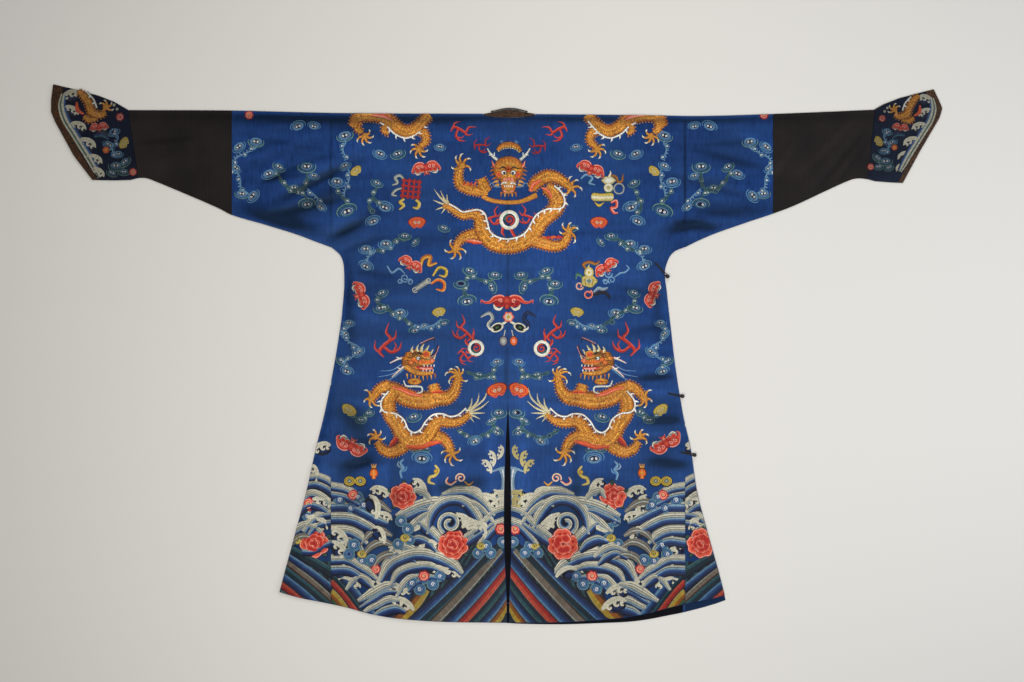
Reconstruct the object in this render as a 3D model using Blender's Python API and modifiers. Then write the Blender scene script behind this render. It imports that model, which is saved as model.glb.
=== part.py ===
"""A Chinese dragon robe laid out flat, with its back upwards and its sleeves spread.

Each half of the body is one loom width of silk that runs from the back hem, over the
shoulder and down to the front hem. The left half's front meets a separate overlap at the
centre front; the right half's front is the shorter flap under that overlap. Gores widen
the skirt past the loom's edge. Each sleeve is three tubes: blue silk, dark ribbed silk and
a hoof-shaped cuff with a brocade border. Three loops and knot buttons close the side.

Places are worked out as (across, below): metres to the right of the centre back seam, and
metres below the shoulder line. +Z is up, and the cloth rests on z = 0.
"""

import math
from collections import namedtuple

import bmesh
import bpy
from mathutils import Vector, kdtree

# Cloth and layers
CLOTH = 0.0012  # satin, embroidery and lining together
SEAM_GAP = 0.0003  # between pieces that meet
FOLD_RADIUS = 0.0023  # outside of a folded edge lying flat
REST_LEVEL = 2 * FOLD_RADIUS  # top face of the back where it lies lowest
LAYER = CLOTH + SEAM_GAP  # one layer of cloth on another
LINING = 0.0010

# Body
LOOM_EDGE = 0.425  # centre seam to the selvedge of one loom width
BODY_LENGTH = 1.226  # shoulder line to the back hem, at the centre
NECK_LEFT = 0.060
NECK_RIGHT = 0.066
NECK_BACK_DROP = 0.007  # centre of the back neckline below the shoulder's fold
NECK_FRONT_DROP = 0.092
FLAP_EDGE = 0.030  # free edge of the inner flap, right of the centre front
FLAP_SHORTER = 0.075  # the inner flap's hem stops this far above the back hem
HEM_LINING = 0.045  # depth of the lining shown at the hem

# Soft relief of the back
EDGE_SOFT = 0.035  # the cloth rounds away over this distance from the outline
PUFF = 0.0011  # how far the back stands above its rest level
HEM_WAVE = 0.0016
HEM_WAVE_LENGTH = 0.31

# Trims
BAND_WIDTH = 0.021
BAND_TILT = 10  # degrees, of the fold where the band turns over each shoulder
BAND_RISE = 0.0088  # how far the back of the band arches above that fold
BAND_LEAN = 0.20  # the arch is higher on the right by this share
PIPING_RADIUS = 0.0015
CORD_RADIUS = 0.0011
KNOT_RADIUS = 0.0050
NECK_OF_KNOT = 0.0013
EYE_REACH = 0.0062  # a loop's eye past the robe's side edge
EYE_HEIGHT = 0.0032
FOOT_CLEAR = 0.0014  # a button's foot from the overlap's edge

SideRow = namedtuple("SideRow", "below left right")
SIDE_EDGE = [
    SideRow(0.3245, 0.4243, 0.4243),
    SideRow(0.332, 0.415, 0.404),
    SideRow(0.342, 0.404, 0.392),
    SideRow(0.358, 0.3965, 0.383),
    SideRow(0.385, 0.3935, 0.3765),
    SideRow(0.430, 0.394, 0.381),
    SideRow(0.520, 0.403, 0.391),
    SideRow(0.620, 0.420, 0.403),
    SideRow(0.720, 0.440, 0.419),
    SideRow(0.810, 0.462, 0.439),
    SideRow(0.910, 0.484, 0.454),
    SideRow(1.000, 0.508, 0.477),
    SideRow(1.100, 0.535, 0.505),
    SideRow(1.170, 0.553, 0.523),
]

HemRow = namedtuple("HemRow", "across below")
HEM = [
    HemRow(0.00, 1.226),
    HemRow(0.15, 1.224),
    HemRow(0.27, 1.215),
    HemRow(0.33, 1.205),
    HemRow(0.39, 1.189),
    HemRow(0.45, 1.176),
    HemRow(0.50, 1.166),
    HemRow(0.56, 1.149),
]

# How far the front hem shows below the back hem
DropRow = namedtuple("DropRow", "across drop")
FRONT_DROP = [
    DropRow(-0.56, -0.004),
    DropRow(-0.06, -0.004),
    DropRow(0.02, 0.003),
    DropRow(0.22, 0.008),
    DropRow(0.32, 0.014),
    DropRow(0.42, 0.020),
    DropRow(0.53, 0.012),
]

TopRow = namedtuple("TopRow", "across below")
TOP_EDGE = [
    TopRow(-0.91, -0.005),
    TopRow(-0.665, -0.004),
    TopRow(-0.40, 0.002),
    TopRow(0.00, 0.004),
    TopRow(0.33, 0.007),
    TopRow(0.46, 0.009),
    TopRow(0.64, 0.004),
    TopRow(0.88, -0.006),
]

# The vent at the centre back: how far each edge stands from the seam
VentRow = namedtuple("VentRow", "below left right")
VENT = [
    VentRow(0.700, 0.0, 0.0),
    VentRow(0.810, 0.0062, 0.0048),
    VentRow(0.930, 0.0092, 0.0068),
    VentRow(1.050, 0.0084, 0.0072),
    VentRow(1.170, 0.0030, 0.0032),
    VentRow(1.226, 0.0024, 0.0026),
]

# Underside of each sleeve, from the body outwards
SleeveRow = namedtuple("SleeveRow", "across below")
UNDERSIDE_LEFT = [
    SleeveRow(0.425, 0.3245),
    SleeveRow(0.466, 0.3095),
    SleeveRow(0.504, 0.295),
    SleeveRow(0.581, 0.271),
    SleeveRow(0.663, 0.247),
    SleeveRow(0.696, 0.2304),
    SleeveRow(0.773, 0.197),
    SleeveRow(0.850, 0.165),
    SleeveRow(0.869, 0.1585),
    SleeveRow(0.888, 0.158),
]
UNDERSIDE_RIGHT = [
    SleeveRow(0.425, 0.3245),
    SleeveRow(0.461, 0.307),
    SleeveRow(0.499, 0.291),
    SleeveRow(0.576, 0.264),
    SleeveRow(0.636, 0.244),
    SleeveRow(0.691, 0.223),
    SleeveRow(0.768, 0.187),
    SleeveRow(0.825, 0.162),
    SleeveRow(0.845, 0.159),
    SleeveRow(0.864, 0.161),
]
UPPER_SLEEVE_END = {"left": 0.663, "right": 0.636}

# Each cuff's outline, as four edges that meet at its corners
CuffPoint = namedtuple("CuffPoint", "across below")
CUFF = {
    "left": {
        "joint": [CuffPoint(0.912, -0.0055), CuffPoint(0.888, 0.158)],
        "upper": [
            CuffPoint(0.912, -0.0055),
            CuffPoint(0.946, -0.025),
            CuffPoint(0.984, -0.040),
            CuffPoint(1.040, -0.055),
            CuffPoint(1.092, -0.067),
        ],
        "lower": [
            CuffPoint(0.888, 0.158),
            CuffPoint(0.907, 0.163),
            CuffPoint(0.946, 0.164),
            CuffPoint(0.998, 0.163),
        ],
        "mouth": [
            CuffPoint(1.092, -0.067),
            CuffPoint(1.097, -0.029),
            CuffPoint(1.097, 0.000),
            CuffPoint(1.087, 0.024),
            CuffPoint(1.042, 0.106),
            CuffPoint(0.998, 0.163),
        ],
    },
    "right": {
        "joint": [CuffPoint(0.880, -0.0065), CuffPoint(0.864, 0.161)],
        "upper": [
            CuffPoint(0.880, -0.0065),
            CuffPoint(0.902, -0.019),
            CuffPoint(0.941, -0.034),
            CuffPoint(0.979, -0.044),
            CuffPoint(1.022, -0.055),
        ],
        "lower": [
            CuffPoint(0.864, 0.161),
            CuffPoint(0.883, 0.166),
            CuffPoint(0.922, 0.169),
            CuffPoint(0.948, 0.170),
        ],
        "mouth": [
            CuffPoint(1.022, -0.055),
            CuffPoint(1.034, -0.030),
            CuffPoint(1.043, -0.009),
            CuffPoint(1.036, 0.014),
            CuffPoint(0.988, 0.096),
            CuffPoint(0.948, 0.170),
        ],
    },
}
CUFF_BORDER_FROM = 0.865  # share of the way from the joint to the mouth
CUFF_SEAM = 0.004  # share of that way left open at the border's seam

# The largest folds in the back: a soft ridge along a line, or a trough if it sinks
FoldRow = namedtuple("FoldRow", "across_1 below_1 across_2 below_2 half_width rise")
FOLDS = [
    # left sleeve, drawn from the underarm towards the shoulder
    FoldRow(-0.360, 0.070, -0.600, 0.215, 0.028, 0.0042),
    FoldRow(-0.400, 0.190, -0.620, 0.245, 0.022, 0.0030),
    FoldRow(-0.330, 0.230, -0.470, 0.285, 0.024, 0.0038),
    FoldRow(-0.250, 0.110, -0.430, 0.060, 0.030, 0.0026),
    # right sleeve
    FoldRow(0.400, 0.120, 0.620, 0.190, 0.026, 0.0034),
    FoldRow(0.360, 0.250, 0.540, 0.262, 0.020, 0.0036),
    FoldRow(0.330, 0.290, 0.450, 0.235, 0.018, 0.0028),
    FoldRow(0.520, 0.220, 0.640, 0.120, 0.022, 0.0024),
    # right cuff sleeve, twisted towards the cuff
    FoldRow(0.700, 0.200, 0.850, 0.030, 0.016, 0.0026),
    FoldRow(0.770, 0.170, 0.860, 0.080, 0.012, 0.0020),
    FoldRow(-0.700, 0.100, -0.880, 0.130, 0.020, 0.0018),
    # body
    FoldRow(-0.290, 0.620, -0.330, 1.180, 0.030, 0.0040),
    FoldRow(-0.400, 0.600, -0.200, 0.760, 0.026, 0.0028),
    FoldRow(-0.420, 0.850, -0.180, 0.910, 0.022, 0.0026),
    FoldRow(0.160, 0.330, 0.370, 0.390, 0.024, 0.0026),
    FoldRow(0.280, 0.590, 0.400, 0.600, 0.014, 0.0026),
    FoldRow(0.290, 0.720, 0.410, 0.700, 0.014, 0.0028),
    FoldRow(0.290, 0.800, 0.430, 0.790, 0.014, 0.0026),
    FoldRow(-0.120, 0.860, 0.260, 0.880, 0.026, 0.0022),
    FoldRow(-0.160, 0.700, -0.140, 1.220, 0.040, 0.0030),
    FoldRow(0.180, 0.760, 0.220, 1.210, 0.044, 0.0034),
    FoldRow(0.400, 0.900, 0.450, 1.170, 0.026, 0.0030),
    FoldRow(-0.455, 0.800, -0.500, 1.160, 0.024, 0.0028),
    FoldRow(-0.060, 0.180, -0.050, 0.560, 0.044, 0.0018),
    FoldRow(0.080, 0.180, 0.090, 0.560, 0.044, 0.0018),
]

LoopRow = namedtuple("LoopRow", "across_from below_from below_eye")
LOOPS = [
    LoopRow(0.3535, 0.3615, 0.3950),
    LoopRow(0.3838, 0.6750, 0.6820),
    LoopRow(0.4150, 0.8160, 0.8230),
]

# The origin is under the middle of the robe's box
LEFT_REACH = max(point.across for point in CUFF["left"]["mouth"])
RIGHT_REACH = max(point.across for point in CUFF["right"]["mouth"])
HIGHEST = min(point.below for point in CUFF["left"]["mouth"])
LOWEST = 1.2294  # front hem, just right of the centre
ORIGIN_ACROSS = (RIGHT_REACH - LEFT_REACH) / 2
ORIGIN_BELOW = (LOWEST + HIGHEST) / 2

MaterialRow = namedtuple("MaterialRow", "red green blue roughness metallic")
MATERIALS = {
    "blue_silk": MaterialRow(0.020, 0.060, 0.230, 0.42, 0.0),
    "dark_silk": MaterialRow(0.022, 0.018, 0.018, 0.60, 0.0),
    "cuff_silk": MaterialRow(0.012, 0.020, 0.045, 0.50, 0.0),
    "brocade": MaterialRow(0.110, 0.050, 0.026, 0.50, 0.25),
    "lining_silk": MaterialRow(0.006, 0.010, 0.028, 0.55, 0.0),
    "black_cord": MaterialRow(0.012, 0.010, 0.010, 0.65, 0.0),
}


def smoothstep(value):
    value = min(1.0, max(0.0, value))
    return value * value * (3 - 2 * value)


def slope_at(rows, key, column, i):
    """Slope of a table's column at row i, for a smooth curve through its rows."""
    before, after = rows[max(0, i - 1)], rows[min(len(rows) - 1, i + 1)]
    rise = getattr(after, column) - getattr(before, column)
    return rise / (getattr(after, key) - getattr(before, key))


def read(rows, key, column, at):
    """A table's column at a value of its key column, on a smooth curve."""
    i = 0
    while i < len(rows) - 2 and at > getattr(rows[i + 1], key):
        i += 1
    low, high = rows[i], rows[i + 1]
    span = getattr(high, key) - getattr(low, key)
    t = min(1.0, max(0.0, (at - getattr(low, key)) / span))
    start, end = getattr(low, column), getattr(high, column)
    slope_1 = slope_at(rows, key, column, i) * span
    slope_2 = slope_at(rows, key, column, i + 1) * span
    return (
        (2 * t**3 - 3 * t**2 + 1) * start
        + (t**3 - 2 * t**2 + t) * slope_1
        + (3 * t**2 - 2 * t**3) * end
        + (t**3 - t**2) * slope_2
    )


def along(points, share):
    """The point a share of the way along a run of (across, below) points."""
    flat = [Vector((p.across, p.below)) for p in points]
    lengths = [(b - a).length for a, b in zip(flat, flat[1:])]
    left = share * sum(lengths)
    for a, b, length in zip(flat, flat[1:], lengths):
        if left <= length:
            return a.lerp(b, left / length)
        left -= length
    return flat[-1]


def side_edge(below, side):
    """Half width of the body at a height, below the underarm."""
    return read(SIDE_EDGE, "below", side, below)


def hem_at(across):
    return read(HEM, "across", "below", abs(across))


def front_hem_at(across):
    return hem_at(across) + read(FRONT_DROP, "across", "drop", across)


def row_below(at, across, hem):
    """A body row's place: level near the waist, and following the hem near the hem."""
    near_hem = smoothstep((at - 0.6) / (BODY_LENGTH - 0.6))
    return at - (BODY_LENGTH - hem(across)) * near_hem


def outer_edge(at, side, hem):
    """Half width of the body where a row meets the side edge."""
    sign = -1 if side == "left" else 1
    outer = LOOM_EDGE
    for _ in range(4):
        outer = side_edge(row_below(at, sign * outer, hem), side)
    return outer


def near_top(at):
    """How far a row follows the shoulder's fold rather than lying level."""
    return 1 - smoothstep(at / 0.2)


def top_at(across):
    return read(TOP_EDGE, "across", "below", across)


def underside_at(across, side):
    rows = UNDERSIDE_LEFT if side == "left" else UNDERSIDE_RIGHT
    return read(rows, "across", "below", abs(across))


def cuff_point(side, outward, down):
    """A cuff's surface laid flat, blended between its four edges."""
    edges = CUFF[side]
    joint, mouth = along(edges["joint"], down), along(edges["mouth"], down)
    upper, lower = along(edges["upper"], outward), along(edges["lower"], outward)
    top = along(edges["joint"], 0).lerp(along(edges["mouth"], 0), outward)
    bottom = along(edges["joint"], 1).lerp(along(edges["mouth"], 1), outward)
    middle = joint.lerp(mouth, outward)
    return middle + (upper - top) * (1 - down) + (lower - bottom) * down


def outline_points():
    """Close points all round the robe's outline, as (across, below) pairs."""
    step, points = 0.006, []
    for side, sign in (("left", -1), ("right", 1)):
        reach = CUFF[side]["joint"][0].across
        for i in range(int(reach / step)):
            points.append((sign * i * step, top_at(sign * i * step)))
        end = CUFF[side]["joint"][1].across
        for i in range(int((end - LOOM_EDGE) / step)):
            across = LOOM_EDGE + i * step
            points.append((sign * across, underside_at(across, side)))
        first = SIDE_EDGE[0].below
        for i in range(int((hem_at(0.54) - first) / step)):
            below = first + i * step
            points.append((sign * side_edge(below, side), below))
        for i in range(int(side_edge(1.15, side) / step)):
            points.append((sign * i * step, hem_at(i * step)))
        for edge in ("upper", "lower", "mouth"):
            for i in range(40):
                place = along(CUFF[side][edge], i / 39)
                points.append((sign * place.x, place.y))
    return points


def near_tree(points):
    tree = kdtree.KDTree(len(points))
    for i, (across, below) in enumerate(points):
        tree.insert((across, below, 0), i)
    tree.balance()
    return tree


OUTLINE = near_tree(outline_points())


def fold_rise(fold, across, below):
    """Height that one fold adds at a point."""
    line = Vector((fold.across_2 - fold.across_1, fold.below_2 - fold.below_1))
    from_start = Vector((across - fold.across_1, below - fold.below_1))
    share = min(1.0, max(0.0, from_start.dot(line) / line.length_squared))
    off = (from_start - line * share).length / fold.half_width
    fade = math.sin(math.pi * (0.08 + 0.84 * share))
    return fold.rise * fade * math.exp(-off * off)


def back_level(across, below):
    """Height of the back's upper face, with its folds and soft edges."""
    distance = OUTLINE.find((across, below, 0))[2]
    soft = smoothstep(distance / EDGE_SOFT)
    rise = sum(fold_rise(fold, across, below) for fold in FOLDS)
    near_hem = smoothstep((below - 1.05) / 0.15)
    wave = HEM_WAVE * near_hem * (1 + math.sin(across / HEM_WAVE_LENGTH * math.tau))
    return REST_LEVEL + (PUFF + max(rise, -PUFF)) * soft + wave


def side_droop(across, below, side):
    """How far the back sinks at its side edges to meet the front."""
    if below < SIDE_EDGE[0].below or side == "right":
        return 0.0
    distance = side_edge(below, side) - abs(across)
    deepest = REST_LEVEL - CLOTH - LAYER - SEAM_GAP
    return deepest * (1 - smoothstep(distance / 0.018))


def place(across, below, z):
    return Vector((across - ORIGIN_ACROSS, ORIGIN_BELOW - below, z))


def new_collection(name):
    collection = bpy.data.collections.new(name)
    bpy.context.scene.collection.children.link(collection)
    return collection


def make_materials():
    made = {}
    for name, row in MATERIALS.items():
        material = bpy.data.materials.new(name)
        material.use_nodes = True
        shader = material.node_tree.nodes["Principled BSDF"]
        shader.inputs["Base Color"].default_value = (row.red, row.green, row.blue, 1)
        shader.inputs["Roughness"].default_value = row.roughness
        shader.inputs["Metallic"].default_value = row.metallic
        made[name] = material
    return made


def finish(obj, material, collection):
    obj.data.materials.append(material)
    collection.objects.link(obj)
    return obj


def cloth(name, columns, rows, surface, thickness=CLOTH, welded=False):
    """A cloth wall: a grid placed by surface(u, v), with its thickness added inwards.

    surface gives a point of the outer face. A welded sheet's first and last rows meet.
    """
    bm = bmesh.new()
    bmesh.ops.create_grid(bm, x_segments=columns, y_segments=rows, size=1)
    for vertex in bm.verts:
        u, v = (vertex.co.x + 1) / 2, (vertex.co.y + 1) / 2
        vertex.co = surface(u, v)
    if welded:
        bmesh.ops.remove_doubles(bm, verts=bm.verts, dist=0.00002)
    mesh = bpy.data.meshes.new(name)
    bm.to_mesh(mesh)
    bm.free()
    mesh.shade_smooth()
    obj = bpy.data.objects.new(name, mesh)
    solidify = obj.modifiers.new("thickness", "SOLIDIFY")
    solidify.thickness = thickness
    solidify.offset = -1
    return obj


NECK_TURNS = [90, 75, 60, 45, 30, 15]  # degrees round the neckline, from its middle to a shoulder
BodyRow = namedtuple("BodyRow", "part at neck")
BACK_ROWS = [1.226, 1.20, 1.16, 1.12, 1.08, 1.03, 0.98, 0.93, 0.88, 0.84, 0.80, 0.76, 0.72]
BACK_ROWS += [0.68, 0.64, 0.60, 0.56, 0.51, 0.46, 0.43, 0.405, 0.385, 0.37, 0.358, 0.349]
BACK_ROWS += [0.342, 0.337, 0.332, 0.328, 0.3245, 0.30, 0.265, 0.23, 0.195, 0.16, 0.125]
BACK_ROWS += [0.09, 0.06, 0.035, 0.018]
FOLD_TURNS = [90, 45, 0, -45, -90]
FRONT_ROWS = [0.12, 0.155, 0.19, 0.225, 0.26, 0.30, 0.3245, 0.328, 0.332, 0.337]
FRONT_ROWS += [0.342, 0.349, 0.358, 0.37, 0.385, 0.405, 0.43, 0.50, 0.60, 0.70, 0.85, 1.0]
FRONT_ROWS += [1.12, 1.226]


def body_rows():
    """Every row of a body panel, from the back hem over the shoulder to the front hem."""
    rows = [BodyRow("back", at, 0.0) for at in BACK_ROWS]
    for degrees in NECK_TURNS:
        turn = math.radians(degrees)
        rows.append(BodyRow("back", NECK_BACK_DROP * math.sin(turn), math.cos(turn)))
    rows += [BodyRow("fold", turn, 1.0) for turn in FOLD_TURNS]
    for degrees in reversed(NECK_TURNS):
        turn = math.radians(degrees)
        rows.append(BodyRow("front", NECK_FRONT_DROP * math.sin(turn), math.cos(turn)))
    rows += [BodyRow("front", at, 0.0) for at in FRONT_ROWS]
    return rows


FLAP_LIFTS = 0.085  # the flap rises onto the overlap this far above its upper edge


def overlap_top(across):
    """The overlap's curved upper edge, from the front neck to the right underarm."""
    share = min(1.0, max(0.0, across / 0.376))
    return NECK_FRONT_DROP + 0.012 + 0.255 * share**1.25


def body_panel(side):
    """One loom width: back, shoulder and front in one piece."""
    sign = -1 if side == "left" else 1
    rows = body_rows()
    neck = NECK_LEFT if side == "left" else NECK_RIGHT
    flap = side == "right"
    columns = 11

    def front_hem(across):
        return hem_at(across) - FLAP_SHORTER if flap else front_hem_at(across)

    def half_width(row, hem):
        if row.part == "fold" or row.at < SIDE_EDGE[0].below:
            return LOOM_EDGE - SEAM_GAP / 2
        return min(outer_edge(row.at, side, hem), LOOM_EDGE - SEAM_GAP / 2)

    def inner_edge(row):
        if row.part == "back" and row.at > VENT[0].below:
            return max(read(VENT, "below", side, row.at), SEAM_GAP / 2)
        if row.part == "front" and flap:
            return max(neck * row.neck, FLAP_EDGE)
        return max(neck * row.neck, SEAM_GAP / 2)

    def surface(u, v):
        row = rows[round(v * (len(rows) - 1))]
        inner = inner_edge(row)
        share = 1 - u if side == "left" else u
        hem = front_hem if row.part == "front" else hem_at
        across = sign * (inner + (half_width(row, hem) - inner) * share)
        fold_line = top_at(across) + FOLD_RADIUS
        if row.part == "fold":
            turn = math.radians(row.at)
            below = fold_line - FOLD_RADIUS * math.cos(turn)
            return place(across, below, FOLD_RADIUS * (1 + math.sin(turn)))
        below = row_below(row.at, across, hem) + fold_line * near_top(row.at)
        if row.part == "back":
            z = back_level(across, below) - side_droop(across, below, side)
        else:
            lift = smoothstep((below - overlap_top(across) + FLAP_LIFTS) / 0.03)
            z = LAYER * lift if flap else 0.0
        return place(across, below, z)

    return cloth(f"body_{side}", columns, len(rows) - 1, surface)


def front_overlap():
    """The outer right front, sewn to the left front at the centre."""
    rows = [0.0, 0.06, 0.12, 0.2, 0.3, 0.42, 0.55, 0.68, 0.79, 0.87, 0.92, 0.95, 0.97]
    rows += [0.985, 1.0]
    inner, seam = SEAM_GAP / 2, LOOM_EDGE - SEAM_GAP / 2

    def below_at(across, share):
        hem = front_hem_at(across)
        return hem + (overlap_top(across) - hem) * share

    def surface(u, v):
        share = rows[round(v * (len(rows) - 1))]
        outer = seam
        for _ in range(6):
            outer = min(side_edge(below_at(outer, share), "right"), seam)
        across = outer + (inner - outer) * u
        return place(across, below_at(across, share), 0.0)

    return cloth("front_overlap", 10, len(rows) - 1, surface)


def gore(name, side, lies):
    """A triangle of silk that widens the skirt past the loom's edge."""
    sign = -1 if side == "left" else 1
    rows = 12 if lies == "back" else 4
    seam = LOOM_EDGE + SEAM_GAP / 2
    hem = hem_at if lies == "back" else front_hem_at
    crossing = next(
        below / 1000
        for below in range(500, 1000)
        if outer_edge(below / 1000, side, hem) > seam + 0.0015
    )

    def surface(u, v):
        out = 1 - u if side == "left" else u
        if lies == "front":
            out = 1 - out
        down = crossing + (BODY_LENGTH - crossing) * (1 - v)
        outer = outer_edge(down, side, hem)
        across = sign * (seam + (outer - seam) * out)
        below = row_below(down, across, hem)
        if lies == "back":
            z = back_level(across, below) - side_droop(across, below, side)
        else:
            z = 0.0
        return place(across, below, z)

    return cloth(name, 4 if lies == "back" else 2, rows, surface)


FACE_SHARES = [0.94, 0.85, 0.72, 0.58, 0.44, 0.30, 0.17, 0.07]
UNDER_SHARES = [0.25, 0.5, 0.75]
TUBE_TURNS = [-90, -40, 0, 40, 90]


def ring_stations(width):
    """A flattened tube's section: (share down its width, height), None on its upper face."""
    turn = FOLD_RADIUS / width
    lower, upper = [], []
    for degrees in TUBE_TURNS:
        angle = math.radians(degrees)
        inset = turn * (1 - math.cos(angle))
        height = FOLD_RADIUS * (1 + math.sin(angle))
        lower.append((1 - inset, height))
        upper.insert(0, (inset, height))
    face = [(share, None) for share in FACE_SHARES]
    under = [(share, 0.0) for share in UNDER_SHARES]
    return lower + face + upper + under


def tube(name, stations, flat):
    """A tube laid flat; flat(station, down) gives a point of its plan."""
    ring_count = len(ring_stations(1.0))

    def surface(u, v):
        station = stations[round(u * (len(stations) - 1))]
        top, bottom = flat(station, 0), flat(station, 1)
        ring = ring_stations((top - bottom).length)
        down, height = ring[round(v * ring_count) % ring_count]
        point = flat(station, down)
        if height is None:
            height = back_level(point.x, point.y)
        return place(point.x, point.y, height)

    return cloth(name, len(stations) - 1, ring_count, surface, welded=True)


def spread(start, end, count):
    return [start + (end - start) * i / count for i in range(count + 1)]


def sleeve(name, side, start, end, count):
    """A length of sleeve, from across start to across end."""
    sign = -1 if side == "left" else 1
    joint = CUFF[side]["joint"]

    def flat(station, down):
        slant = 0.0
        if end is None:
            slant = (joint[0].across - joint[1].across) * (1 - down)
        last = joint[1].across - SEAM_GAP if end is None else end
        across = start + (last - start + slant) * station
        top = top_at(sign * across)
        bottom = underside_at(min(across, joint[1].across), side)
        return Vector((sign * across, top + (bottom - top) * down))

    shares = spread(0, 1, count)
    if sign < 0:
        shares.reverse()
    return tube(name, shares, flat)


def cuff_tube(name, side, start, end, count):
    sign = -1 if side == "left" else 1

    def flat(station, down):
        point = cuff_point(side, station, down)
        return Vector((sign * point.x, point.y))

    shares = spread(start, end, count)
    if sign < 0:
        shares.reverse()
    return tube(name, shares, flat)


NECK_CLEAR = 0.0012  # from the body's neckline to the band's seam
NECK_SHOULDER_TURNS = [45, 0, -45]
# One station round the neck; piping is the way from the free edge to the cord beside it
NeckRow = namedtuple("NeckRow", "seam_across seam_below free_across free_below height piping")


def neck_path():
    """Stations round the neck: the back from left to right, then the front to the left."""
    quarter = NECK_TURNS + [0]
    half_circle = [180 - degrees for degrees in reversed(quarter)] + quarter[1:]
    rows = [back_neck_row(degrees) for degrees in half_circle]
    rows += [shoulder_row(1, degrees) for degrees in NECK_SHOULDER_TURNS]
    rows += [front_neck_row(degrees) for degrees in reversed(half_circle)]
    rows += [shoulder_row(-1, degrees) for degrees in reversed(NECK_SHOULDER_TURNS)]
    return rows


def neck_half(sign):
    """Half width of the neck band's seam, just inside the body's neckline."""
    return (NECK_RIGHT if sign > 0 else NECK_LEFT) - NECK_CLEAR


def shoulder_end(sign):
    """The free end of the fold where the band turns over a shoulder."""
    tilt = math.radians(BAND_TILT)
    across = neck_half(sign) - BAND_WIDTH * math.cos(tilt)
    return Vector((sign * across, top_at(0) + FOLD_RADIUS - BAND_WIDTH * math.sin(tilt)))


def piping_beside(across, below, bulge):
    """The way from the band's free edge to the piping, past a bulge of the band."""
    return Vector((across, below)).normalized() * (PIPING_RADIUS + 3 * SEAM_GAP + bulge)


def back_free_edge(share):
    """The band's free edge at the back; share goes from -1 at the left to 1 at the right."""
    end = shoulder_end(math.copysign(1, share))
    arch = 1 - share * share
    return Vector((end.x * abs(share), end.y - BAND_RISE * arch * (1 + BAND_LEAN * share)))


def back_neck_row(degrees):
    """The neck band at the back, where it stands up above the shoulder line."""
    turn = math.radians(degrees)
    share = 1 - degrees / 90
    free = back_free_edge(share)
    along_edge = back_free_edge(min(1, share + 0.05)) - back_free_edge(max(-1, share - 0.05))
    return NeckRow(
        neck_half(math.cos(turn)) * math.cos(turn),
        top_at(0) + FOLD_RADIUS + NECK_BACK_DROP * math.sin(turn) - NECK_CLEAR,
        free.x,
        free.y,
        REST_LEVEL,
        piping_beside(along_edge.y, -along_edge.x, FOLD_RADIUS * max(0, 5 * abs(share) - 4)),
    )


def front_neck_row(degrees):
    """The neck band at the front, turned in flat round the neck."""
    turn = math.radians(degrees)
    sign = math.copysign(1, math.cos(turn))
    half, drop = neck_half(sign), NECK_FRONT_DROP - NECK_CLEAR
    fold = (top_at(0) + FOLD_RADIUS) * near_top(NECK_FRONT_DROP * math.sin(turn))
    free = Vector(
        (
            (half - BAND_WIDTH) * math.cos(turn),
            fold + (drop - BAND_WIDTH) * math.sin(turn),
        )
    )
    if math.sin(turn) < 0.01:
        free = shoulder_end(sign)
    return NeckRow(
        half * math.cos(turn),
        fold + drop * math.sin(turn),
        free.x,
        free.y,
        0.0,
        piping_beside(-math.cos(turn), -math.sin(turn), 0),
    )


def shoulder_row(sign, degrees):
    """The neck band where it turns over a shoulder."""
    turn = math.radians(degrees)
    raised = FOLD_RADIUS * math.cos(turn)
    free = shoulder_end(sign)
    height = FOLD_RADIUS * (1 + math.sin(turn))
    fold = top_at(0) + FOLD_RADIUS
    seam = sign * neck_half(sign)
    piping = piping_beside(-0.3 * sign, -1, 2 * SEAM_GAP)
    return NeckRow(seam, fold - raised, free.x, free.y - raised, height, piping)


def neck_band():
    rows = neck_path()

    def surface(u, v):
        row = rows[round(u * len(rows)) % len(rows)]
        across = row.seam_across + (row.free_across - row.seam_across) * v
        below = row.seam_below + (row.free_below - row.seam_below) * v
        return place(across, below, row.height)

    return cloth("neck_band", len(rows), 2, surface, welded=True)


def curve_object(name, points, radius, closed, resolution):
    curve = bpy.data.curves.new(name, "CURVE")
    curve.dimensions = "3D"
    spline = curve.splines.new("POLY")
    spline.points.add(len(points) - 1)
    for point, co in zip(spline.points, points):
        point.co = (*co, 1)
    spline.use_cyclic_u = closed
    curve.bevel_depth = radius
    curve.bevel_resolution = resolution
    curve.use_fill_caps = not closed
    return bpy.data.objects.new(name, curve)


def neck_piping():
    """A black cord round the free edge of the neck band."""
    points = []
    for row in neck_path():
        middle = CLOTH / 2 + row.height * (REST_LEVEL - CLOTH) / REST_LEVEL
        point = Vector((row.free_across, row.free_below)) + row.piping
        points.append(place(point.x, point.y, max(middle, PIPING_RADIUS)))
    return curve_object("neck_piping", points, PIPING_RADIUS, True, 1)


def lining_strip(name, across_1, across_2, columns, top, bottom):
    """A flat strip of the front's lining, where it shows inside the robe."""

    def surface(u, v):
        across = across_1 + (across_2 - across_1) * u
        below = bottom(across) + (top(across) - bottom(across)) * v
        return place(across, below, LAYER + LINING)

    return cloth(name, columns, 2, surface, thickness=LINING)


def lining_vent():
    """The front's lining, where the open vent shows it."""
    return lining_strip(
        "lining_vent",
        -FLAP_EDGE,
        FLAP_EDGE - 0.002,
        2,
        lambda across: VENT[0].below - 0.04,
        lambda across: hem_at(across) - HEM_LINING - 0.002,
    )


def lining_hem():
    """The front's lining along its hem, where it shows below the back hem."""
    return lining_strip(
        "lining_hem",
        -0.40,
        0.42,
        16,
        lambda across: hem_at(across) - HEM_LINING,
        lambda across: front_hem_at(across) - 0.0005,
    )


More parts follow.
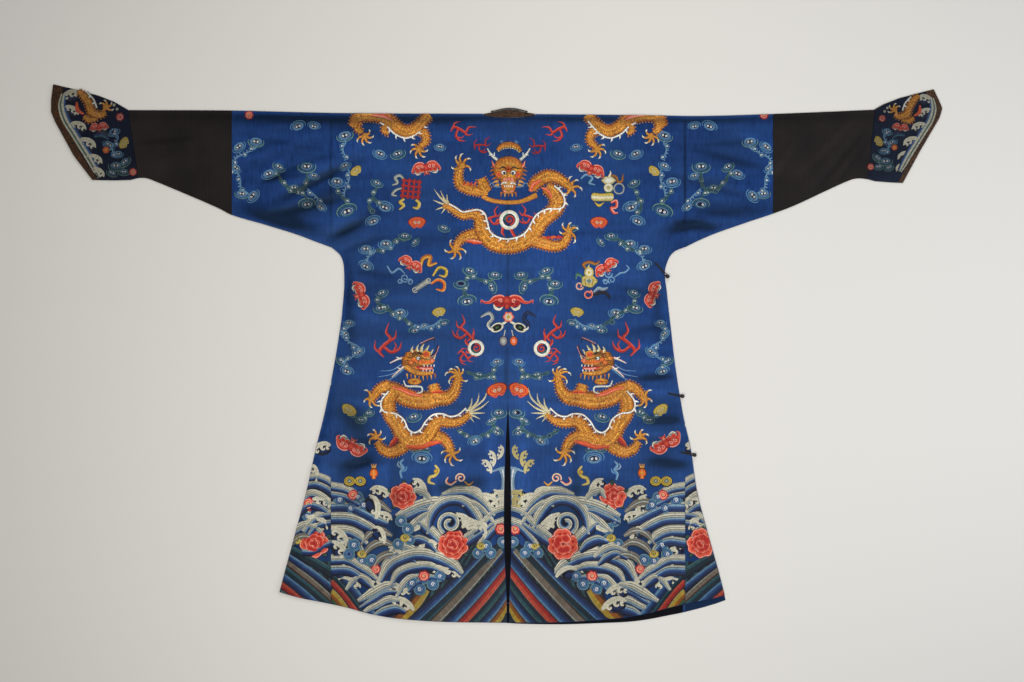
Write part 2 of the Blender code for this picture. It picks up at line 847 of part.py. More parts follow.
def loop_eye(row):
    return Vector((side_edge(row.below_eye, "right") + EYE_REACH, row.below_eye))


def loop_height(point):
    """A loop's cord lies on the back, then sinks past its edge."""
    edge = side_edge(point.y, "right")
    on_back = back_level(min(point.x, edge), point.y) + CORD_RADIUS + 2 * SEAM_GAP
    sunk = smoothstep((point.x - edge) / (EYE_REACH * 0.7))
    return on_back + (EYE_HEIGHT - on_back) * sunk


def side_loop(index, row):
    """A cord doubled into a loop: sewn on the back, with its eye past the side edge."""
    start, eye = Vector((row.across_from, row.below_from)), loop_eye(row)
    ahead = (eye - start).normalized()
    aside = Vector((-ahead.y, ahead.x))
    spacing = CORD_RADIUS + SEAM_GAP / 2
    eye_radius = NECK_OF_KNOT + CORD_RADIUS + 2 * SEAM_GAP

    def leg(share, sign):
        widen = spacing + (eye_radius - spacing) * smoothstep((share - 0.6) / 0.4)
        return start.lerp(eye, share) + aside * widen * sign

    shares = [0, 0.15, 0.3, 0.45, 0.6, 0.7, 0.78, 0.86, 0.93, 1.0]
    flat = [leg(share, 1) for share in shares]
    for degrees in (30, 60, 90, 120, 150):
        turn = math.radians(degrees)
        flat.append(eye + (aside * math.cos(turn) + ahead * math.sin(turn)) * eye_radius)
    flat += [leg(share, -1) for share in reversed(shares)]
    points = [place(point.x, point.y, loop_height(point)) for point in flat]
    return curve_object(f"loop_{index}", points, CORD_RADIUS, False, 1)


FOOT_BOTTOM = 0.0002


def knot_button(index, row):
    """A knotted ball above the loop's eye; its neck goes down to the overlap's edge."""
    name = f"button_{index}"
    ball_height = EYE_HEIGHT + CORD_RADIUS + SEAM_GAP + KNOT_RADIUS
    eye = loop_eye(row)
    centre = place(eye.x, eye.y, 0)
    bm = bmesh.new()
    profile = [
        (0, FOOT_BOTTOM),
        (NECK_OF_KNOT, FOOT_BOTTOM),
        (NECK_OF_KNOT, ball_height - KNOT_RADIUS * 0.965),
    ]
    for degrees in range(-60, 91, 25):
        angle = math.radians(degrees)
        bulge = KNOT_RADIUS * (1 - 0.06 * (1 - math.cos(3 * angle)) / 2)
        profile.append((bulge * math.cos(angle), ball_height + bulge * math.sin(angle)))
    profile.append((0, ball_height + KNOT_RADIUS))
    previous = None
    for radius, z in profile:
        previous = bm.verts.new((radius, 0, z)) if previous is None else previous
        vertex = bm.verts.new((radius, 0, z))
        if (vertex.co - previous.co).length > 1e-6:
            bm.edges.new((previous, vertex))
        previous = vertex
    loose = [vertex for vertex in bm.verts if not vertex.link_edges]
    bmesh.ops.delete(bm, geom=loose, context="VERTS")
    bmesh.ops.spin(
        bm,
        geom=bm.verts[:] + bm.edges[:],
        axis=(0, 0, 1),
        cent=(0, 0, 0),
        angle=math.tau,
        steps=12,
        use_merge=True,
    )
    bmesh.ops.remove_doubles(bm, verts=bm.verts, dist=0.00001)
    bmesh.ops.recalc_face_normals(bm, faces=bm.faces)
    mesh = bpy.data.meshes.new(name)
    bm.to_mesh(mesh)
    bm.free()
    mesh.shade_smooth()
    button = bpy.data.objects.new(name, mesh)
    button.location = centre
    return button


def add_foot(button, cutters):
    """Joins a flat tab to a button's neck, reaching back to the overlap's edge."""
    bm = bmesh.new()
    bmesh.ops.create_cube(bm, size=1)
    for vertex in bm.verts:
        vertex.co.x = (vertex.co.x - 0.5) * (EYE_REACH - FOOT_CLEAR)
        vertex.co.y *= NECK_OF_KNOT * 1.5
        vertex.co.z = CLOTH * 0.5 + vertex.co.z * CLOTH * 0.55
    mesh = bpy.data.meshes.new(f"{button.name}_foot")
    bm.to_mesh(mesh)
    bm.free()
    foot = bpy.data.objects.new(mesh.name, mesh)
    foot.location = (button.location.x, button.location.y, 0)
    foot.hide_render = True
    foot.display_type = "WIRE"
    cutters.objects.link(foot)
    join = button.modifiers.new("foot", "BOOLEAN")
    join.operation = "UNION"
    join.object = foot


def main():
    for obj in list(bpy.data.objects):
        bpy.data.objects.remove(obj)
    robe = new_collection("dragon_robe")
    cutters = new_collection("cutters")
    silk = make_materials()

    for side in ("left", "right"):
        end = UPPER_SLEEVE_END[side]
        joint = LOOM_EDGE + SEAM_GAP / 2
        finish(body_panel(side), silk["blue_silk"], robe)
        for lies in ("back", "front"):
            finish(gore(f"gore_{lies}_{side}", side, lies), silk["blue_silk"], robe)
        upper = sleeve(f"sleeve_upper_{side}", side, joint, end - SEAM_GAP / 2, 6)
        finish(upper, silk["blue_silk"], robe)
        lower = sleeve(f"sleeve_lower_{side}", side, end + SEAM_GAP / 2, None, 6)
        finish(lower, silk["dark_silk"], robe)
        cuff = cuff_tube(f"cuff_{side}", side, CUFF_SEAM, CUFF_BORDER_FROM, 5)
        finish(cuff, silk["cuff_silk"], robe)
        start = CUFF_BORDER_FROM + CUFF_SEAM
        border = cuff_tube(f"cuff_border_{side}", side, start, 1.0, 1)
        finish(border, silk["brocade"], robe)

    finish(front_overlap(), silk["blue_silk"], robe)
    finish(neck_band(), silk["brocade"], robe)
    finish(neck_piping(), silk["black_cord"], robe)
    finish(lining_vent(), silk["lining_silk"], robe)
    finish(lining_hem(), silk["lining_silk"], robe)
    for index, row in enumerate(LOOPS, start=1):
        finish(side_loop(index, row), silk["black_cord"], robe)
        button = finish(knot_button(index, row), silk["black_cord"], robe)
        add_foot(button, cutters)


main()
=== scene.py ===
"""The looks of a Chinese dragon robe that lies flat with its back upwards.

Motifs are laid out on the embroiderer's grid: squares of 2.4 mm, counted to the right of
the centre back seam and down from the shoulder line. A table's across, below and size
columns are in these squares. Cloth tables are in metres from the same two lines.
"""

import math
from collections import namedtuple

import bmesh
import bpy
import numpy as np
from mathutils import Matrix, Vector, kdtree


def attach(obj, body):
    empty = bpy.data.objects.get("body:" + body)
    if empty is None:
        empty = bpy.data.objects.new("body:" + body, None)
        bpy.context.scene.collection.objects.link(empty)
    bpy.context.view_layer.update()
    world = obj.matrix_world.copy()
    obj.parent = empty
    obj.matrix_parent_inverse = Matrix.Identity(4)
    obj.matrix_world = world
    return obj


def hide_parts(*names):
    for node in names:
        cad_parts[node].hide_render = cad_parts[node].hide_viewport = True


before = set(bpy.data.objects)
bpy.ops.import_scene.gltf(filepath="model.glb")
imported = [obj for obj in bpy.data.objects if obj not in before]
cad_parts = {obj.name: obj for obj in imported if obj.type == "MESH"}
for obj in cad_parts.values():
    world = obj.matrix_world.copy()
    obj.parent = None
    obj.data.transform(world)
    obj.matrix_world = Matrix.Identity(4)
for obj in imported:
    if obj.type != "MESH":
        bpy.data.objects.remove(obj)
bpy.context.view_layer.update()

BODY = "root"

# Cloth and its layers
CLOTH = 0.0012
SEAM_GAP = 0.0003
FOLD_RADIUS = 0.0023
REST_LEVEL = 2 * FOLD_RADIUS
LAYER = CLOTH + SEAM_GAP
LOOM_EDGE = 0.425
BODY_LENGTH = 1.226
NECK_LEFT = 0.060
NECK_RIGHT = 0.066
NECK_BACK_DROP = 0.007
NECK_FRONT_DROP = 0.092
FLAP_EDGE = 0.030
FLAP_SHORTER = 0.075
FLAP_LIFTS = 0.085
EDGE_SOFT = 0.035
PUFF = 0.0011
HEM_WAVE = 0.0016
HEM_WAVE_LENGTH = 0.31

# The centre seam and the shoulder line in the frame
ORIGIN_ACROSS = -0.0270
ORIGIN_BELOW = 0.5812
GRID = 0.0024  # one square of the embroiderer's grid

SideRow = namedtuple("SideRow", "below left right")
SIDE_EDGE = [
    SideRow(0.3245, 0.4243, 0.4243),
    SideRow(0.332, 0.415, 0.404),
    SideRow(0.342, 0.404, 0.392),
    SideRow(0.358, 0.3965, 0.383),
    SideRow(0.385, 0.3935, 0.3765),
    SideRow(0.430, 0.394, 0.381),
    SideRow(0.520, 0.403, 0.391),
    SideRow(0.620, 0.420, 0.403),
    SideRow(0.720, 0.440, 0.419),
    SideRow(0.810, 0.462, 0.439),
    SideRow(0.910, 0.484, 0.454),
    SideRow(1.000, 0.508, 0.477),
    SideRow(1.100, 0.535, 0.505),
    SideRow(1.170, 0.553, 0.523),
]
HemRow = namedtuple("HemRow", "across below")
HEM = [
    HemRow(0.00, 1.226),
    HemRow(0.15, 1.224),
    HemRow(0.27, 1.215),
    HemRow(0.33, 1.205),
    HemRow(0.39, 1.189),
    HemRow(0.45, 1.176),
    HemRow(0.50, 1.166),
    HemRow(0.56, 1.149),
]
DropRow = namedtuple("DropRow", "across drop")
FRONT_DROP = [
    DropRow(-0.56, -0.004),
    DropRow(-0.06, -0.004),
    DropRow(0.02, 0.003),
    DropRow(0.22, 0.008),
    DropRow(0.32, 0.014),
    DropRow(0.42, 0.020),
    DropRow(0.53, 0.012),
]
TopRow = namedtuple("TopRow", "across below")
TOP_EDGE = [
    TopRow(-0.91, -0.005),
    TopRow(-0.665, -0.004),
    TopRow(-0.40, 0.002),
    TopRow(0.00, 0.004),
    TopRow(0.33, 0.007),
    TopRow(0.46, 0.009),
    TopRow(0.64, 0.004),
    TopRow(0.88, -0.006),
]
VentRow = namedtuple("VentRow", "below left right")
VENT = [
    VentRow(0.700, 0.0, 0.0),
    VentRow(0.810, 0.0062, 0.0048),
    VentRow(0.930, 0.0092, 0.0068),
    VentRow(1.050, 0.0084, 0.0072),
    VentRow(1.170, 0.0030, 0.0032),
    VentRow(1.226, 0.0024, 0.0026),
]
SleeveRow = namedtuple("SleeveRow", "across below")
UNDERSIDE = {
    "left": [
        SleeveRow(0.425, 0.3245),
        SleeveRow(0.466, 0.3095),
        SleeveRow(0.504, 0.295),
        SleeveRow(0.581, 0.271),
        SleeveRow(0.663, 0.247),
        SleeveRow(0.696, 0.2304),
        SleeveRow(0.773, 0.197),
        SleeveRow(0.850, 0.165),
        SleeveRow(0.869, 0.1585),
        SleeveRow(0.888, 0.158),
    ],
    "right": [
        SleeveRow(0.425, 0.3245),
        SleeveRow(0.461, 0.307),
        SleeveRow(0.499, 0.291),
        SleeveRow(0.576, 0.264),
        SleeveRow(0.636, 0.244),
        SleeveRow(0.691, 0.223),
        SleeveRow(0.768, 0.187),
        SleeveRow(0.825, 0.162),
        SleeveRow(0.845, 0.159),
        SleeveRow(0.864, 0.161),
    ],
}
UPPER_SLEEVE_END = {"left": 0.663, "right": 0.636}
CUFF = {
    "left": {
        "joint": [(0.912, -0.0055), (0.888, 0.158)],
        "upper": [
            (0.912, -0.0055),
            (0.946, -0.025),
            (0.984, -0.040),
            (1.040, -0.055),
            (1.092, -0.067),
        ],
        "lower": [(0.888, 0.158), (0.907, 0.163), (0.946, 0.164), (0.998, 0.163)],
        "mouth": [
            (1.092, -0.067),
            (1.097, -0.029),
            (1.097, 0.000),
            (1.087, 0.024),
            (1.042, 0.106),
            (0.998, 0.163),
        ],
    },
    "right": {
        "joint": [(0.880, -0.0065), (0.864, 0.161)],
        "upper": [
            (0.880, -0.0065),
            (0.902, -0.019),
            (0.941, -0.034),
            (0.979, -0.044),
            (1.022, -0.055),
        ],
        "lower": [(0.864, 0.161), (0.883, 0.166), (0.922, 0.169), (0.948, 0.170)],
        "mouth": [
            (1.022, -0.055),
            (1.034, -0.030),
            (1.043, -0.009),
            (1.036, 0.014),
            (0.988, 0.096),
            (0.948, 0.170),
        ],
    },
}
CUFF_BORDER_FROM = 0.865
CUFF_SEAM = 0.004

# Folds in the back: a soft ridge along a line, or a trough where it sinks
FoldRow = namedtuple("FoldRow", "across_1 below_1 across_2 below_2 half_width rise")
FOLDS = [
    FoldRow(-0.360, 0.070, -0.600, 0.215, 0.028, 0.0042),
    FoldRow(-0.400, 0.190, -0.620, 0.245, 0.022, 0.0030),
    FoldRow(-0.330, 0.230, -0.470, 0.285, 0.024, 0.0038),
    FoldRow(-0.250, 0.110, -0.430, 0.060, 0.030, 0.0026),
    FoldRow(0.400, 0.120, 0.620, 0.190, 0.026, 0.0034),
    FoldRow(0.360, 0.250, 0.540, 0.262, 0.020, 0.0036),
    FoldRow(0.330, 0.290, 0.450, 0.235, 0.018, 0.0028),
    FoldRow(0.520, 0.220, 0.640, 0.120, 0.022, 0.0024),
    FoldRow(0.700, 0.200, 0.850, 0.030, 0.016, 0.0026),
    FoldRow(0.770, 0.170, 0.860, 0.080, 0.012, 0.0020),
    FoldRow(-0.700, 0.100, -0.880, 0.130, 0.020, 0.0018),
    FoldRow(-0.290, 0.620, -0.330, 1.180, 0.030, 0.0040),
    FoldRow(-0.400, 0.600, -0.200, 0.760, 0.026, 0.0028),
    FoldRow(-0.420, 0.850, -0.180, 0.910, 0.022, 0.0026),
    FoldRow(0.160, 0.330, 0.370, 0.390, 0.024, 0.0026),
    FoldRow(0.280, 0.590, 0.400, 0.600, 0.014, 0.0026),
    FoldRow(0.290, 0.720, 0.410, 0.700, 0.014, 0.0028),
    FoldRow(0.290, 0.800, 0.430, 0.790, 0.014, 0.0026),
    FoldRow(-0.120, 0.860, 0.260, 0.880, 0.026, 0.0022),
    FoldRow(-0.160, 0.700, -0.140, 1.220, 0.040, 0.0030),
    FoldRow(0.180, 0.760, 0.220, 1.210, 0.044, 0.0034),
    FoldRow(0.400, 0.900, 0.450, 1.170, 0.026, 0.0030),
    FoldRow(-0.455, 0.800, -0.500, 1.160, 0.024, 0.0028),
    FoldRow(-0.060, 0.180, -0.050, 0.560, 0.044, 0.0018),
    FoldRow(0.080, 0.180, 0.090, 0.560, 0.044, 0.0018),
]
# Finer creases, which only the visible cloth has
CREASES = [
    # drag lines of the left sleeve, from the underarm
    FoldRow(-0.350, 0.110, -0.560, 0.222, 0.009, -0.0022),
    FoldRow(-0.405, 0.092, -0.640, 0.188, 0.008, -0.0015),
    FoldRow(-0.390, 0.205, -0.600, 0.250, 0.008, -0.0020),
    FoldRow(-0.345, 0.262, -0.430, 0.300, 0.008, -0.0022),
    FoldRow(-0.300, 0.300, -0.390, 0.330, 0.008, -0.0016),
    FoldRow(-0.470, 0.060, -0.650, 0.120, 0.010, 0.0012),
    FoldRow(-0.520, 0.095, -0.655, 0.215, 0.010, 0.0012),
    FoldRow(-0.300, 0.050, -0.420, 0.036, 0.010, -0.0014),
    # right sleeve
    FoldRow(0.392, 0.262, 0.505, 0.278, 0.008, -0.0024),
    FoldRow(0.380, 0.295, 0.470, 0.262, 0.007, -0.0020),
    FoldRow(0.410, 0.238, 0.560, 0.247, 0.008, -0.0016),
    FoldRow(0.380, 0.150, 0.620, 0.215, 0.010, -0.0016),
    FoldRow(0.430, 0.085, 0.630, 0.140, 0.009, -0.0014),
    FoldRow(0.545, 0.050, 0.640, 0.075, 0.009, 0.0010),
    FoldRow(0.610, 0.190, 0.700, 0.060, 0.010, 0.0012),
    # twisted folds of the right dark sleeve
    FoldRow(0.740, 0.190, 0.868, 0.028, 0.007, -0.0016),
    FoldRow(0.790, 0.170, 0.872, 0.062, 0.006, -0.0014),
    FoldRow(0.700, 0.150, 0.830, 0.018, 0.008, 0.0012),
    FoldRow(-0.740, 0.060, -0.890, 0.075, 0.008, -0.0010),
    # body, left of the seam
    FoldRow(-0.268, 0.640, -0.276, 1.150, 0.011, -0.0026),
    FoldRow(-0.395, 0.785, -0.270, 0.800, 0.008, -0.0018),
    FoldRow(-0.430, 0.850, -0.285, 0.835, 0.008, -0.0018),
    FoldRow(-0.400, 0.690, -0.300, 0.705, 0.009, 0.0014),
    FoldRow(-0.390, 0.470, -0.300, 0.500, 0.011, 0.0012),
    FoldRow(-0.360, 0.380, -0.250, 0.400, 0.010, -0.0012),
    FoldRow(-0.200, 0.905, -0.030, 0.885, 0.012, -0.0012),
    FoldRow(-0.180, 0.560, -0.172, 1.210, 0.012, 0.0010),
    # body, right of the seam
    FoldRow(0.300, 0.520, 0.392, 0.512, 0.007, -0.0016),
    FoldRow(0.296, 0.560, 0.396, 0.566, 0.007, 0.0013),
    FoldRow(0.310, 0.640, 0.405, 0.628, 0.007, -0.0018),
    FoldRow(0.302, 0.668, 0.410, 0.676, 0.007, 0.0014),
    FoldRow(0.300, 0.745, 0.425, 0.742, 0.007, -0.0018),
    FoldRow(0.290, 0.770, 0.430, 0.775, 0.007, 0.0013),
    FoldRow(0.300, 0.842, 0.445, 0.848, 0.008, -0.0016),
    FoldRow(0.255, 0.420, 0.372, 0.440, 0.009, -0.0012),
    FoldRow(0.120, 0.868, 0.300, 0.892, 0.010, -0.0014),
    FoldRow(0.020, 0.905, 0.160, 0.892, 0.010, 0.0010),
    FoldRow(0.158, 0.600, 0.170, 1.205, 0.012, -0.0012),
    FoldRow(0.036, 0.560, 0.034, 1.200, 0.016, 0.0014),
    FoldRow(-0.040, 0.560, -0.044, 1.200, 0.016, 0.0014),
]


# Painted shade in deep folds and along edges where little light reaches the silk, painted light where the
# silk is brighter, and dark lines along the seams
SHADES = [
    FoldRow(-0.900, 0.010, 0.900, 0.010, 0.013, -1.0),
    FoldRow(-0.640, 0.018, -0.110, 0.016, 0.017, -0.7),
    FoldRow(0.110, 0.012, 0.600, 0.014, 0.012, -0.6),
    FoldRow(-0.640, 0.110, -0.470, 0.130, 0.060, -0.22),
    FoldRow(-0.640, 0.230, -0.520, 0.250, 0.040, -0.40),
    FoldRow(-0.390, 0.620, -0.350, 0.860, 0.050, -0.42),
    FoldRow(0.390, 0.660, 0.370, 0.880, 0.040, -0.35),
    FoldRow(0.120, 0.200, 0.200, 0.460, 0.120, 0.30),
    FoldRow(-0.120, 0.250, -0.080, 0.480, 0.090, 0.20),
    FoldRow(0.060, 0.520, 0.120, 0.800, 0.100, 0.22),
    FoldRow(-0.360, 0.330, -0.330, 0.560, 0.060, -0.25),
    FoldRow(0.470, 0.060, 0.620, 0.180, 0.080, -0.20),
    FoldRow(-0.330, 0.300, -0.060, 0.312, 0.008, -0.32),
    FoldRow(0.060, 0.300, 0.330, 0.286, 0.008, -0.30),
    FoldRow(-0.350, 0.420, -0.180, 0.412, 0.007, -0.34),
    FoldRow(0.130, 0.436, 0.370, 0.452, 0.008, -0.34),
    FoldRow(-0.320, 0.530, -0.030, 0.545, 0.008, -0.32),
    FoldRow(0.050, 0.545, 0.350, 0.530, 0.007, -0.32),
    FoldRow(-0.300, 0.690, -0.040, 0.712, 0.009, -0.34),
    FoldRow(0.040, 0.700, 0.350, 0.668, 0.008, -0.34),
    FoldRow(-0.330, 0.800, -0.050, 0.820, 0.010, -0.36),
    FoldRow(0.050, 0.812, 0.380, 0.792, 0.010, -0.40),
    FoldRow(-0.620, 0.060, -0.450, 0.090, 0.007, -0.40),
    FoldRow(-0.640, 0.170, -0.470, 0.150, 0.007, -0.50),
    FoldRow(0.450, 0.080, 0.620, 0.070, 0.007, -0.40),
    FoldRow(0.440, 0.160, 0.630, 0.176, 0.008, -0.45),
    FoldRow(-0.380, 0.180, -0.560, 0.262, 0.024, -0.9),
    FoldRow(-0.440, 0.290, -0.640, 0.235, 0.016, -0.9),
    FoldRow(-0.380, 0.120, -0.560, 0.215, 0.010, -0.8),
    FoldRow(-0.300, 0.230, -0.440, 0.320, 0.016, -0.7),
    FoldRow(-0.390, 0.350, -0.370, 0.620, 0.014, -0.5),
    FoldRow(0.390, 0.262, 0.520, 0.282, 0.014, -0.9),
    FoldRow(0.350, 0.290, 0.470, 0.262, 0.012, -0.7),
    FoldRow(0.330, 0.330, 0.380, 0.600, 0.014, -0.5),
    FoldRow(0.460, 0.230, 0.640, 0.240, 0.014, -0.6),
    FoldRow(-0.415, 0.880, -0.320, 0.820, 0.020, -0.9),
    FoldRow(-0.430, 0.960, -0.300, 0.900, 0.016, -0.7),
    FoldRow(-0.400, 0.700, -0.340, 0.780, 0.022, -0.6),
    FoldRow(0.330, 0.740, 0.420, 0.735, 0.010, -0.8),
    FoldRow(0.330, 0.830, 0.430, 0.850, 0.012, -0.8),
    FoldRow(0.300, 0.640, 0.400, 0.636, 0.008, -0.7),
    FoldRow(-0.030, 0.880, -0.300, 0.930, 0.016, -0.6),
    FoldRow(0.020, 0.900, 0.300, 0.910, 0.016, -0.6),
    FoldRow(-0.004, 0.560, -0.004, 0.690, 0.0035, -0.9),
    FoldRow(-0.000, 0.040, -0.000, 0.600, 0.0018, -0.8),
    FoldRow(-0.425, 0.010, -0.425, 0.300, 0.0016, -0.9),
    FoldRow(0.425, 0.010, 0.425, 0.300, 0.0016, -0.9),
]
# How strongly the creases add painted shade in their troughs and painted light on their ridges
CREASE_PAINTED_SHADING = 0.55
GROUND_TONE = 0.62
# Where the ground of dark stitches under the waves begins, in squares of the grid
GroundRow = namedtuple("GroundRow", "out down")
GROUND = [
    GroundRow(0, 398),
    GroundRow(20, 400),
    GroundRow(34, 389),
    GroundRow(52, 385),
    GroundRow(68, 389),
    GroundRow(86, 386),
    GroundRow(98, 394),
    GroundRow(114, 403),
    GroundRow(134, 396),
    GroundRow(150, 388),
    GroundRow(164, 380),
    GroundRow(182, 372),
    GroundRow(232, 362),
]
# How strongly the larger folds, and the shades table, add painted light and shade
FOLD_PAINTED_SHADING = 0.22
SHADE_TONE = 1.1


def smoothstep(value):
    value = min(1.0, max(0.0, value))
    return value * value * (3 - 2 * value)


def slope_at(rows, key, column, i):
    before, after = rows[max(0, i - 1)], rows[min(len(rows) - 1, i + 1)]
    rise = getattr(after, column) - getattr(before, column)
    return rise / (getattr(after, key) - getattr(before, key))


def read(rows, key, column, at):
    """A table's column at a value of its key column, on a smooth curve."""
    i = 0
    while i < len(rows) - 2 and at > getattr(rows[i + 1], key):
        i += 1
    low, high = rows[i], rows[i + 1]
    span = getattr(high, key) - getattr(low, key)
    t = min(1.0, max(0.0, (at - getattr(low, key)) / span))
    start, end = getattr(low, column), getattr(high, column)
    slope_1 = slope_at(rows, key, column, i) * span
    slope_2 = slope_at(rows, key, column, i + 1) * span
    return (
        (2 * t**3 - 3 * t**2 + 1) * start
        + (t**3 - 2 * t**2 + t) * slope_1
        + (3 * t**2 - 2 * t**3) * end
        + (t**3 - t**2) * slope_2
    )


def along(points, share):
    """The point a share of the way along a run of points."""
    flat = [Vector(point) for point in points]
    lengths = [(b - a).length for a, b in zip(flat, flat[1:])]
    left = share * sum(lengths)
    for a, b, length in zip(flat, flat[1:], lengths):
        if left <= length:
            return a.lerp(b, left / length)
        left -= length
    return flat[-1]


def side_edge(below, side):
    return read(SIDE_EDGE, "below", side, below)


def hem_at(across):
    return read(HEM, "across", "below", abs(across))


def front_hem_at(across):
    return hem_at(across) + read(FRONT_DROP, "across", "drop", across)


def row_below(at, across, hem):
    """A body row's place: level near the waist, and following the hem near the hem."""
    near_hem = smoothstep((at - 0.6) / (BODY_LENGTH - 0.6))
    return at - (BODY_LENGTH - hem(across)) * near_hem


def outer_edge(at, side, hem):
    """Half width of the body where a row meets the side edge."""
    sign = -1 if side == "left" else 1
    outer = LOOM_EDGE
    for _ in range(4):
        outer = side_edge(row_below(at, sign * outer, hem), side)
    return outer


def near_top(at):
    """How far a row follows the shoulder's fold rather than lying level."""
    return 1 - smoothstep(at / 0.2)


def top_at(across):
    return read(TOP_EDGE, "across", "below", across)


def underside_at(across, side):
    return read(UNDERSIDE[side], "across", "below", abs(across))


def cuff_point(side, outward, down):
    """A cuff's surface laid flat, blended between its four edges."""
    edges = CUFF[side]
    joint, mouth = along(edges["joint"], down), along(edges["mouth"], down)
    upper, lower = along(edges["upper"], outward), along(edges["lower"], outward)
    top = along(edges["joint"], 0).lerp(along(edges["mouth"], 0), outward)
    bottom = along(edges["joint"], 1).lerp(along(edges["mouth"], 1), outward)
    middle = joint.lerp(mouth, outward)
    return middle + (upper - top) * (1 - down) + (lower - bottom) * down


def overlap_top(across):
    """The overlap's curved upper edge, from the front neck to the right underarm."""
    share = min(1.0, max(0.0, across / 0.376))
    return NECK_FRONT_DROP + 0.012 + 0.255 * share**1.25


def outline_points():
    """Close points all round the robe's outline, as (across, below) pairs."""
    step, points = 0.006, []
    for side, sign in (("left", -1), ("right", 1)):
        reach = CUFF[side]["joint"][0][0]
        for i in range(int(reach / step)):
            points.append((sign * i * step, top_at(sign * i * step)))
        end = CUFF[side]["joint"][1][0]
        for i in range(int((end - LOOM_EDGE) / step)):
            across = LOOM_EDGE + i * step
            points.append((sign * across, underside_at(across, side)))
        first = SIDE_EDGE[0].below
        for i in range(int((hem_at(0.54) - first) / step)):
            below = first + i * step
            points.append((sign * side_edge(below, side), below))
        for i in range(int(side_edge(1.15, side) / step)):
            points.append((sign * i * step, hem_at(i * step)))
        for edge in ("upper", "lower", "mouth"):
            for i in range(40):
                spot = along(CUFF[side][edge], i / 39)
                points.append((sign * spot.x, spot.y))
    return points


class Relief:
    """The back's height on a fine grid, with its folds, creases and soft edges, and the painted light and
    shade that go with them.
    """

    STEP = 0.003
    LOW = (-1.12, -0.10)
    HIGH = (1.07, 1.26)

    def __init__(self):
        outline = outline_points()
        tree = kdtree.KDTree(len(outline))
        for i, (across, below) in enumerate(outline):
            tree.insert((across, below, 0), i)
        tree.balance()
        self.across = np.arange(self.LOW[0], self.HIGH[0], self.STEP)
        self.below = np.arange(self.LOW[1], self.HIGH[1], self.STEP)
        a, b = np.meshgrid(self.across, self.below, indexing="ij")
        near = [tree.find((x, y, 0))[2] for x, y in zip(a.ravel(), b.ravel())]
        self.distance = np.array(near).reshape(a.shape)
        soft = self.ease(self.distance / EDGE_SOFT)
        rise = sum(self.fold(row, a, b) for row in FOLDS)
        near_hem = self.ease((b - 1.05) / 0.15)
        wave = HEM_WAVE * near_hem * (1 + np.sin(a / HEM_WAVE_LENGTH * math.tau))
        fine_soft = self.ease(self.distance / 0.012)
        fine = sum(self.fold(row, a, b) for row in CREASES)
        fine += self.ripples(a, b)
        self.height = REST_LEVEL + (PUFF + np.maximum(rise, -PUFF)) * soft + wave
        self.height += fine * fine_soft
        self.height = np.maximum(self.height, REST_LEVEL - 0.0002)
        # Painted shade in troughs, deep folds and along edges, and painted light on ridges, kept in the
        # tone grid
        tone = sum(self.fold(row, a, b) * CREASE_PAINTED_SHADING / abs(row.rise) for row in CREASES)
        tone += sum(self.fold(row, a, b) * FOLD_PAINTED_SHADING / abs(row.rise) for row in FOLDS)
        tone += SHADE_TONE * sum(self.fold(row, a, b) for row in SHADES)
        self.tone = np.clip(tone, -1, 1) * fine_soft
        out = [row.out * GRID for row in GROUND]
        top = np.interp(np.abs(a), out, [row.down * GRID for row in GROUND])
        self.ground = GROUND_TONE * self.ease((b - top) / 0.005)

    @staticmethod
    def ease(value):
        value = np.clip(value, 0, 1)
        return value * value * (3 - 2 * value)

    @staticmethod
    def fold(row, a, b):
        line = np.array((row.across_2 - row.across_1, row.below_2 - row.below_1))
        share = ((a - row.across_1) * line[0] + (b - row.below_1) * line[1]) / (line @ line)
        share = np.clip(share, 0, 1)
        off_a = a - row.across_1 - line[0] * share
        off_b = b - row.below_1 - line[1] * share
        off = np.hypot(off_a, off_b) / row.half_width
        return row.rise * np.sin(np.pi * (0.08 + 0.84 * share)) * np.exp(-off * off)

    @staticmethod
    def ripples(a, b):
        """Faint unevenness of cloth that has hung and been folded for years."""
        total = 0.00030 * np.sin(a * 31 + 1.7 * np.sin(b * 9)) * np.sin(b * 23 + a * 7)
        total += 0.00022 * np.sin(a * 74 + 2.1 * np.sin(b * 31)) * np.sin(b * 61 + 4 * a)
        total += 0.00012 * np.sin(a * 160 + 3 * np.sin(b * 60)) * np.sin(b * 135 - 9 * a)
        return total

    def at(self, across, below, grid=None):
        """Heights at arrays of places."""
        grid = self.height if grid is None else grid
        u = np.clip((np.asarray(across) - self.LOW[0]) / self.STEP, 0, len(self.across) - 2.001)
        v = np.clip((np.asarray(below) - self.LOW[1]) / self.STEP, 0, len(self.below) - 2.001)
        i, j = u.astype(int), v.astype(int)
        s, t = u - i, v - j
        return (
            grid[i, j] * (1 - s) * (1 - t)
            + grid[i + 1, j] * s * (1 - t)
            + grid[i, j + 1] * (1 - s) * t
            + grid[i + 1, j + 1] * s * t
        )


RELIEF = Relief()


def side_droop(across, below, side):
    """How far the back sinks at its side edges to meet the front."""
    if below < SIDE_EDGE[0].below or side == "right":
        return 0.0
    distance = side_edge(below, side) - abs(across)
    deepest = REST_LEVEL - CLOTH - LAYER - SEAM_GAP
    return deepest * (1 - smoothstep(distance / 0.018))


def spread(start, end, count):
    return [start + (end - start) * i / count for i in range(count + 1)]


ON_BACK = None  # a height that follows the relief


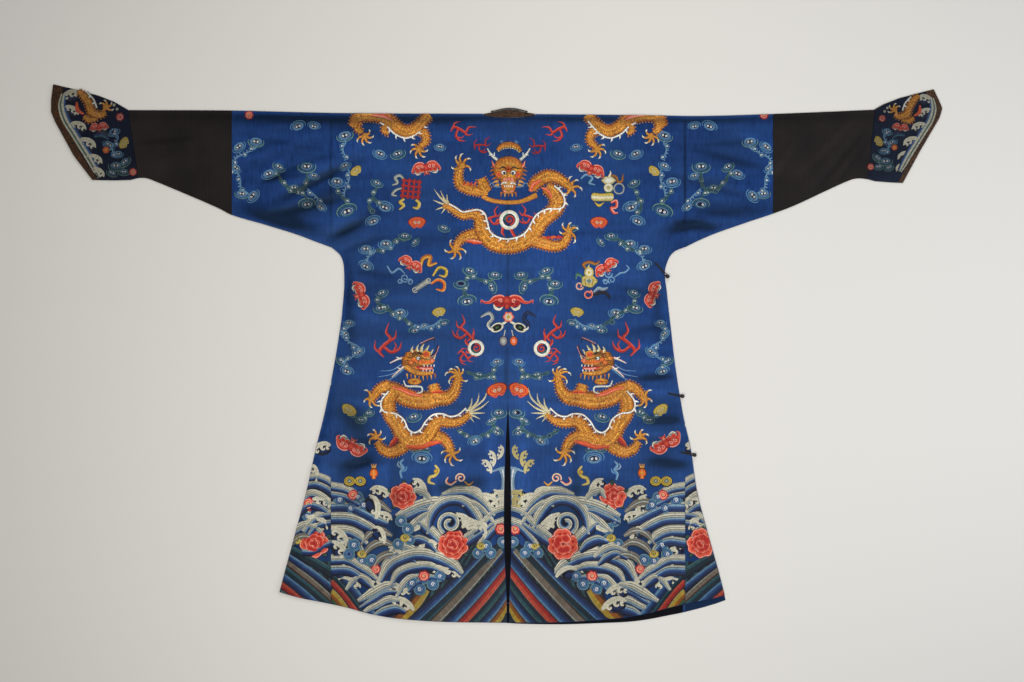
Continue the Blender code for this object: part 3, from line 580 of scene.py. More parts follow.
def cloth(name, columns, rows, surface, thickness=CLOTH, welded=False):
    """A cloth wall: a grid shaped by surface(u, v), with its thickness added inwards.

    surface gives (across, below, height, sunk) for a point of the outer face.
    """
    bpy.ops.object.select_all(action="DESELECT")
    bpy.ops.mesh.primitive_grid_add(x_subdivisions=columns, y_subdivisions=rows, size=2)
    obj = bpy.context.object
    obj.name = obj.data.name = name
    mesh = obj.data
    flat = np.empty(len(mesh.vertices) * 3)
    mesh.vertices.foreach_get("co", flat)
    flat = flat.reshape(-1, 3)
    spots = np.empty((len(flat), 3))
    on_back = np.zeros(len(flat), bool)
    sunk = np.zeros(len(flat))
    for i, (x, y, _) in enumerate(flat):
        across, below, height, down = surface((x + 1) / 2, (y + 1) / 2)
        on_back[i] = height is ON_BACK
        sunk[i] = down
        spots[i] = across, below, height or 0.0
    raised = RELIEF.at(spots[:, 0], spots[:, 1]) - sunk
    height = np.where(on_back, raised, spots[:, 2])
    placed = np.column_stack((spots[:, 0] - ORIGIN_ACROSS, ORIGIN_BELOW - spots[:, 1], height))
    mesh.vertices.foreach_set("co", placed.ravel())
    # The tone attribute: painted light and shade of the folds and creases, and the darker ground under
    # the waves
    tone = RELIEF.at(spots[:, 0], spots[:, 1], RELIEF.tone - RELIEF.ground)
    tone = np.where(on_back, tone, 0.0)
    mesh.attributes.new("tone", "FLOAT", "POINT").data.foreach_set("value", tone)
    mesh.update()
    if welded:
        bpy.ops.object.mode_set(mode="EDIT")
        bpy.ops.mesh.select_all(action="SELECT")
        bpy.ops.mesh.remove_doubles(threshold=0.00002)
        bpy.ops.object.mode_set(mode="OBJECT")
    bpy.ops.object.modifier_add(type="SOLIDIFY")
    solidify = obj.modifiers[-1]
    solidify.thickness = thickness
    solidify.offset = -1
    bpy.ops.object.modifier_apply(modifier=solidify.name)
    bpy.ops.object.shade_smooth_by_angle(angle=math.radians(50))
    return obj


NECK_TURNS = [90, 75, 60, 45, 30, 15]
BodyRow = namedtuple("BodyRow", "part at neck")
FINE = 0.006  # spacing of the visible cloth's grid
FOLD_TURNS = [90, 60, 30, 0, -30, -60, -90]
FRONT_ROWS = [0.12 + 0.012 * i for i in range(17)] + [0.3245, 0.328, 0.332, 0.337]
FRONT_ROWS += [0.342, 0.349, 0.358, 0.37, 0.385, 0.405, 0.43, 0.50, 0.60, 0.70, 0.85, 1.0]
FRONT_ROWS += [1.12, 1.226]


def body_rows():
    """Every row of a body panel, from the back hem over the shoulder to the front hem."""
    count = round((BODY_LENGTH - 0.3425) / FINE)
    rows = [BodyRow("back", at, 0.0) for at in spread(BODY_LENGTH, 0.3425, count)]
    rows += [BodyRow("back", 0.342 - i * 0.0025, 0.0) for i in range(1, 8)]
    rows += [BodyRow("back", at, 0.0) for at in spread(0.318, 0.012, 54)]
    for degrees in NECK_TURNS:
        turn = math.radians(degrees)
        rows.append(BodyRow("back", NECK_BACK_DROP * math.sin(turn), math.cos(turn)))
    rows += [BodyRow("fold", turn, 1.0) for turn in FOLD_TURNS]
    for degrees in reversed(NECK_TURNS):
        turn = math.radians(degrees)
        rows.append(BodyRow("front", NECK_FRONT_DROP * math.sin(turn), math.cos(turn)))
    rows += [BodyRow("front", at, 0.0) for at in FRONT_ROWS]
    return rows


def body_panel(side):
    """One loom width: back, shoulder and front in one piece."""
    sign = -1 if side == "left" else 1
    rows = body_rows()
    neck = NECK_LEFT if side == "left" else NECK_RIGHT
    flap = side == "right"

    def front_hem(across):
        return hem_at(across) - FLAP_SHORTER if flap else front_hem_at(across)

    def half_width(row, hem):
        if row.part == "fold" or row.at < SIDE_EDGE[0].below:
            return LOOM_EDGE - SEAM_GAP / 2
        return min(outer_edge(row.at, side, hem), LOOM_EDGE - SEAM_GAP / 2)

    def inner_edge(row):
        if row.part == "back" and row.at > VENT[0].below:
            return max(read(VENT, "below", side, row.at), SEAM_GAP / 2)
        if row.part == "front" and flap:
            return max(neck * row.neck, FLAP_EDGE)
        return max(neck * row.neck, SEAM_GAP / 2)

    reach = {}
    for i, row in enumerate(rows):
        hem = front_hem if row.part == "front" else hem_at
        reach[i] = (inner_edge(row), half_width(row, hem))

    def surface(u, v):
        i = round(v * (len(rows) - 1))
        row = rows[i]
        inner, outer = reach[i]
        share = 1 - u if side == "left" else u
        hem = front_hem if row.part == "front" else hem_at
        across = sign * (inner + (outer - inner) * share)
        fold_line = top_at(across) + FOLD_RADIUS
        if row.part == "fold":
            turn = math.radians(row.at)
            below = fold_line - FOLD_RADIUS * math.cos(turn)
            return across, below, FOLD_RADIUS * (1 + math.sin(turn)), 0
        below = row_below(row.at, across, hem) + fold_line * near_top(row.at)
        if row.part == "back":
            return across, below, ON_BACK, side_droop(across, below, side)
        lift = smoothstep((below - overlap_top(across) + FLAP_LIFTS) / 0.03)
        return across, below, LAYER * lift if flap else 0.0, 0

    return cloth(f"body_{side}_silk", round(LOOM_EDGE / FINE), len(rows) - 1, surface)


def front_overlap():
    """The outer right front, sewn to the left front at the centre."""
    rows = [0.0, 0.06, 0.12, 0.2, 0.3, 0.42, 0.55, 0.68, 0.79, 0.87, 0.92, 0.95, 0.97]
    rows += [0.985, 1.0]
    inner, seam = SEAM_GAP / 2, LOOM_EDGE - SEAM_GAP / 2

    def below_at(across, share):
        hem = front_hem_at(across)
        return hem + (overlap_top(across) - hem) * share

    def surface(u, v):
        share = rows[round(v * (len(rows) - 1))]
        outer = seam
        for _ in range(6):
            outer = min(side_edge(below_at(outer, share), "right"), seam)
        across = outer + (inner - outer) * u
        return across, below_at(across, share), 0.0, 0

    return cloth("front_overlap_silk", 24, len(rows) - 1, surface)


INSIDE_TONE = -0.85  # the dark inner side of a front gore


def gore(side, lies):
    """A triangle of silk that widens the skirt past the loom's edge."""
    sign = -1 if side == "left" else 1
    rows = 90 if lies == "back" else 12
    seam = LOOM_EDGE + SEAM_GAP / 2
    hem = hem_at if lies == "back" else front_hem_at
    crossing = next(
        below / 1000
        for below in range(500, 1000)
        if outer_edge(below / 1000, side, hem) > seam + 0.0015
    )

    def surface(u, v):
        out = 1 - u if side == "left" else u
        if lies == "front":
            out = 1 - out
        down = crossing + (BODY_LENGTH - crossing) * (1 - v)
        across = sign * (seam + (outer_edge(down, side, hem) - seam) * out)
        below = row_below(down, across, hem)
        if lies == "back":
            return across, below, ON_BACK, side_droop(across, below, side)
        return across, below, 0.0, 0

    obj = cloth(f"gore_{lies}_{side}_silk", 20 if lies == "back" else 4, rows, surface)
    if lies == "front":
        tone = obj.data.attributes["tone"].data
        for vertex, value in zip(obj.data.vertices, tone):
            value.value = INSIDE_TONE if vertex.co.z > CLOTH / 2 else 0.0
    return obj


UNDER_SHARES = [0.2, 0.4, 0.6, 0.8]
TUBE_TURNS = [-90, -60, -30, 0, 30, 60, 90]


def ring_stations(width):
    """A flattened tube's section: (share down its width, height) pairs."""
    turn = FOLD_RADIUS / width
    lower, upper = [], []
    for degrees in TUBE_TURNS:
        angle = math.radians(degrees)
        inset = turn * (1 - math.cos(angle))
        height = FOLD_RADIUS * (1 + math.sin(angle))
        lower.append((1 - inset, height))
        upper.insert(0, (inset, height))
    face = [(share, ON_BACK) for share in spread(1 - turn * 2, turn * 2, 44)]
    under = [(share, 0.0) for share in UNDER_SHARES]
    return lower + face + upper + under


def tube(name, stations, flat):
    """A tube laid flat; flat(station, down) gives a point of its plan."""
    ring_count = len(ring_stations(1.0))

    def surface(u, v):
        station = stations[round(u * (len(stations) - 1))]
        ring = ring_stations((flat(station, 0) - flat(station, 1)).length)
        down, height = ring[round(v * ring_count) % ring_count]
        point = flat(station, down)
        return point.x, point.y, height, 0

    return cloth(name, len(stations) - 1, ring_count, surface, welded=True)


def sleeve(name, side, start, end, count):
    """A length of sleeve, from across start to across end, or to the cuff."""
    sign = -1 if side == "left" else 1
    joint = CUFF[side]["joint"]

    def flat(station, down):
        slant = (joint[0][0] - joint[1][0]) * (1 - down) if end is None else 0.0
        last = joint[1][0] - SEAM_GAP if end is None else end
        across = start + (last - start + slant) * station
        top = top_at(sign * across)
        bottom = underside_at(min(across, joint[1][0]), side)
        return Vector((sign * across, top + (bottom - top) * down))

    shares = spread(0, 1, count)
    if sign < 0:
        shares.reverse()
    return tube(name, shares, flat)


def cuff_tube(name, side, start, end, count):
    sign = -1 if side == "left" else 1

    def flat(station, down):
        point = cuff_point(side, station, down)
        return Vector((sign * point.x, point.y))

    shares = spread(start, end, count)
    if sign < 0:
        shares.reverse()
    return tube(name, shares, flat)


# Neck band: its back stands above the shoulder line, and its front lies inside the robe
BAND_WIDTH = 0.021
BAND_TILT = 10
BAND_RISE = 0.0088
BAND_LEAN = 0.20
NECK_CLEAR = 0.0012
NECK_BACK_CLEAR = 0.0007
NECK_SHOULDER_TURNS = [45, 0, -45]
PIPING_RADIUS = 0.0015
NeckRow = namedtuple("NeckRow", "seam free height piping")


def neck_half(sign):
    return (NECK_RIGHT if sign > 0 else NECK_LEFT) - NECK_CLEAR


def shoulder_end(sign):
    """The free end of the fold where the band turns over a shoulder."""
    tilt = math.radians(BAND_TILT)
    across = neck_half(sign) - BAND_WIDTH * math.cos(tilt)
    return Vector((sign * across, top_at(0) + FOLD_RADIUS - BAND_WIDTH * math.sin(tilt)))


def piping_beside(across, below, bulge):
    return Vector((across, below)).normalized() * (PIPING_RADIUS + 3 * SEAM_GAP + bulge)


def back_free_edge(share):
    end = shoulder_end(math.copysign(1, share))
    arch = 1 - share * share
    return Vector((end.x * abs(share), end.y - BAND_RISE * arch * (1 + BAND_LEAN * share)))


def back_neck_row(degrees):
    turn = math.radians(degrees)
    share = 1 - degrees / 90
    ahead = back_free_edge(min(1, share + 0.05)) - back_free_edge(max(-1, share - 0.05))
    seam = Vector(
        (
            neck_half(math.cos(turn)) * math.cos(turn),
            top_at(0) + FOLD_RADIUS + NECK_BACK_DROP * math.sin(turn) - NECK_BACK_CLEAR,
        )
    )
    bulge = FOLD_RADIUS * max(0, 5 * abs(share) - 4)
    piping = piping_beside(ahead.y, -ahead.x, bulge)
    return NeckRow(seam, back_free_edge(share), REST_LEVEL, piping)


def front_neck_row(degrees):
    turn = math.radians(degrees)
    sign = math.copysign(1, math.cos(turn))
    half, drop = neck_half(sign), NECK_FRONT_DROP - NECK_CLEAR
    fold = (top_at(0) + FOLD_RADIUS) * near_top(NECK_FRONT_DROP * math.sin(turn))
    free = Vector(
        (
            (half - BAND_WIDTH) * math.cos(turn),
            fold + (drop - BAND_WIDTH) * math.sin(turn),
        )
    )
    if math.sin(turn) < 0.01:
        free = shoulder_end(sign)
    seam = Vector((half * math.cos(turn), fold + drop * math.sin(turn)))
    return NeckRow(seam, free, 0.0, piping_beside(-math.cos(turn), -math.sin(turn), 0))


def shoulder_row(sign, degrees):
    turn = math.radians(degrees)
    raised = FOLD_RADIUS * math.cos(turn)
    free = shoulder_end(sign)
    height = FOLD_RADIUS * (1 + math.sin(turn))
    seam = Vector((sign * neck_half(sign), top_at(0) + FOLD_RADIUS - raised))
    piping = piping_beside(-0.3 * sign, -1, 2 * SEAM_GAP)
    return NeckRow(seam, Vector((free.x, free.y - raised)), height, piping)


def neck_path():
    """Stations round the neck: the back from left to right, then the front to the left."""
    quarter = NECK_TURNS + [0]
    half_circle = [180 - degrees for degrees in reversed(quarter)] + quarter[1:]
    rows = [back_neck_row(degrees) for degrees in half_circle]
    rows += [shoulder_row(1, degrees) for degrees in NECK_SHOULDER_TURNS]
    rows += [front_neck_row(degrees) for degrees in reversed(half_circle)]
    rows += [shoulder_row(-1, degrees) for degrees in reversed(NECK_SHOULDER_TURNS)]
    return rows


BINDING_REACH = 0.0016  # under half the spacing of the band's rows


def mark_binding(mesh, rows):
    """Marks the band's free edge, where its black binding lies."""
    free = [(row.free.x - ORIGIN_ACROSS, ORIGIN_BELOW - row.free.y) for row in rows]
    marks = []
    for vertex in mesh.vertices:
        nearest = min(math.dist(vertex.co[:2], spot) for spot in free)
        marks.append(float(nearest < BINDING_REACH))
    mesh.attributes.new("binding", "FLOAT", "POINT").data.foreach_set("value", marks)


def neck_band():
    rows = neck_path()

    def surface(u, v):
        row = rows[round(u * len(rows)) % len(rows)]
        point = row.seam.lerp(row.free, v)
        return point.x, point.y, row.height, 0

    band = cloth("neck_band_brocade", len(rows), 6, surface, welded=True)
    mark_binding(band.data, rows)
    return band


HEM_LINING = 0.045
LINING = 0.0010


def lining_strip(name, across_1, across_2, columns, top, bottom):
    def surface(u, v):
        across = across_1 + (across_2 - across_1) * u
        below = bottom(across) + (top(across) - bottom(across)) * v
        return across, below, LAYER + LINING, 0

    return cloth(name, columns, 12, surface, thickness=LINING)


def lining_vent():
    return lining_strip(
        "lining_vent_silk",
        -FLAP_EDGE,
        FLAP_EDGE - 0.002,
        8,
        lambda across: VENT[0].below - 0.04,
        lambda across: hem_at(across) - HEM_LINING - 0.002,
    )


def lining_hem():
    return lining_strip(
        "lining_hem_silk",
        -0.40,
        0.42,
        80,
        lambda across: hem_at(across) - HEM_LINING,
        lambda across: front_hem_at(across) - 0.0005,
    )


def linear(red, green, blue):
    """A screen colour, 0 to 255, as the renderer's own light values."""

    def one(value):
        value /= 255
        return value / 12.92 if value <= 0.04045 else ((value + 0.055) / 1.055) ** 2.4

    return one(red), one(green), one(blue), 1.0


class Nodes:
    """A material's or group's nodes, built one at a time."""

    def __init__(self, tree):
        self.tree = tree

    def add(self, kind, values=None, **settings):
        node = self.tree.nodes.new(kind)
        for name, value in settings.items():
            setattr(node, name, value)
        for name, value in (values or {}).items():
            self.feed(node.inputs[name], value)
        return node

    def feed(self, socket, value):
        if isinstance(value, bpy.types.NodeSocket):
            self.tree.links.new(value, socket)
        else:
            socket.default_value = value

    def math(self, operation, a, b=0.0, clamp=False):
        return self.add("ShaderNodeMath", {0: a, 1: b}, operation=operation, use_clamp=clamp).outputs[0]

    def mix(self, share, a, b, blend="MIX"):
        node = self.add("ShaderNodeMix", data_type="RGBA", blend_type=blend)
        self.feed(node.inputs[0], share)
        self.feed(node.inputs[6], a)
        self.feed(node.inputs[7], b)
        return node.outputs[2]

    def span(self, value, low, high, to_low=0.0, to_high=1.0):
        """A value carried from one range to another, and kept inside it."""
        values = {"Value": value, "From Min": low, "From Max": high}
        values.update({"To Min": to_low, "To Max": to_high})
        return self.add("ShaderNodeMapRange", values).outputs[0]

    def noise(self, vector, scale, detail=3.0, roughness=0.5):
        values = {"Vector": vector, "Scale": scale, "Detail": detail, "Roughness": roughness}
        return self.add("ShaderNodeTexNoise", values).outputs[0]

    def stretch(self, vector, x, y, z):
        values = {"Vector": vector, "Scale": (x, y, z)}
        return self.add("ShaderNodeMapping", values).outputs[0]

    def use(self, group, values):
        node = self.tree.nodes.new("ShaderNodeGroup")
        node.node_tree = group
        for name, value in values.items():
            self.feed(node.inputs[name], value)
        return node.outputs


SOCKETS = {"value": "NodeSocketFloat", "vector": "NodeSocketVector", "colour": "NodeSocketColor"}


def new_group(name, takes, gives):
    """An empty node group: its nodes, what it takes, and where its results go."""
    group = bpy.data.node_groups.new(name, "ShaderNodeTree")
    for label, kind in takes:
        group.interface.new_socket(label, in_out="INPUT", socket_type=SOCKETS[kind])
    for label, kind in gives:
        group.interface.new_socket(label, in_out="OUTPUT", socket_type=SOCKETS[kind])
    nodes = Nodes(group)
    return group, nodes, nodes.add("NodeGroupInput").outputs, nodes.add("NodeGroupOutput").inputs


def streak_group():
    """Fine uneven lines along one way of the cloth, as warp threads catch the light."""
    group, n, take, give = new_group(
        "Streaks",
        [("Vector", "vector"), ("Fineness", "value"), ("Length", "value")],
        [("Fine", "value"), ("Broad", "value")],
    )
    split = n.add("ShaderNodeSeparateXYZ", {"Vector": take["Vector"]}).outputs
    long = n.math("DIVIDE", 1.0, take["Length"])
    for label, share in (("Fine", 1.0), ("Broad", 0.16)):
        x = n.math("MULTIPLY", n.math("MULTIPLY", split["X"], take["Fineness"]), share)
        y = n.math("MULTIPLY", split["Y"], long)
        vector = n.add("ShaderNodeCombineXYZ", {"X": x, "Y": y, "Z": 0.0}).outputs[0]
        n.feed(give[label], n.noise(vector, 1.0, 2.0, 0.6))
    return group


def weave_group():
    """The height of crossing threads."""
    group, n, take, give = new_group(
        "Weave", [("Vector", "vector"), ("Pitch", "value")], [("Height", "value")]
    )
    split = n.add("ShaderNodeSeparateXYZ", {"Vector": take["Vector"]}).outputs
    rate = n.math("DIVIDE", math.tau, take["Pitch"])
    warp = n.math("SINE", n.math("MULTIPLY", split["X"], rate))
    weft = n.math("SINE", n.math("MULTIPLY", split["Y"], rate))
    total = n.math("ADD", warp, n.math("MULTIPLY", weft, 0.6))
    n.feed(give["Height"], n.span(total, -1.6, 1.6))
    return group


def age_group():
    """Soft patches where cloth is faded, rubbed or dusty."""
    group, n, take, give = new_group(
        "Age", [("Vector", "vector"), ("Size", "value")], [("Patches", "value"), ("Rubbed", "value")]
    )
    scale = n.math("DIVIDE", 1.0, take["Size"])
    patches = n.noise(take["Vector"], scale, 4.0, 0.55)
    n.feed(give["Patches"], n.span(patches, 0.35, 0.68))
    fine = n.noise(take["Vector"], n.math("MULTIPLY", scale, 14.0), 3.0, 0.6)
    both = n.math("MULTIPLY", n.span(fine, 0.5, 0.72), n.span(patches, 0.42, 0.6))
    n.feed(give["Rubbed"], both)
    return group


def stitch_group():
    """Stitches across a stroke: their height and how light each thread is."""
    group, n, take, give = new_group(
        "Stitches",
        [("Vector", "vector"), ("Pitch", "value"), ("Slant", "value")],
        [("Height", "value"), ("Shade", "value")],
    )
    split = n.add("ShaderNodeSeparateXYZ", {"Vector": take["Vector"]}).outputs
    along = n.math("ADD", split["X"], n.math("MULTIPLY", split["Y"], take["Slant"]))
    count = n.math("DIVIDE", along, take["Pitch"])
    wobble = n.noise(n.stretch(take["Vector"], 260, 90, 1), 1.0, 2.0)
    count = n.math("ADD", count, n.math("MULTIPLY", wobble, 1.4))
    ridge = n.math("ABSOLUTE", n.math("SINE", n.math("MULTIPLY", count, math.pi)))
    n.feed(give["Height"], n.math("POWER", ridge, 0.6))
    thread = n.math("FLOOR", count)
    grain = n.add("ShaderNodeTexWhiteNoise", {"W": thread}, noise_dimensions="1D").outputs["Value"]
    n.feed(give["Shade"], grain)
    return group


SHARED = {}


def share_groups():
    SHARED["streaks"] = streak_group()
    SHARED["weave"] = weave_group()
    SHARED["age"] = age_group()
    SHARED["stitches"] = stitch_group()
    SHARED["scales"] = scale_group()


def new_material(name):
    material = bpy.data.materials.new(name)
    material.use_nodes = True
    n = Nodes(material.node_tree)
    shader = material.node_tree.nodes["Principled BSDF"]
    return material, n, shader


def object_vector(n):
    return n.add("ShaderNodeTexCoord").outputs["Object"]


def bump(n, shader, height, distance, strength=1.0):
    values = {"Height": height, "Distance": distance, "Strength": strength}
    n.feed(shader.inputs["Normal"], n.add("ShaderNodeBump", values).outputs[0])


def satin(name, deep, bright, faded, gloss):
    """Silk satin: uneven warp lines, soft faded patches, and painted light and shade along its folds and
    creases.
    """
    material, n, shader = new_material(name)
    vector = object_vector(n)
    streaks = n.use(SHARED["streaks"], {"Vector": vector, "Fineness": 1100.0, "Length": 0.03})
    weave = n.use(SHARED["weave"], {"Vector": vector, "Pitch": 0.0011})
    age = n.use(SHARED["age"], {"Vector": vector, "Size": 0.16})
    share = n.math(
        "ADD", n.math("MULTIPLY", streaks["Fine"], 0.45), n.math("MULTIPLY", streaks["Broad"], 0.55)
    )
    share = n.span(share, 0.34, 0.66)
    colour = n.mix(share, deep, bright)
    colour = n.mix(n.math("MULTIPLY", age["Patches"], 0.45), colour, faded)
    # Painted light and shade of the folds, from the tone attribute
    tone = n.add("ShaderNodeAttribute", attribute_name="tone").outputs["Fac"]
    lit = n.span(tone, -1.0, 1.0, 0.10, 1.90)
    # Painted light and shade of fine creases, from a stretched noise
    creases = n.noise(n.stretch(vector, 3.2, 30, 1), 1.0, 4.0, 0.55)
    lit = n.math("MULTIPLY", lit, n.span(creases, 0.32, 0.68, 0.78, 1.20))
    n.feed(shader.inputs["Base Color"], n.mix(1.0, colour, lit, "MULTIPLY"))
    n.feed(shader.inputs["Roughness"], n.span(streaks["Fine"], 0.3, 0.7, 0.38, 0.52))
    shader.inputs["Specular Tint"].default_value = gloss
    shader.inputs["Specular IOR Level"].default_value = 0.5
    height = n.math("ADD", n.math("MULTIPLY", weave["Height"], 0.35), streaks["Fine"])
    bump(n, shader, height, 0.00022, 0.7)
    return material


def ribbed_silk(name, ground, rib, pitch):
    """Dark silk with raised ribs that run round the arm."""
    material, n, shader = new_material(name)
    vector = object_vector(n)
    split = n.add("ShaderNodeSeparateXYZ", {"Vector": vector}).outputs
    wander = n.noise(n.stretch(vector, 9, 3, 1), 1.0, 2.0)
    across = n.math("ADD", n.math("DIVIDE", split["X"], pitch), n.math("MULTIPLY", wander, 1.8))
    wave = n.math("SINE", n.math("MULTIPLY", across, math.tau))
    ridge = n.span(wave, -1.0, 1.0)
    age = n.use(SHARED["age"], {"Vector": vector, "Size": 0.10})
    weave = n.use(SHARED["weave"], {"Vector": vector, "Pitch": 0.0009})
    colour = n.mix(n.math("MULTIPLY", n.math("POWER", ridge, 2.0), 0.85), ground, rib)
    colour = n.mix(n.math("MULTIPLY", age["Patches"], 0.35), colour, linear(42, 35, 33))
    # Painted light and shade of the folds, from the tone attribute
    tone = n.add("ShaderNodeAttribute", attribute_name="tone").outputs["Fac"]
    n.feed(shader.inputs["Base Color"], n.mix(1.0, colour, n.span(tone, -1.0, 1.0, 0.2, 1.8), "MULTIPLY"))
    n.feed(shader.inputs["Roughness"], n.span(age["Rubbed"], 0.0, 1.0, 0.7, 0.6))
    shader.inputs["Specular IOR Level"].default_value = 0.12
    height = n.math("ADD", ridge, n.math("MULTIPLY", weave["Height"], 0.12))
    bump(n, shader, height, 0.0003, 0.6)
    return material


BINDING_BLACK = (9, 8, 8)


def brocade(name, ground, gold):
    """Brown brocade with a small close gold figure."""
    material, n, shader = new_material(name)
    vector = object_vector(n)
    cells = n.add("ShaderNodeTexVoronoi", {"Vector": vector, "Scale": 165.0}, feature="F1")
    edge = n.add("ShaderNodeTexVoronoi", {"Vector": vector, "Scale": 165.0}, feature="DISTANCE_TO_EDGE")
    figure = n.span(edge.outputs["Distance"], 0.07, 0.16)
    dots = n.span(cells.outputs["Distance"], 0.30, 0.18)
    share = n.math("MAXIMUM", n.math("SUBTRACT", 1.0, figure), dots)
    weave = n.use(SHARED["weave"], {"Vector": vector, "Pitch": 0.0010})
    age = n.use(SHARED["age"], {"Vector": vector, "Size": 0.05})
    share = n.math("MULTIPLY", share, n.span(age["Patches"], 0.0, 1.0, 0.5, 0.9))
    bound = n.add("ShaderNodeAttribute", attribute_name="binding").outputs["Fac"]
    bound = n.span(bound, 0.26, 0.42)
    n.feed(shader.inputs["Base Color"], n.mix(bound, n.mix(share, ground, gold), linear(*BINDING_BLACK)))
    n.feed(shader.inputs["Roughness"], n.span(share, 0.0, 1.0, 0.6, 0.42))
    metal = n.math("MULTIPLY", share, n.math("SUBTRACT", 0.35, n.math("MULTIPLY", bound, 0.35)))
    n.feed(shader.inputs["Metallic"], metal)
    shader.inputs["Specular IOR Level"].default_value = 0.25
    height = n.math("ADD", share, n.math("MULTIPLY", weave["Height"], 0.3))
    bump(n, shader, height, 0.0003, 0.8)
    return material


def plain_silk(name, deep, light):
    """The lining: a plain weave, barely shiny."""
    material, n, shader = new_material(name)
    vector = object_vector(n)
    age = n.use(SHARED["age"], {"Vector": vector, "Size": 0.08})
    weave = n.use(SHARED["weave"], {"Vector": vector, "Pitch": 0.0008})
    n.feed(shader.inputs["Base Color"], n.mix(age["Patches"], deep, light))
    n.feed(shader.inputs["Roughness"], n.span(age["Rubbed"], 0.0, 1.0, 0.75, 0.6))
    shader.inputs["Specular IOR Level"].default_value = 0.08
    bump(n, shader, weave["Height"], 0.00012, 0.6)
    return material


def corded(name, deep, light):
    """Black silk cord, its strands laid aslant."""
    material, n, shader = new_material(name)
    vector = object_vector(n)
    split = n.add("ShaderNodeSeparateXYZ", {"Vector": vector}).outputs
    slant = n.math("ADD", split["X"], n.math("ADD", split["Y"], n.math("MULTIPLY", split["Z"], 0.7)))
    strand = n.math("ABSOLUTE", n.math("SINE", n.math("MULTIPLY", slant, 2600.0)))
    fuzz = n.noise(vector, 900.0, 3.0)
    n.feed(shader.inputs["Base Color"], n.mix(n.math("MULTIPLY", strand, fuzz), deep, light))
    n.feed(shader.inputs["Roughness"], n.span(fuzz, 0.3, 0.7, 0.55, 0.8))
    bump(n, shader, strand, 0.00025, 0.9)
    return material


def silk_thread(name, pitch, slant, shine):
    """Silk floss: stitches side by side, each a little lighter or darker."""
    material, n, shader = new_material(name)
    tint = n.add("ShaderNodeVertexColor", layer_name="tint").outputs["Color"]
    lie = n.add("ShaderNodeUVMap", uv_map="stitches").outputs[0]
    stitches = n.use(SHARED["stitches"], {"Vector": lie, "Pitch": pitch, "Slant": slant})
    age = n.use(SHARED["age"], {"Vector": object_vector(n), "Size": 0.09})
    shade = n.span(stitches["Shade"], 0.0, 1.0, 0.80, 1.14)
    # Painted shade between the stitches, darker where they lie low
    shade = n.math("MULTIPLY", shade, n.span(stitches["Height"], 0.0, 1.0, 0.72, 1.05))
    shade = n.math("MULTIPLY", shade, n.span(age["Patches"], 0.0, 1.0, 1.05, 0.88))
    n.feed(shader.inputs["Base Color"], n.mix(1.0, tint, shade, "MULTIPLY"))
    n.feed(shader.inputs["Roughness"], n.span(age["Rubbed"], 0.0, 1.0, shine, shine + 0.25))
    shader.inputs["Sheen Weight"].default_value = 0.04
    shader.inputs["Specular IOR Level"].default_value = 0.25
    bump(n, shader, stitches["Height"], 0.00035, 0.9)
    return material


def scale_group():
    """Overlapping scales along a body: the line round each one, and its domed height."""
    group, n, take, give = new_group(
        "Scales", [("Vector", "vector"), ("Size", "value")], [("Rim", "value"), ("Height", "value")]
    )
    split = n.add("ShaderNodeSeparateXYZ", {"Vector": take["Vector"]}).outputs
    row = n.math("DIVIDE", split["X"], take["Size"])
    shift = n.math("MULTIPLY", n.math("MODULO", n.math("FLOOR", row), 2.0), 0.5)
    column = n.math("ADD", n.math("DIVIDE", split["Y"], take["Size"]), shift)
    x = n.math("SUBTRACT", n.math("FRACT", n.math("ADD", column, 100.0)), 0.5)
    y = n.math("FRACT", row)
    reach = n.math("SQRT", n.math("ADD", n.math("MULTIPLY", x, x), n.math("MULTIPLY", y, y)))
    n.feed(give["Rim"], n.span(n.math("ABSOLUTE", n.math("SUBTRACT", reach, 0.52)), 0.14, 0.05))
    n.feed(give["Height"], n.span(reach, 0.9, 0.0))
    return group


def gold_thread(name, scale):
    """Gold-wrapped thread laid in pairs and sewn down, with scales marked in brown."""
    material, n, shader = new_material(name)
    tint = n.add("ShaderNodeVertexColor", layer_name="tint").outputs["Color"]
    lie = n.add("ShaderNodeUVMap", uv_map="stitches").outputs[0]
    scales = n.use(SHARED["scales"], {"Vector": lie, "Size": scale})
    stitches = n.use(SHARED["stitches"], {"Vector": lie, "Pitch": 0.0009, "Slant": 2.2})
    age = n.use(SHARED["age"], {"Vector": object_vector(n), "Size": 0.035})
    speckle = n.noise(object_vector(n), 420.0, 3.0, 0.7)
    # Painted shade between the stitches, darker where they lie low
    shade = n.span(stitches["Height"], 0.0, 1.0, 0.70, 1.08)
    shade = n.math("MULTIPLY", shade, n.span(speckle, 0.3, 0.7, 0.55, 1.45))
    shade = n.math("MULTIPLY", shade, n.span(scales["Rim"], 0.0, 1.0, 1.10, 0.55))
    colour = n.mix(1.0, tint, shade, "MULTIPLY")
    worn = n.mix(n.math("MULTIPLY", age["Rubbed"], 0.5), colour, linear(196, 98, 40))
    n.feed(shader.inputs["Base Color"], worn)
    n.feed(shader.inputs["Metallic"], n.span(age["Rubbed"], 0.0, 1.0, 0.35, 0.1))
    n.feed(shader.inputs["Roughness"], n.span(speckle, 0.3, 0.7, 0.38, 0.55))
    height = n.math("ADD", scales["Height"], n.math("MULTIPLY", stitches["Height"], 0.4))
    bump(n, shader, height, 0.0006, 0.9)
    return material


def dress(obj, material, *nodes, slot_name=None):
    """A finished piece's material, body and CAD nodes; slot_name is not used."""
    obj.data.materials.clear()
    obj.data.materials.append(material)
    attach(obj, BODY)
    if nodes:
        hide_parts(*nodes)
    return obj


# The flat size of what shows of each cut piece, all round on a tube, and its area
CutRow = namedtuple("CutRow", "node flat area lies_on")


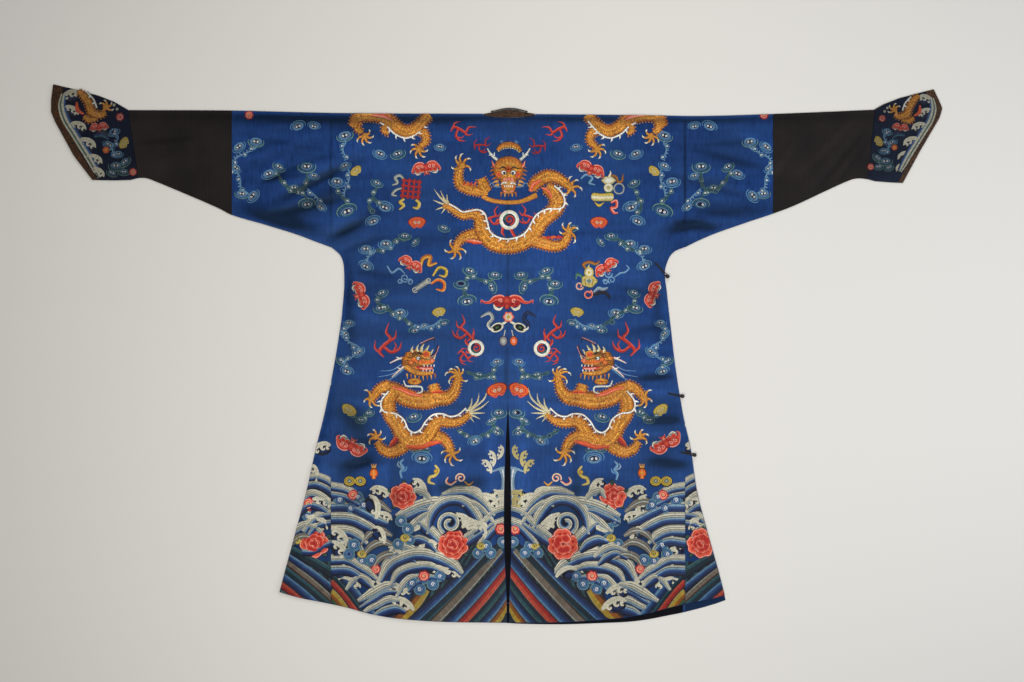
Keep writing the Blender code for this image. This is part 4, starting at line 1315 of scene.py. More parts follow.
def make_cloth():
    """Every cloth piece, by the CAD node it stands for."""
    blue = satin(
        "blue_satin", linear(11, 30, 74), linear(23, 54, 110), linear(35, 63, 109), (0.15, 0.30, 0.62, 1)
    )
    dark = ribbed_silk("ribbed_dark_silk", linear(17, 15, 15), linear(30, 26, 25), 0.0052)
    navy = satin(
        "navy_satin", linear(7, 9, 16), linear(14, 18, 32), linear(20, 22, 30), (0.2, 0.25, 0.4, 1)
    )
    border = brocade("brown_brocade", linear(11, 7, 4), linear(82, 50, 23))
    lining = plain_silk("black_lining", linear(5, 5, 9), linear(11, 12, 19))
    made = {}

    def keep(node, obj, material, slot_name):
        made[node] = dress(obj, material, node, slot_name=slot_name)

    joint = LOOM_EDGE + SEAM_GAP / 2
    for side in ("left", "right"):
        end = UPPER_SLEEVE_END[side]
        keep(f"body_{side}", body_panel(side), blue, "blue_silk")
        for lies in ("back", "front"):
            keep(f"gore_{lies}_{side}", gore(side, lies), blue, "blue_silk")
        upper = sleeve(f"sleeve_upper_{side}_silk", side, joint, end - SEAM_GAP / 2, 44)
        keep(f"sleeve_upper_{side}", upper, blue, "blue_silk")
        lower = sleeve(f"sleeve_lower_{side}_silk", side, end + SEAM_GAP / 2, None, 44)
        keep(f"sleeve_lower_{side}", lower, dark, "dark_silk")
        cuff = cuff_tube(f"cuff_{side}_silk", side, CUFF_SEAM, CUFF_BORDER_FROM, 30)
        keep(f"cuff_{side}", cuff, navy, "cuff_silk")
        start = CUFF_BORDER_FROM + CUFF_SEAM
        edge = cuff_tube(f"cuff_border_{side}_brocade", side, start, 1.0, 6)
        keep(f"cuff_border_{side}", edge, border, "brocade")
    keep("front_overlap", front_overlap(), blue, "blue_silk")
    keep("neck_band", neck_band(), border, "brocade")
    keep("lining_vent", lining_vent(), lining, "lining_silk")
    keep("lining_hem", lining_hem(), lining, "lining_silk")
    return made


def make_cords():
    """The piping, loops and buttons keep their CAD shape, with a corded finish."""
    black = corded("black_cord_silk", linear(10, 9, 9), linear(44, 38, 34))
    for node in ("neck_piping", "loop_1", "loop_2", "loop_3", "button_1", "button_2", "button_3"):
        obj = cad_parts[node]
        obj.data.materials.clear()
        obj.data.materials.append(black)


# Needlework. Motifs stand on the embroiderer's grid, or on a grid of their own that a
# Spot lays on the cloth.
COLOURS = {
    "cream": (212, 206, 182),
    "bone": (174, 172, 154),
    "white": (228, 230, 222),
    "line": (54, 72, 84),
    "pale": (126, 154, 174),
    "sky": (88, 138, 180),
    "cloud": (78, 124, 158),
    "mid": (40, 78, 134),
    "deep": (20, 42, 90),
    "navy": (9, 14, 38),
    "teal": (38, 86, 98),
    "dark_teal": (15, 42, 56),
    "sage": (88, 122, 112),
    "green": (52, 92, 58),
    "gold": (188, 119, 34),
    "amber": (204, 146, 56),
    "ochre": (160, 90, 22),
    "brown": (84, 44, 16),
    "orange": (212, 92, 36),
    "coral": (206, 80, 56),
    "red": (176, 38, 32),
    "wine": (118, 22, 28),
    "pink": (234, 150, 130),
    "yellow": (196, 162, 54),
    "straw": (186, 170, 104),
    "olive": (104, 98, 42),
    "grey": (126, 134, 140),
    "beige": (128, 114, 100),
    "soot": (22, 20, 24),
}
TINTS = {name: np.array(linear(*colour)[:3]) for name, colour in COLOURS.items()}
DICE = np.random.default_rng(20)

Spot = namedtuple("Spot", "across below size turn flip", defaults=(0, 0, 1.0, 0.0, 1))
HALVES = (Spot(flip=-1), Spot(flip=1))  # the left half of the robe mirrors the right


def smooth_line(points, step, closed=False):
    """A smooth line through points: its places, and the point that each one is near."""
    p = np.asarray(points, float)
    if closed:
        p = np.vstack((p[-1:], p, p[:2]))
    else:
        p = np.vstack((2 * p[:1] - p[1:2], p, 2 * p[-1:] - p[-2:-1]))
    places, marks = [], []
    for i in range(1, len(p) - 2):
        a, b, c, d = p[i - 1 : i + 3]
        count = max(2, int(np.hypot(*(c - b)) / step) + 1)
        t = np.linspace(0, 1, count, endpoint=False)[:, None]
        cubic = -a + 3 * b - 3 * c + d
        places.append(0.5 * (2 * b + (c - a) * t + (2 * a - 5 * b + 4 * c - d) * t**2 + cubic * t**3))
        marks.append(i - 1 + t[:, 0])
    if not closed:
        places.append(p[-2:-1])
        marks.append(np.array([len(points) - 1.0]))
    return np.vstack(places), np.concatenate(marks)


class Edges:
    """Where needlework stops: the outline, the gore seams and the vent."""

    MARGIN = 0.0010

    def __init__(self):
        self.across = np.linspace(-0.92, 0.92, 921)
        self.top = np.array([top_at(a) for a in self.across])
        self.hem = np.array([hem_at(a) for a in self.across])
        self.below = np.linspace(0.345, 1.24, 448)
        self.side = {s: [side_edge(b, s) for b in self.below] for s in ("left", "right")}
        self.vent = {s: [read(VENT, "below", s, b) for b in self.below] for s in ("left", "right")}

    def keep(self, across, below, region):
        """Moves places that are past the edge of a region back to it."""
        if region == "cuff":
            return across, below
        low = np.interp(across, self.across, self.top) + self.MARGIN
        high = np.interp(across, self.across, self.hem) - self.MARGIN
        below = np.clip(below, low, high)
        side = "left" if np.mean(across) < 0 else "right"
        out = np.abs(across)
        reach = np.interp(below, self.below, self.side[side]) - self.MARGIN
        if region == "top":
            sleeve_end = UPPER_SLEEVE_END[side] - self.MARGIN
            reach = np.where(below < 0.335, sleeve_end, np.maximum(reach, 0.0))
            return np.minimum(out, reach) * np.sign(across), below
        if region == "gore":
            out = np.clip(out, LOOM_EDGE + 0.4 * self.MARGIN, np.maximum(reach, LOOM_EDGE + self.MARGIN))
        else:
            vent = np.interp(below, self.below, self.vent[side]) + 0.7 * self.MARGIN
            out = np.clip(out * np.sign(across) * (-1 if side == "left" else 1), vent, None)
            out = np.minimum(out, np.minimum(reach, LOOM_EDGE - 0.4 * self.MARGIN))
        return out * (-1 if side == "left" else 1), below


EDGES = Edges()


TONE_ON_STITCHES = 0.55  # how far the folds' light and shade reach the thread
STRIPE_LIGHT = 0.53
WAVE_LIGHT = 0.78
CUFF_LIGHT = 0.44


class Needlework:
    """Stitched strokes and patches, gathered into one mesh."""

    RAISED = 0.00036  # the lowest stitches above the cloth
    NEXT = 0.000012  # each stroke lies on those before it

    def __init__(self, name, region="top"):
        self.name, self.region = name, region
        self.places, self.faces, self.tints, self.lies = [], [], [], []
        self.vertex_count = 0
        self.stroke_count = 0
        self.light = 1.0  # how light this thread lies beside the others

    def sheet(self, spot, flat, lift, lie, tints, wrap=False, cap=False):
        """A grid of stitches: flat places, lifts in mm, stitch coordinates, a tint per face."""
        turn = math.radians(spot.turn)
        x, y = flat[..., 0] * spot.flip, flat[..., 1]
        across = (x * math.cos(turn) - y * math.sin(turn)) * spot.size + spot.across
        below = (x * math.sin(turn) + y * math.cos(turn)) * spot.size + spot.below
        across, below = across * GRID, below * GRID
        kept_a, kept_b = EDGES.keep(across, below, self.region)
        moved = np.hypot(kept_a - across, kept_b - below) > 1e-6
        height = RELIEF.at(kept_a, kept_b) + self.RAISED + lift / 1000
        height = height + (self.stroke_count % 60) * self.NEXT
        # Painted light and shade of the folds, baked into the stitches' tints
        tone = RELIEF.at(kept_a, kept_b, RELIEF.tone)
        lit = 1 + TONE_ON_STITCHES * (tone[:-1, :-1] + tone[1:, 1:]) / 2
        self.stroke_count += 1
        rows, columns = across.shape
        index = np.arange(rows * columns).reshape(rows, columns)
        if wrap:
            index = np.column_stack((index, index[:, :1]))
            moved = np.column_stack((moved, moved[:, :1]))
        quads = np.stack((index[:-1, :-1], index[:-1, 1:], index[1:, 1:], index[1:, :-1]), -1)
        gone = moved[:-1, :-1] & moved[:-1, 1:] & moved[1:, 1:] & moved[1:, :-1]
        if wrap:
            lit = 1 + TONE_ON_STITCHES * (tone[:-1] + tone[1:]) / 2
        tints = np.clip(tints * lit[..., None] * self.light, 0, 1)
        quads, tints = quads[~gone], tints[~gone]
        if not len(quads):
            return
        px, py = kept_a.ravel(), -kept_b.ravel()
        q = quads
        area = (px[q[:, 2]] - px[q[:, 0]]) * (py[q[:, 3]] - py[q[:, 1]])
        area -= (px[q[:, 3]] - px[q[:, 1]]) * (py[q[:, 2]] - py[q[:, 0]])
        turned = area.sum() < 0
        faces = [tuple(face) for face in (quads[:, ::-1] if turned else quads) + self.vertex_count]
        shades = list(tints)
        if cap and not moved.any():
            ring = [int(i) + self.vertex_count for i in index[-1, : columns]]
            faces.append(tuple(ring[::-1] if not turned else ring))
            shades.append(tints[-1])
        self.faces += faces
        self.tints += shades
        places = np.stack((kept_a - ORIGIN_ACROSS, ORIGIN_BELOW - kept_b, height), -1)
        self.places.append(places.reshape(-1, 3))
        self.lies.append((lie * spot.size * GRID).reshape(-1, 2))
        self.vertex_count += rows * columns

    def stroke(self, spot, points, width, tints, lift=0.0, crown=0.35, step=1.0, closed=False, vary=0.08):
        """A run of stitches along a smooth line; its tints go across it."""
        line, marks = smooth_line(points, step, closed)
        if closed:
            line, marks = np.vstack((line, line[:1])), np.append(marks, marks[-1])
        ahead = np.gradient(line, axis=0)
        ahead /= np.maximum(np.hypot(ahead[:, 0], ahead[:, 1]), 1e-9)[:, None]
        aside = np.column_stack((ahead[:, 1], -ahead[:, 0]))
        widths = np.interp(marks, np.arange(np.size(width)), np.atleast_1d(width))
        if np.size(width) == 1:
            widths = np.full(len(line), float(width))
        if closed:
            widths[-1] = widths[0]
        bands = [(tints, 1), (tints, 1)] if isinstance(tints, str) else tints
        weights = np.array([band[1] for band in bands], float)
        v = np.concatenate(([0], np.cumsum(weights))) / weights.sum() * 2 - 1
        flat = line[:, None] + aside[:, None] * (widths[:, None] / 2 * v)[..., None]
        run = np.concatenate(([0], np.cumsum(np.hypot(*np.diff(line, axis=0).T))))
        lie = np.stack(np.broadcast_arrays(run[:, None], widths[:, None] / 2 * v), -1)
        height = lift + crown * (1 - v**2) * np.minimum(widths[:, None] / 4, 1)
        colour = np.array([TINTS[band[0]] for band in bands])[None]
        shade = 1 + vary * DICE.standard_normal((len(line) - 1, len(bands), 1))
        self.sheet(spot, flat, height, lie, np.clip(colour * shade, 0, 1))

    def patch(
        self, spot, at, radius, tints, lift=0.0, crown=0.4, squash=1.0, turn=0.0, lobes=0, depth=0.0,
        vary=0.08, segments=22,
    ):
        """A round of stitches; its tints go from the rim inwards, and it may have lobes."""
        bands = [(tints, 1), (tints, 1)] if isinstance(tints, str) else tints
        weights = np.array([band[1] for band in bands], float)
        share = 1 - np.concatenate(([0], np.cumsum(weights))) / weights.sum() * 0.94
        angle = np.arange(segments) / segments * math.tau
        edge = 1 + depth * np.cos(lobes * angle)
        reach = radius * share[:, None] * (1 + (edge - 1) * share[:, None])
        lean = math.radians(turn)
        x, y = reach * np.cos(angle), reach * np.sin(angle) * squash
        flat = np.stack(
            (x * math.cos(lean) - y * math.sin(lean), x * math.sin(lean) + y * math.cos(lean)), -1
        )
        flat = flat + np.array(at, float)
        lie = np.stack((radius * angle + 0 * reach, reach), -1)
        height = lift + crown * (1 - share[:, None] ** 2) + 0 * reach
        colour = np.array([TINTS[band[0]] for band in bands])[:, None]
        shade = 1 + vary * DICE.standard_normal((len(bands), segments, 1))
        self.sheet(spot, flat, height, lie, np.clip(colour * shade, 0, 1), wrap=True, cap=True)

    def spiral(self, spot, at, outer, inner, turns, width, tints, start=0.0, squash=1.0, **look):
        """A curl that winds inwards."""
        count = max(6, int(abs(turns) * 10))
        points = []
        for i in range(count + 1):
            share = i / count
            angle = math.radians(start) + turns * math.tau * share
            reach = outer + (inner - outer) * share
            points.append((at[0] + reach * math.cos(angle), at[1] + reach * math.sin(angle) * squash))
        self.stroke(spot, points, width, tints, step=max(0.4, outer / 5), **look)

    def make(self, material, slot_name=None):
        mesh = bpy.data.meshes.new(self.name)
        mesh.from_pydata(np.vstack(self.places).tolist(), [], self.faces)
        sizes = np.empty(len(mesh.polygons), np.int32)
        mesh.polygons.foreach_get("loop_total", sizes)
        corners = np.empty(len(mesh.loops), np.int32)
        mesh.loops.foreach_get("vertex_index", corners)
        tint = mesh.color_attributes.new("tint", "FLOAT_COLOR", "CORNER")
        colours = np.repeat(
            np.column_stack((np.array(self.tints), np.ones(len(self.tints)))), sizes, axis=0
        )
        tint.data.foreach_set("color", colours.ravel())
        lie = mesh.uv_layers.new(name="stitches")
        lie.data.foreach_set("uv", np.vstack(self.lies)[corners].ravel())
        mesh.shade_smooth()
        obj = bpy.data.objects.new(self.name, mesh)
        bpy.context.scene.collection.objects.link(obj)
        return dress(obj, material, slot_name=slot_name)


# Waves. Their table runs outwards from the centre seam; the crest is on the right of the
# way that a row's points run, so rows that run inwards have it above.
BANDS = {
    "full": [
        ("bone", 0.8), ("line", 0.5), ("cream", 1.5), ("line", 0.5), ("cream", 1.4), ("line", 0.5),
        ("bone", 1.2), ("line", 0.4), ("pale", 1.3), ("mid", 1.4), ("deep", 1.8), ("navy", 1.8),
    ],
    "lined": [
        ("line", 0.5), ("cream", 1.4), ("line", 0.5), ("cream", 1.3), ("line", 0.5), ("bone", 1.3),
        ("line", 0.4), ("pale", 1.2), ("deep", 1.2),
    ],
    "deep": [
        ("line", 0.5), ("bone", 1.1), ("line", 0.4), ("pale", 1.1), ("mid", 1.2), ("deep", 1.8),
        ("navy", 1.8),
    ],
    "dull": [
        ("line", 0.6), ("beige", 1.4), ("line", 0.6), ("bone", 1.3), ("line", 0.6), ("beige", 1.4),
        ("dark_teal", 1.2),
    ],
}
WaveRow = namedtuple("WaveRow", "region bands width points")
WAVES = [
    WaveRow("skirt", "deep", 10, [(181, 383), (164, 386), (152, 392), (138, 398)]),
    WaveRow("skirt", "full", 10, [(181, 374), (164, 377), (155, 382), (147, 389)]),
    WaveRow("skirt", "dull", 9, [(150, 396), (138, 390), (128, 392), (117, 400)]),
    WaveRow("skirt", "deep", 14, [(181, 396), (160, 396), (146, 401), (132, 408), (120, 412)]),
    WaveRow("skirt", "full", 16, [(181, 405), (158, 406), (143, 412), (129, 421)]),
    WaveRow("skirt", "full", 13, [(181, 419), (162, 419), (150, 424), (141, 432)]),
    WaveRow("skirt", "deep", 12, [(181, 432), (160, 430), (150, 437), (144, 446)]),
    WaveRow("skirt", "dull", 9, [(147, 432), (137, 421), (126, 419), (116, 424)]),
    WaveRow("skirt", "dull", 9, [(146, 445), (136, 434), (124, 430), (112, 436)]),
    WaveRow("skirt", "dull", 9, [(136, 458), (128, 446), (116, 442), (106, 447)]),
    WaveRow("skirt", "lined", 9, [(119, 439), (106, 434), (96, 437), (86, 445)]),
    WaveRow("skirt", "deep", 9, [(120, 447), (108, 442), (98, 446), (90, 453)]),
    WaveRow("skirt", "lined", 11, [(112, 404), (98, 397), (86, 392), (72, 389), (60, 390)]),
    WaveRow("skirt", "deep", 10, [(112, 411), (98, 405), (86, 400), (76, 399)]),
    WaveRow("skirt", "lined", 9, [(98, 386), (92, 379), (84, 381), (76, 389)]),
    WaveRow("skirt", "full", 12, [(66, 383), (52, 380), (38, 381), (25, 390), (14, 404)]),
    WaveRow("skirt", "lined", 9, [(46, 394), (34, 391), (24, 398), (14, 411)]),
    WaveRow("skirt", "full", 12, [(30, 436), (22, 424), (12, 414), (1, 410)]),
    WaveRow("skirt", "lined", 8, [(27, 414), (18, 402), (8, 397), (0, 396)]),
    WaveRow("skirt", "deep", 10, [(48, 436), (36, 428), (24, 420), (14, 412)]),
    WaveRow("skirt", "lined", 8, [(48, 428), (36, 420), (26, 412), (17, 404)]),
    WaveRow("skirt", "full", 13, [(92, 408), (82, 416), (72, 425), (64, 434)]),
    WaveRow("skirt", "lined", 9, [(104, 420), (94, 412), (86, 404), (77, 399)]),
    WaveRow("skirt", "deep", 12, [(100, 430), (90, 428), (80, 432), (72, 440)]),
    WaveRow(
        "skirt", "full", 13, [(80, 422), (78, 404), (69, 392), (55, 387), (42, 391), (32, 403), (26, 416)]
    ),
    WaveRow("skirt", "full", 11, [(181, 448), (162, 448), (150, 454), (139, 461), (131, 468)]),
    WaveRow("skirt", "deep", 12, [(181, 459), (160, 459), (148, 466), (138, 474)]),
    WaveRow("skirt", "lined", 9, [(162, 478), (152, 466), (142, 466), (134, 476)]),
    WaveRow("skirt", "lined", 11, [(150, 489), (136, 481), (123, 474), (111, 472)]),
    WaveRow("skirt", "deep", 9, [(148, 496), (134, 488), (122, 481), (110, 480)]),
    WaveRow("skirt", "lined", 10, [(144, 500), (132, 493), (120, 487), (108, 488)]),
    WaveRow("skirt", "deep", 12, [(136, 506), (124, 500), (112, 497), (102, 500)]),
    WaveRow(
        "skirt", "full", 15,
        [(128, 470), (119, 454), (106, 446), (90, 442), (72, 445), (56, 453), (46, 462)],
    ),
    WaveRow("skirt", "full", 11, [(117, 474), (109, 461), (95, 455), (78, 454), (64, 460)]),
    WaveRow("skirt", "lined", 8, [(112, 486), (106, 474), (98, 466), (88, 463)]),
    WaveRow("skirt", "deep", 9, [(100, 480), (92, 472), (78, 466), (64, 468)]),
    WaveRow("gore", "full", 9, [(202, 366), (190, 365), (180, 369), (172, 376)]),
    WaveRow("gore", "deep", 9, [(206, 376), (194, 373), (184, 376), (172, 384)]),
    WaveRow("gore", "lined", 8, [(208, 388), (198, 381), (188, 383), (178, 391)]),
    WaveRow("gore", "deep", 9, [(210, 402), (200, 394), (190, 395), (180, 402)]),
    WaveRow("gore", "full", 10, [(204, 420), (197, 410), (187, 403), (172, 401)]),
    WaveRow("gore", "deep", 9, [(200, 428), (194, 418), (186, 413), (172, 411)]),
    WaveRow("gore", "lined", 9, [(216, 420), (204, 413), (194, 414), (186, 420)]),
    WaveRow("gore", "dull", 8, [(218, 432), (208, 425), (198, 425), (190, 430)]),
    WaveRow("gore", "deep", 8, [(206, 440), (194, 440), (184, 434), (172, 430)]),
]

# Foam: cream crests whose fingers curl over a dark hollow
FoamRow = namedtuple("FoamRow", "region out down turn size flip")
FOAM = [
    FoamRow("skirt", 134, 394, -35, 1.25, 1),
    FoamRow("skirt", 127, 380, 20, 1.15, 1),
    FoamRow("skirt", 124, 404, -60, 0.9, -1),
    FoamRow("skirt", 88, 376, -20, 1.2, 1),
    FoamRow("skirt", 22, 388, -55, 1.35, -1),
    FoamRow("skirt", 36, 380, -50, 1.1, -1),
    FoamRow("skirt", 92, 412, -100, 1.15, 1),
    FoamRow("skirt", 80, 434, -20, 1.15, -1),
    FoamRow("skirt", 42, 412, -50, 1.35, -1),
    FoamRow("skirt", 26, 416, -30, 1.1, 1),
    FoamRow("skirt", 169, 424, -90, 1.25, -1),
    FoamRow("skirt", 168, 438, -95, 1.15, -1),
    FoamRow("skirt", 128, 422, -20, 1.0, 1),
    FoamRow("skirt", 168, 454, -95, 1.25, -1),
    FoamRow("skirt", 158, 470, -60, 1.2, -1),
    FoamRow("skirt", 134, 470, 10, 1.2, 1),
    FoamRow("skirt", 110, 478, 30, 1.2, 1),
    FoamRow("skirt", 106, 492, 20, 1.3, 1),
    FoamRow("skirt", 58, 460, 20, 1.1, 1),
    FoamRow("skirt", 68, 458, 30, 1.0, 1),
    FoamRow("skirt", 112, 440, 0, 0.9, 1),
    FoamRow("gore", 187, 336, -20, 1.1, -1),
    FoamRow("gore", 194, 360, -30, 0.9, 1),
    FoamRow("gore", 184, 390, -60, 1.15, -1),
    FoamRow("gore", 190, 410, -70, 1.2, -1),
    FoamRow("gore", 202, 398, -40, 0.9, 1),
]


def foam(work, spot, cream="cream", hollow=True):
    """A crest of foam, 14 squares long, with hooked fingers over a dark hollow."""
    if hollow:
        work.patch(
            spot, (3.4, 1.4), 6.6, [("navy", 1), ("deep", 1)], lift=0.02, crown=0.03, squash=0.62,
            turn=-38,
        )
    crest = [(-7.0, 7.5), (-5.2, 2.4), (-1.8, -2.4), (3.0, -5.4), (8.4, -5.2)]
    bands = [("line", 0.5), (cream, 2.0), ("bone", 0.4), (cream, 2.0)]
    work.stroke(spot, crest, [2.4, 4.6, 5.0, 4.0, 1.2], bands, lift=0.15, step=0.9)
    line, _ = smooth_line(crest, 0.4)
    for share, length in ((0.22, 1.1), (0.54, 1.3), (0.88, 1.05)):
        i = int(share * (len(line) - 1))
        ahead = (line[i + 1] - line[i]) / np.hypot(*(line[i + 1] - line[i]))
        inward = np.array((-ahead[1], ahead[0])) * length
        forward = ahead * length
        root = line[i] + inward * 1.0
        curl = [root, root + inward * 1.9 - forward * 0.4, root + inward * 2.9 + forward * 0.4]
        curl += [root + inward * 2.7 + forward * 1.5, root + inward * 1.9 + forward * 1.6]
        work.stroke(spot, curl, [3.0, 2.2, 1.7, 1.3, 0.6], cream, lift=0.22, crown=0.2, step=0.6)


def swirl(work, spot):
    """A round cloud curl of fine rings, 6.6 squares across its radius."""
    rings = [
        ("navy", 0.5), ("pale", 0.45), ("teal", 1.0), ("sky", 0.45), ("deep", 1.0), ("pale", 0.45),
        ("mid", 0.9), ("deep", 1.0),
    ]
    work.patch(spot, (0, 0), 6.6, rings, lift=0.25, crown=0.5, segments=28)
    work.spiral(spot, (0, 0), 1.9, 0.3, 1.3, 0.6, "white", start=200, lift=0.8, crown=0.2)


def rosette(work, spot, dark="red", light="coral", heart="straw"):
    """A small coral curl."""
    rings = [("wine", 0.6), (dark, 1.0), ("pink", 0.6), (light, 1.2), (dark, 0.8), (heart, 0.8)]
    work.patch(spot, (0, 0), 5.0, rings, lift=0.4, crown=0.6, lobes=7, depth=0.08, segments=28)
    work.spiral(spot, (0, 0), 3.0, 0.5, 1.3, 0.7, "pink", start=30, lift=1.0, crown=0.2)


def peony(work, spot):
    """A full peony, 15 squares to its petals' tips."""
    for i in range(5):
        leaf = math.radians(50 + i * 72)
        tip = (14.5 * math.cos(leaf), 14.5 * math.sin(leaf))
        green = [("navy", 1), ("green", 1), ("dark_teal", 1)]
        work.patch(spot, tip, 3.6, green, lift=0.1, squash=0.6, turn=math.degrees(leaf))
    rings = (
        (
            8, 9.6, 5.4, 1.16,
            [("wine", 0.45), ("pink", 0.6), ("coral", 1.2), ("coral", 0.8), ("red", 0.9)],
        ),
        (6, 5.6, 4.9, 1.2, [("wine", 0.5), ("pink", 0.5), ("coral", 1.0), ("red", 0.9), ("red", 0.9)]),
        (4, 2.6, 3.6, 1.1, [("wine", 0.6), ("pink", 0.5), ("coral", 0.9), ("red", 1.2)]),
    )
    for ring, (count, reach, size, wide, bands) in enumerate(rings):
        for i in range(count):
            angle = (i + 0.5 * ring) / count * math.tau + 0.22 * math.sin(3 * i + ring)
            at = (reach * math.cos(angle), reach * math.sin(angle))
            look = {
                "squash": wide, "turn": math.degrees(angle), "lobes": 5, "depth": 0.06, "segments": 26
            }
            work.patch(spot, at, size, bands, lift=0.35 + 0.2 * ring, crown=0.5, vary=0.12, **look)
    work.patch(
        spot, (0.4, 0.2), 1.7, [("wine", 1), ("red", 1), ("wine", 0.6)], lift=1.1, crown=0.2, lobes=3,
        depth=0.2,
    )
    for i in range(3):
        angle = i / 3 * math.tau + 0.4
        arc = [
            (r * math.cos(angle + t), r * math.sin(angle + t)) for r,
            t in ((2.8, 0), (3.3, 0.5), (2.8, 1.1))
        ]
        work.stroke(spot, arc, [0.3, 0.9, 0.3], "pink", lift=1.3, crown=0.1, step=0.8)


MotifRow = namedtuple("MotifRow", "kind region out down size turn")
IN_WAVES = [
    MotifRow("swirl", "skirt", 168, 388, 1.05, 0),
    MotifRow("swirl", "skirt", 157, 396, 1.0, 60),
    MotifRow("swirl", "skirt", 144, 393, 1.05, 20),
    MotifRow("swirl", "skirt", 150, 385, 0.9, 0),
    MotifRow("rosette", "skirt", 155, 383, 1.1, 0),
    MotifRow("double", "skirt", 153, 369, 1.0, 0),
    MotifRow("pillar", "skirt", 134, 361, 1.0, 0),
    MotifRow("peony", "skirt", 105, 384, 0.92, 0),
    MotifRow("swirl", "skirt", 107, 409, 0.95, 0),
    MotifRow("swirl", "skirt", 100, 417, 0.95, 90),
    MotifRow("swirl", "skirt", 110, 432, 0.9, 30),
    MotifRow("swirl", "skirt", 98, 428, 0.8, 0),
    MotifRow("shell", "skirt", 103, 426, 1.1, 0),
    MotifRow("swirl", "skirt", 154, 433, 1.05, 0),
    MotifRow("swirl", "skirt", 159, 442, 0.95, 50),
    MotifRow("swirl", "skirt", 136, 448, 1.0, 0),
    MotifRow("swirl", "skirt", 146, 449, 0.9, 20),
    MotifRow("shell", "skirt", 146, 442, 1.1, -10),
    MotifRow("rosette", "skirt", 132, 457, 1.0, 40),
    MotifRow("peony", "skirt", 55, 432, 1.08, 20),
    MotifRow("swirl", "skirt", 96, 471, 1.05, 0),
    MotifRow("swirl", "skirt", 75, 472, 1.0, 0),
    MotifRow("swirl", "skirt", 88, 477, 1.0, 60),
    MotifRow("swirl", "skirt", 84, 466, 1.0, 20),
    MotifRow("swirl", "skirt", 68, 464, 0.9, 0),
    MotifRow("rosette", "skirt", 84, 464, 1.15, 0),
    MotifRow("swirl", "skirt", 22, 434, 0.95, 0),
    MotifRow("swirl", "skirt", 30, 441, 0.9, 60),
    MotifRow("swirl", "skirt", 17, 441, 0.9, 0),
    MotifRow("swirl", "skirt", 5, 430, 0.9, 0),
    MotifRow("shell", "skirt", 27, 434, 1.0, 0),
    MotifRow("rosette", "skirt", 7, 417, 1.2, 0),
    MotifRow("swirl", "gore", 201, 404, 0.8, 0),
    MotifRow("rosette", "gore", 200, 392, 1.5, 0),
    MotifRow("shell", "gore", 211, 428, 1.2, 20),
    MotifRow("peony", "gore", 193.5, 431, 1.02, 10),
]


def shell(work, spot):
    """A yellow curl like a shell."""
    work.patch(
        spot, (0, 0), 4.6,
        [("olive", 0.7), ("yellow", 1.4), ("straw", 1.2), ("olive", 0.6), ("yellow", 1)], lift=0.5,
        crown=0.6, squash=0.8,
    )
    work.spiral(spot, (0, -0.4), 2.4, 0.4, 1.2, 0.7, "olive", start=180, lift=1.1, crown=0.1)


def double_lobe(work, spot):
    """Two yellow lobes side by side, ringed in black."""
    for x in (-5.4, 5.4):
        work.patch(
            spot, (x, 0), 6.0,
            [("soot", 0.6), ("yellow", 1.2), ("olive", 0.8), ("yellow", 1), ("teal", 1.2), ("bone", 0.8)],
            lift=0.4, crown=0.4, squash=0.85,
        )
        work.stroke(spot, [(x - 5.6, 3.4), (x, 5.4), (x + 5.6, 3.4)], 1.2, "soot", lift=0.6)


def pillar(work, spot):
    """An orange baluster with a flame, above the waves."""
    work.patch(spot, (0, 0), 4.6, [("brown", 0.7), ("orange", 1.4), ("amber", 1.2)], lift=0.4, squash=1.1)
    work.stroke(
        spot, [(0, 5.6), (0, -5.5)], [5.0, 2.6],
        [("brown", 0.6), ("orange", 1), ("amber", 1), ("orange", 1), ("brown", 0.6)], lift=0.5,
    )
    work.stroke(spot, [(-3.0, -4.6), (3.0, -4.6)], 1.3, "brown", lift=0.9)
    for lean in (-2.4, 0, 2.4):
        work.stroke(spot, [(lean * 0.5, -5.4), (lean, -9.4)], [1.6, 0.5], "amber", lift=0.9)


KINDS = {
    "swirl": swirl,
    "rosette": rosette,
    "peony": peony,
    "shell": shell,
    "double": double_lobe,
    "pillar": pillar,
}

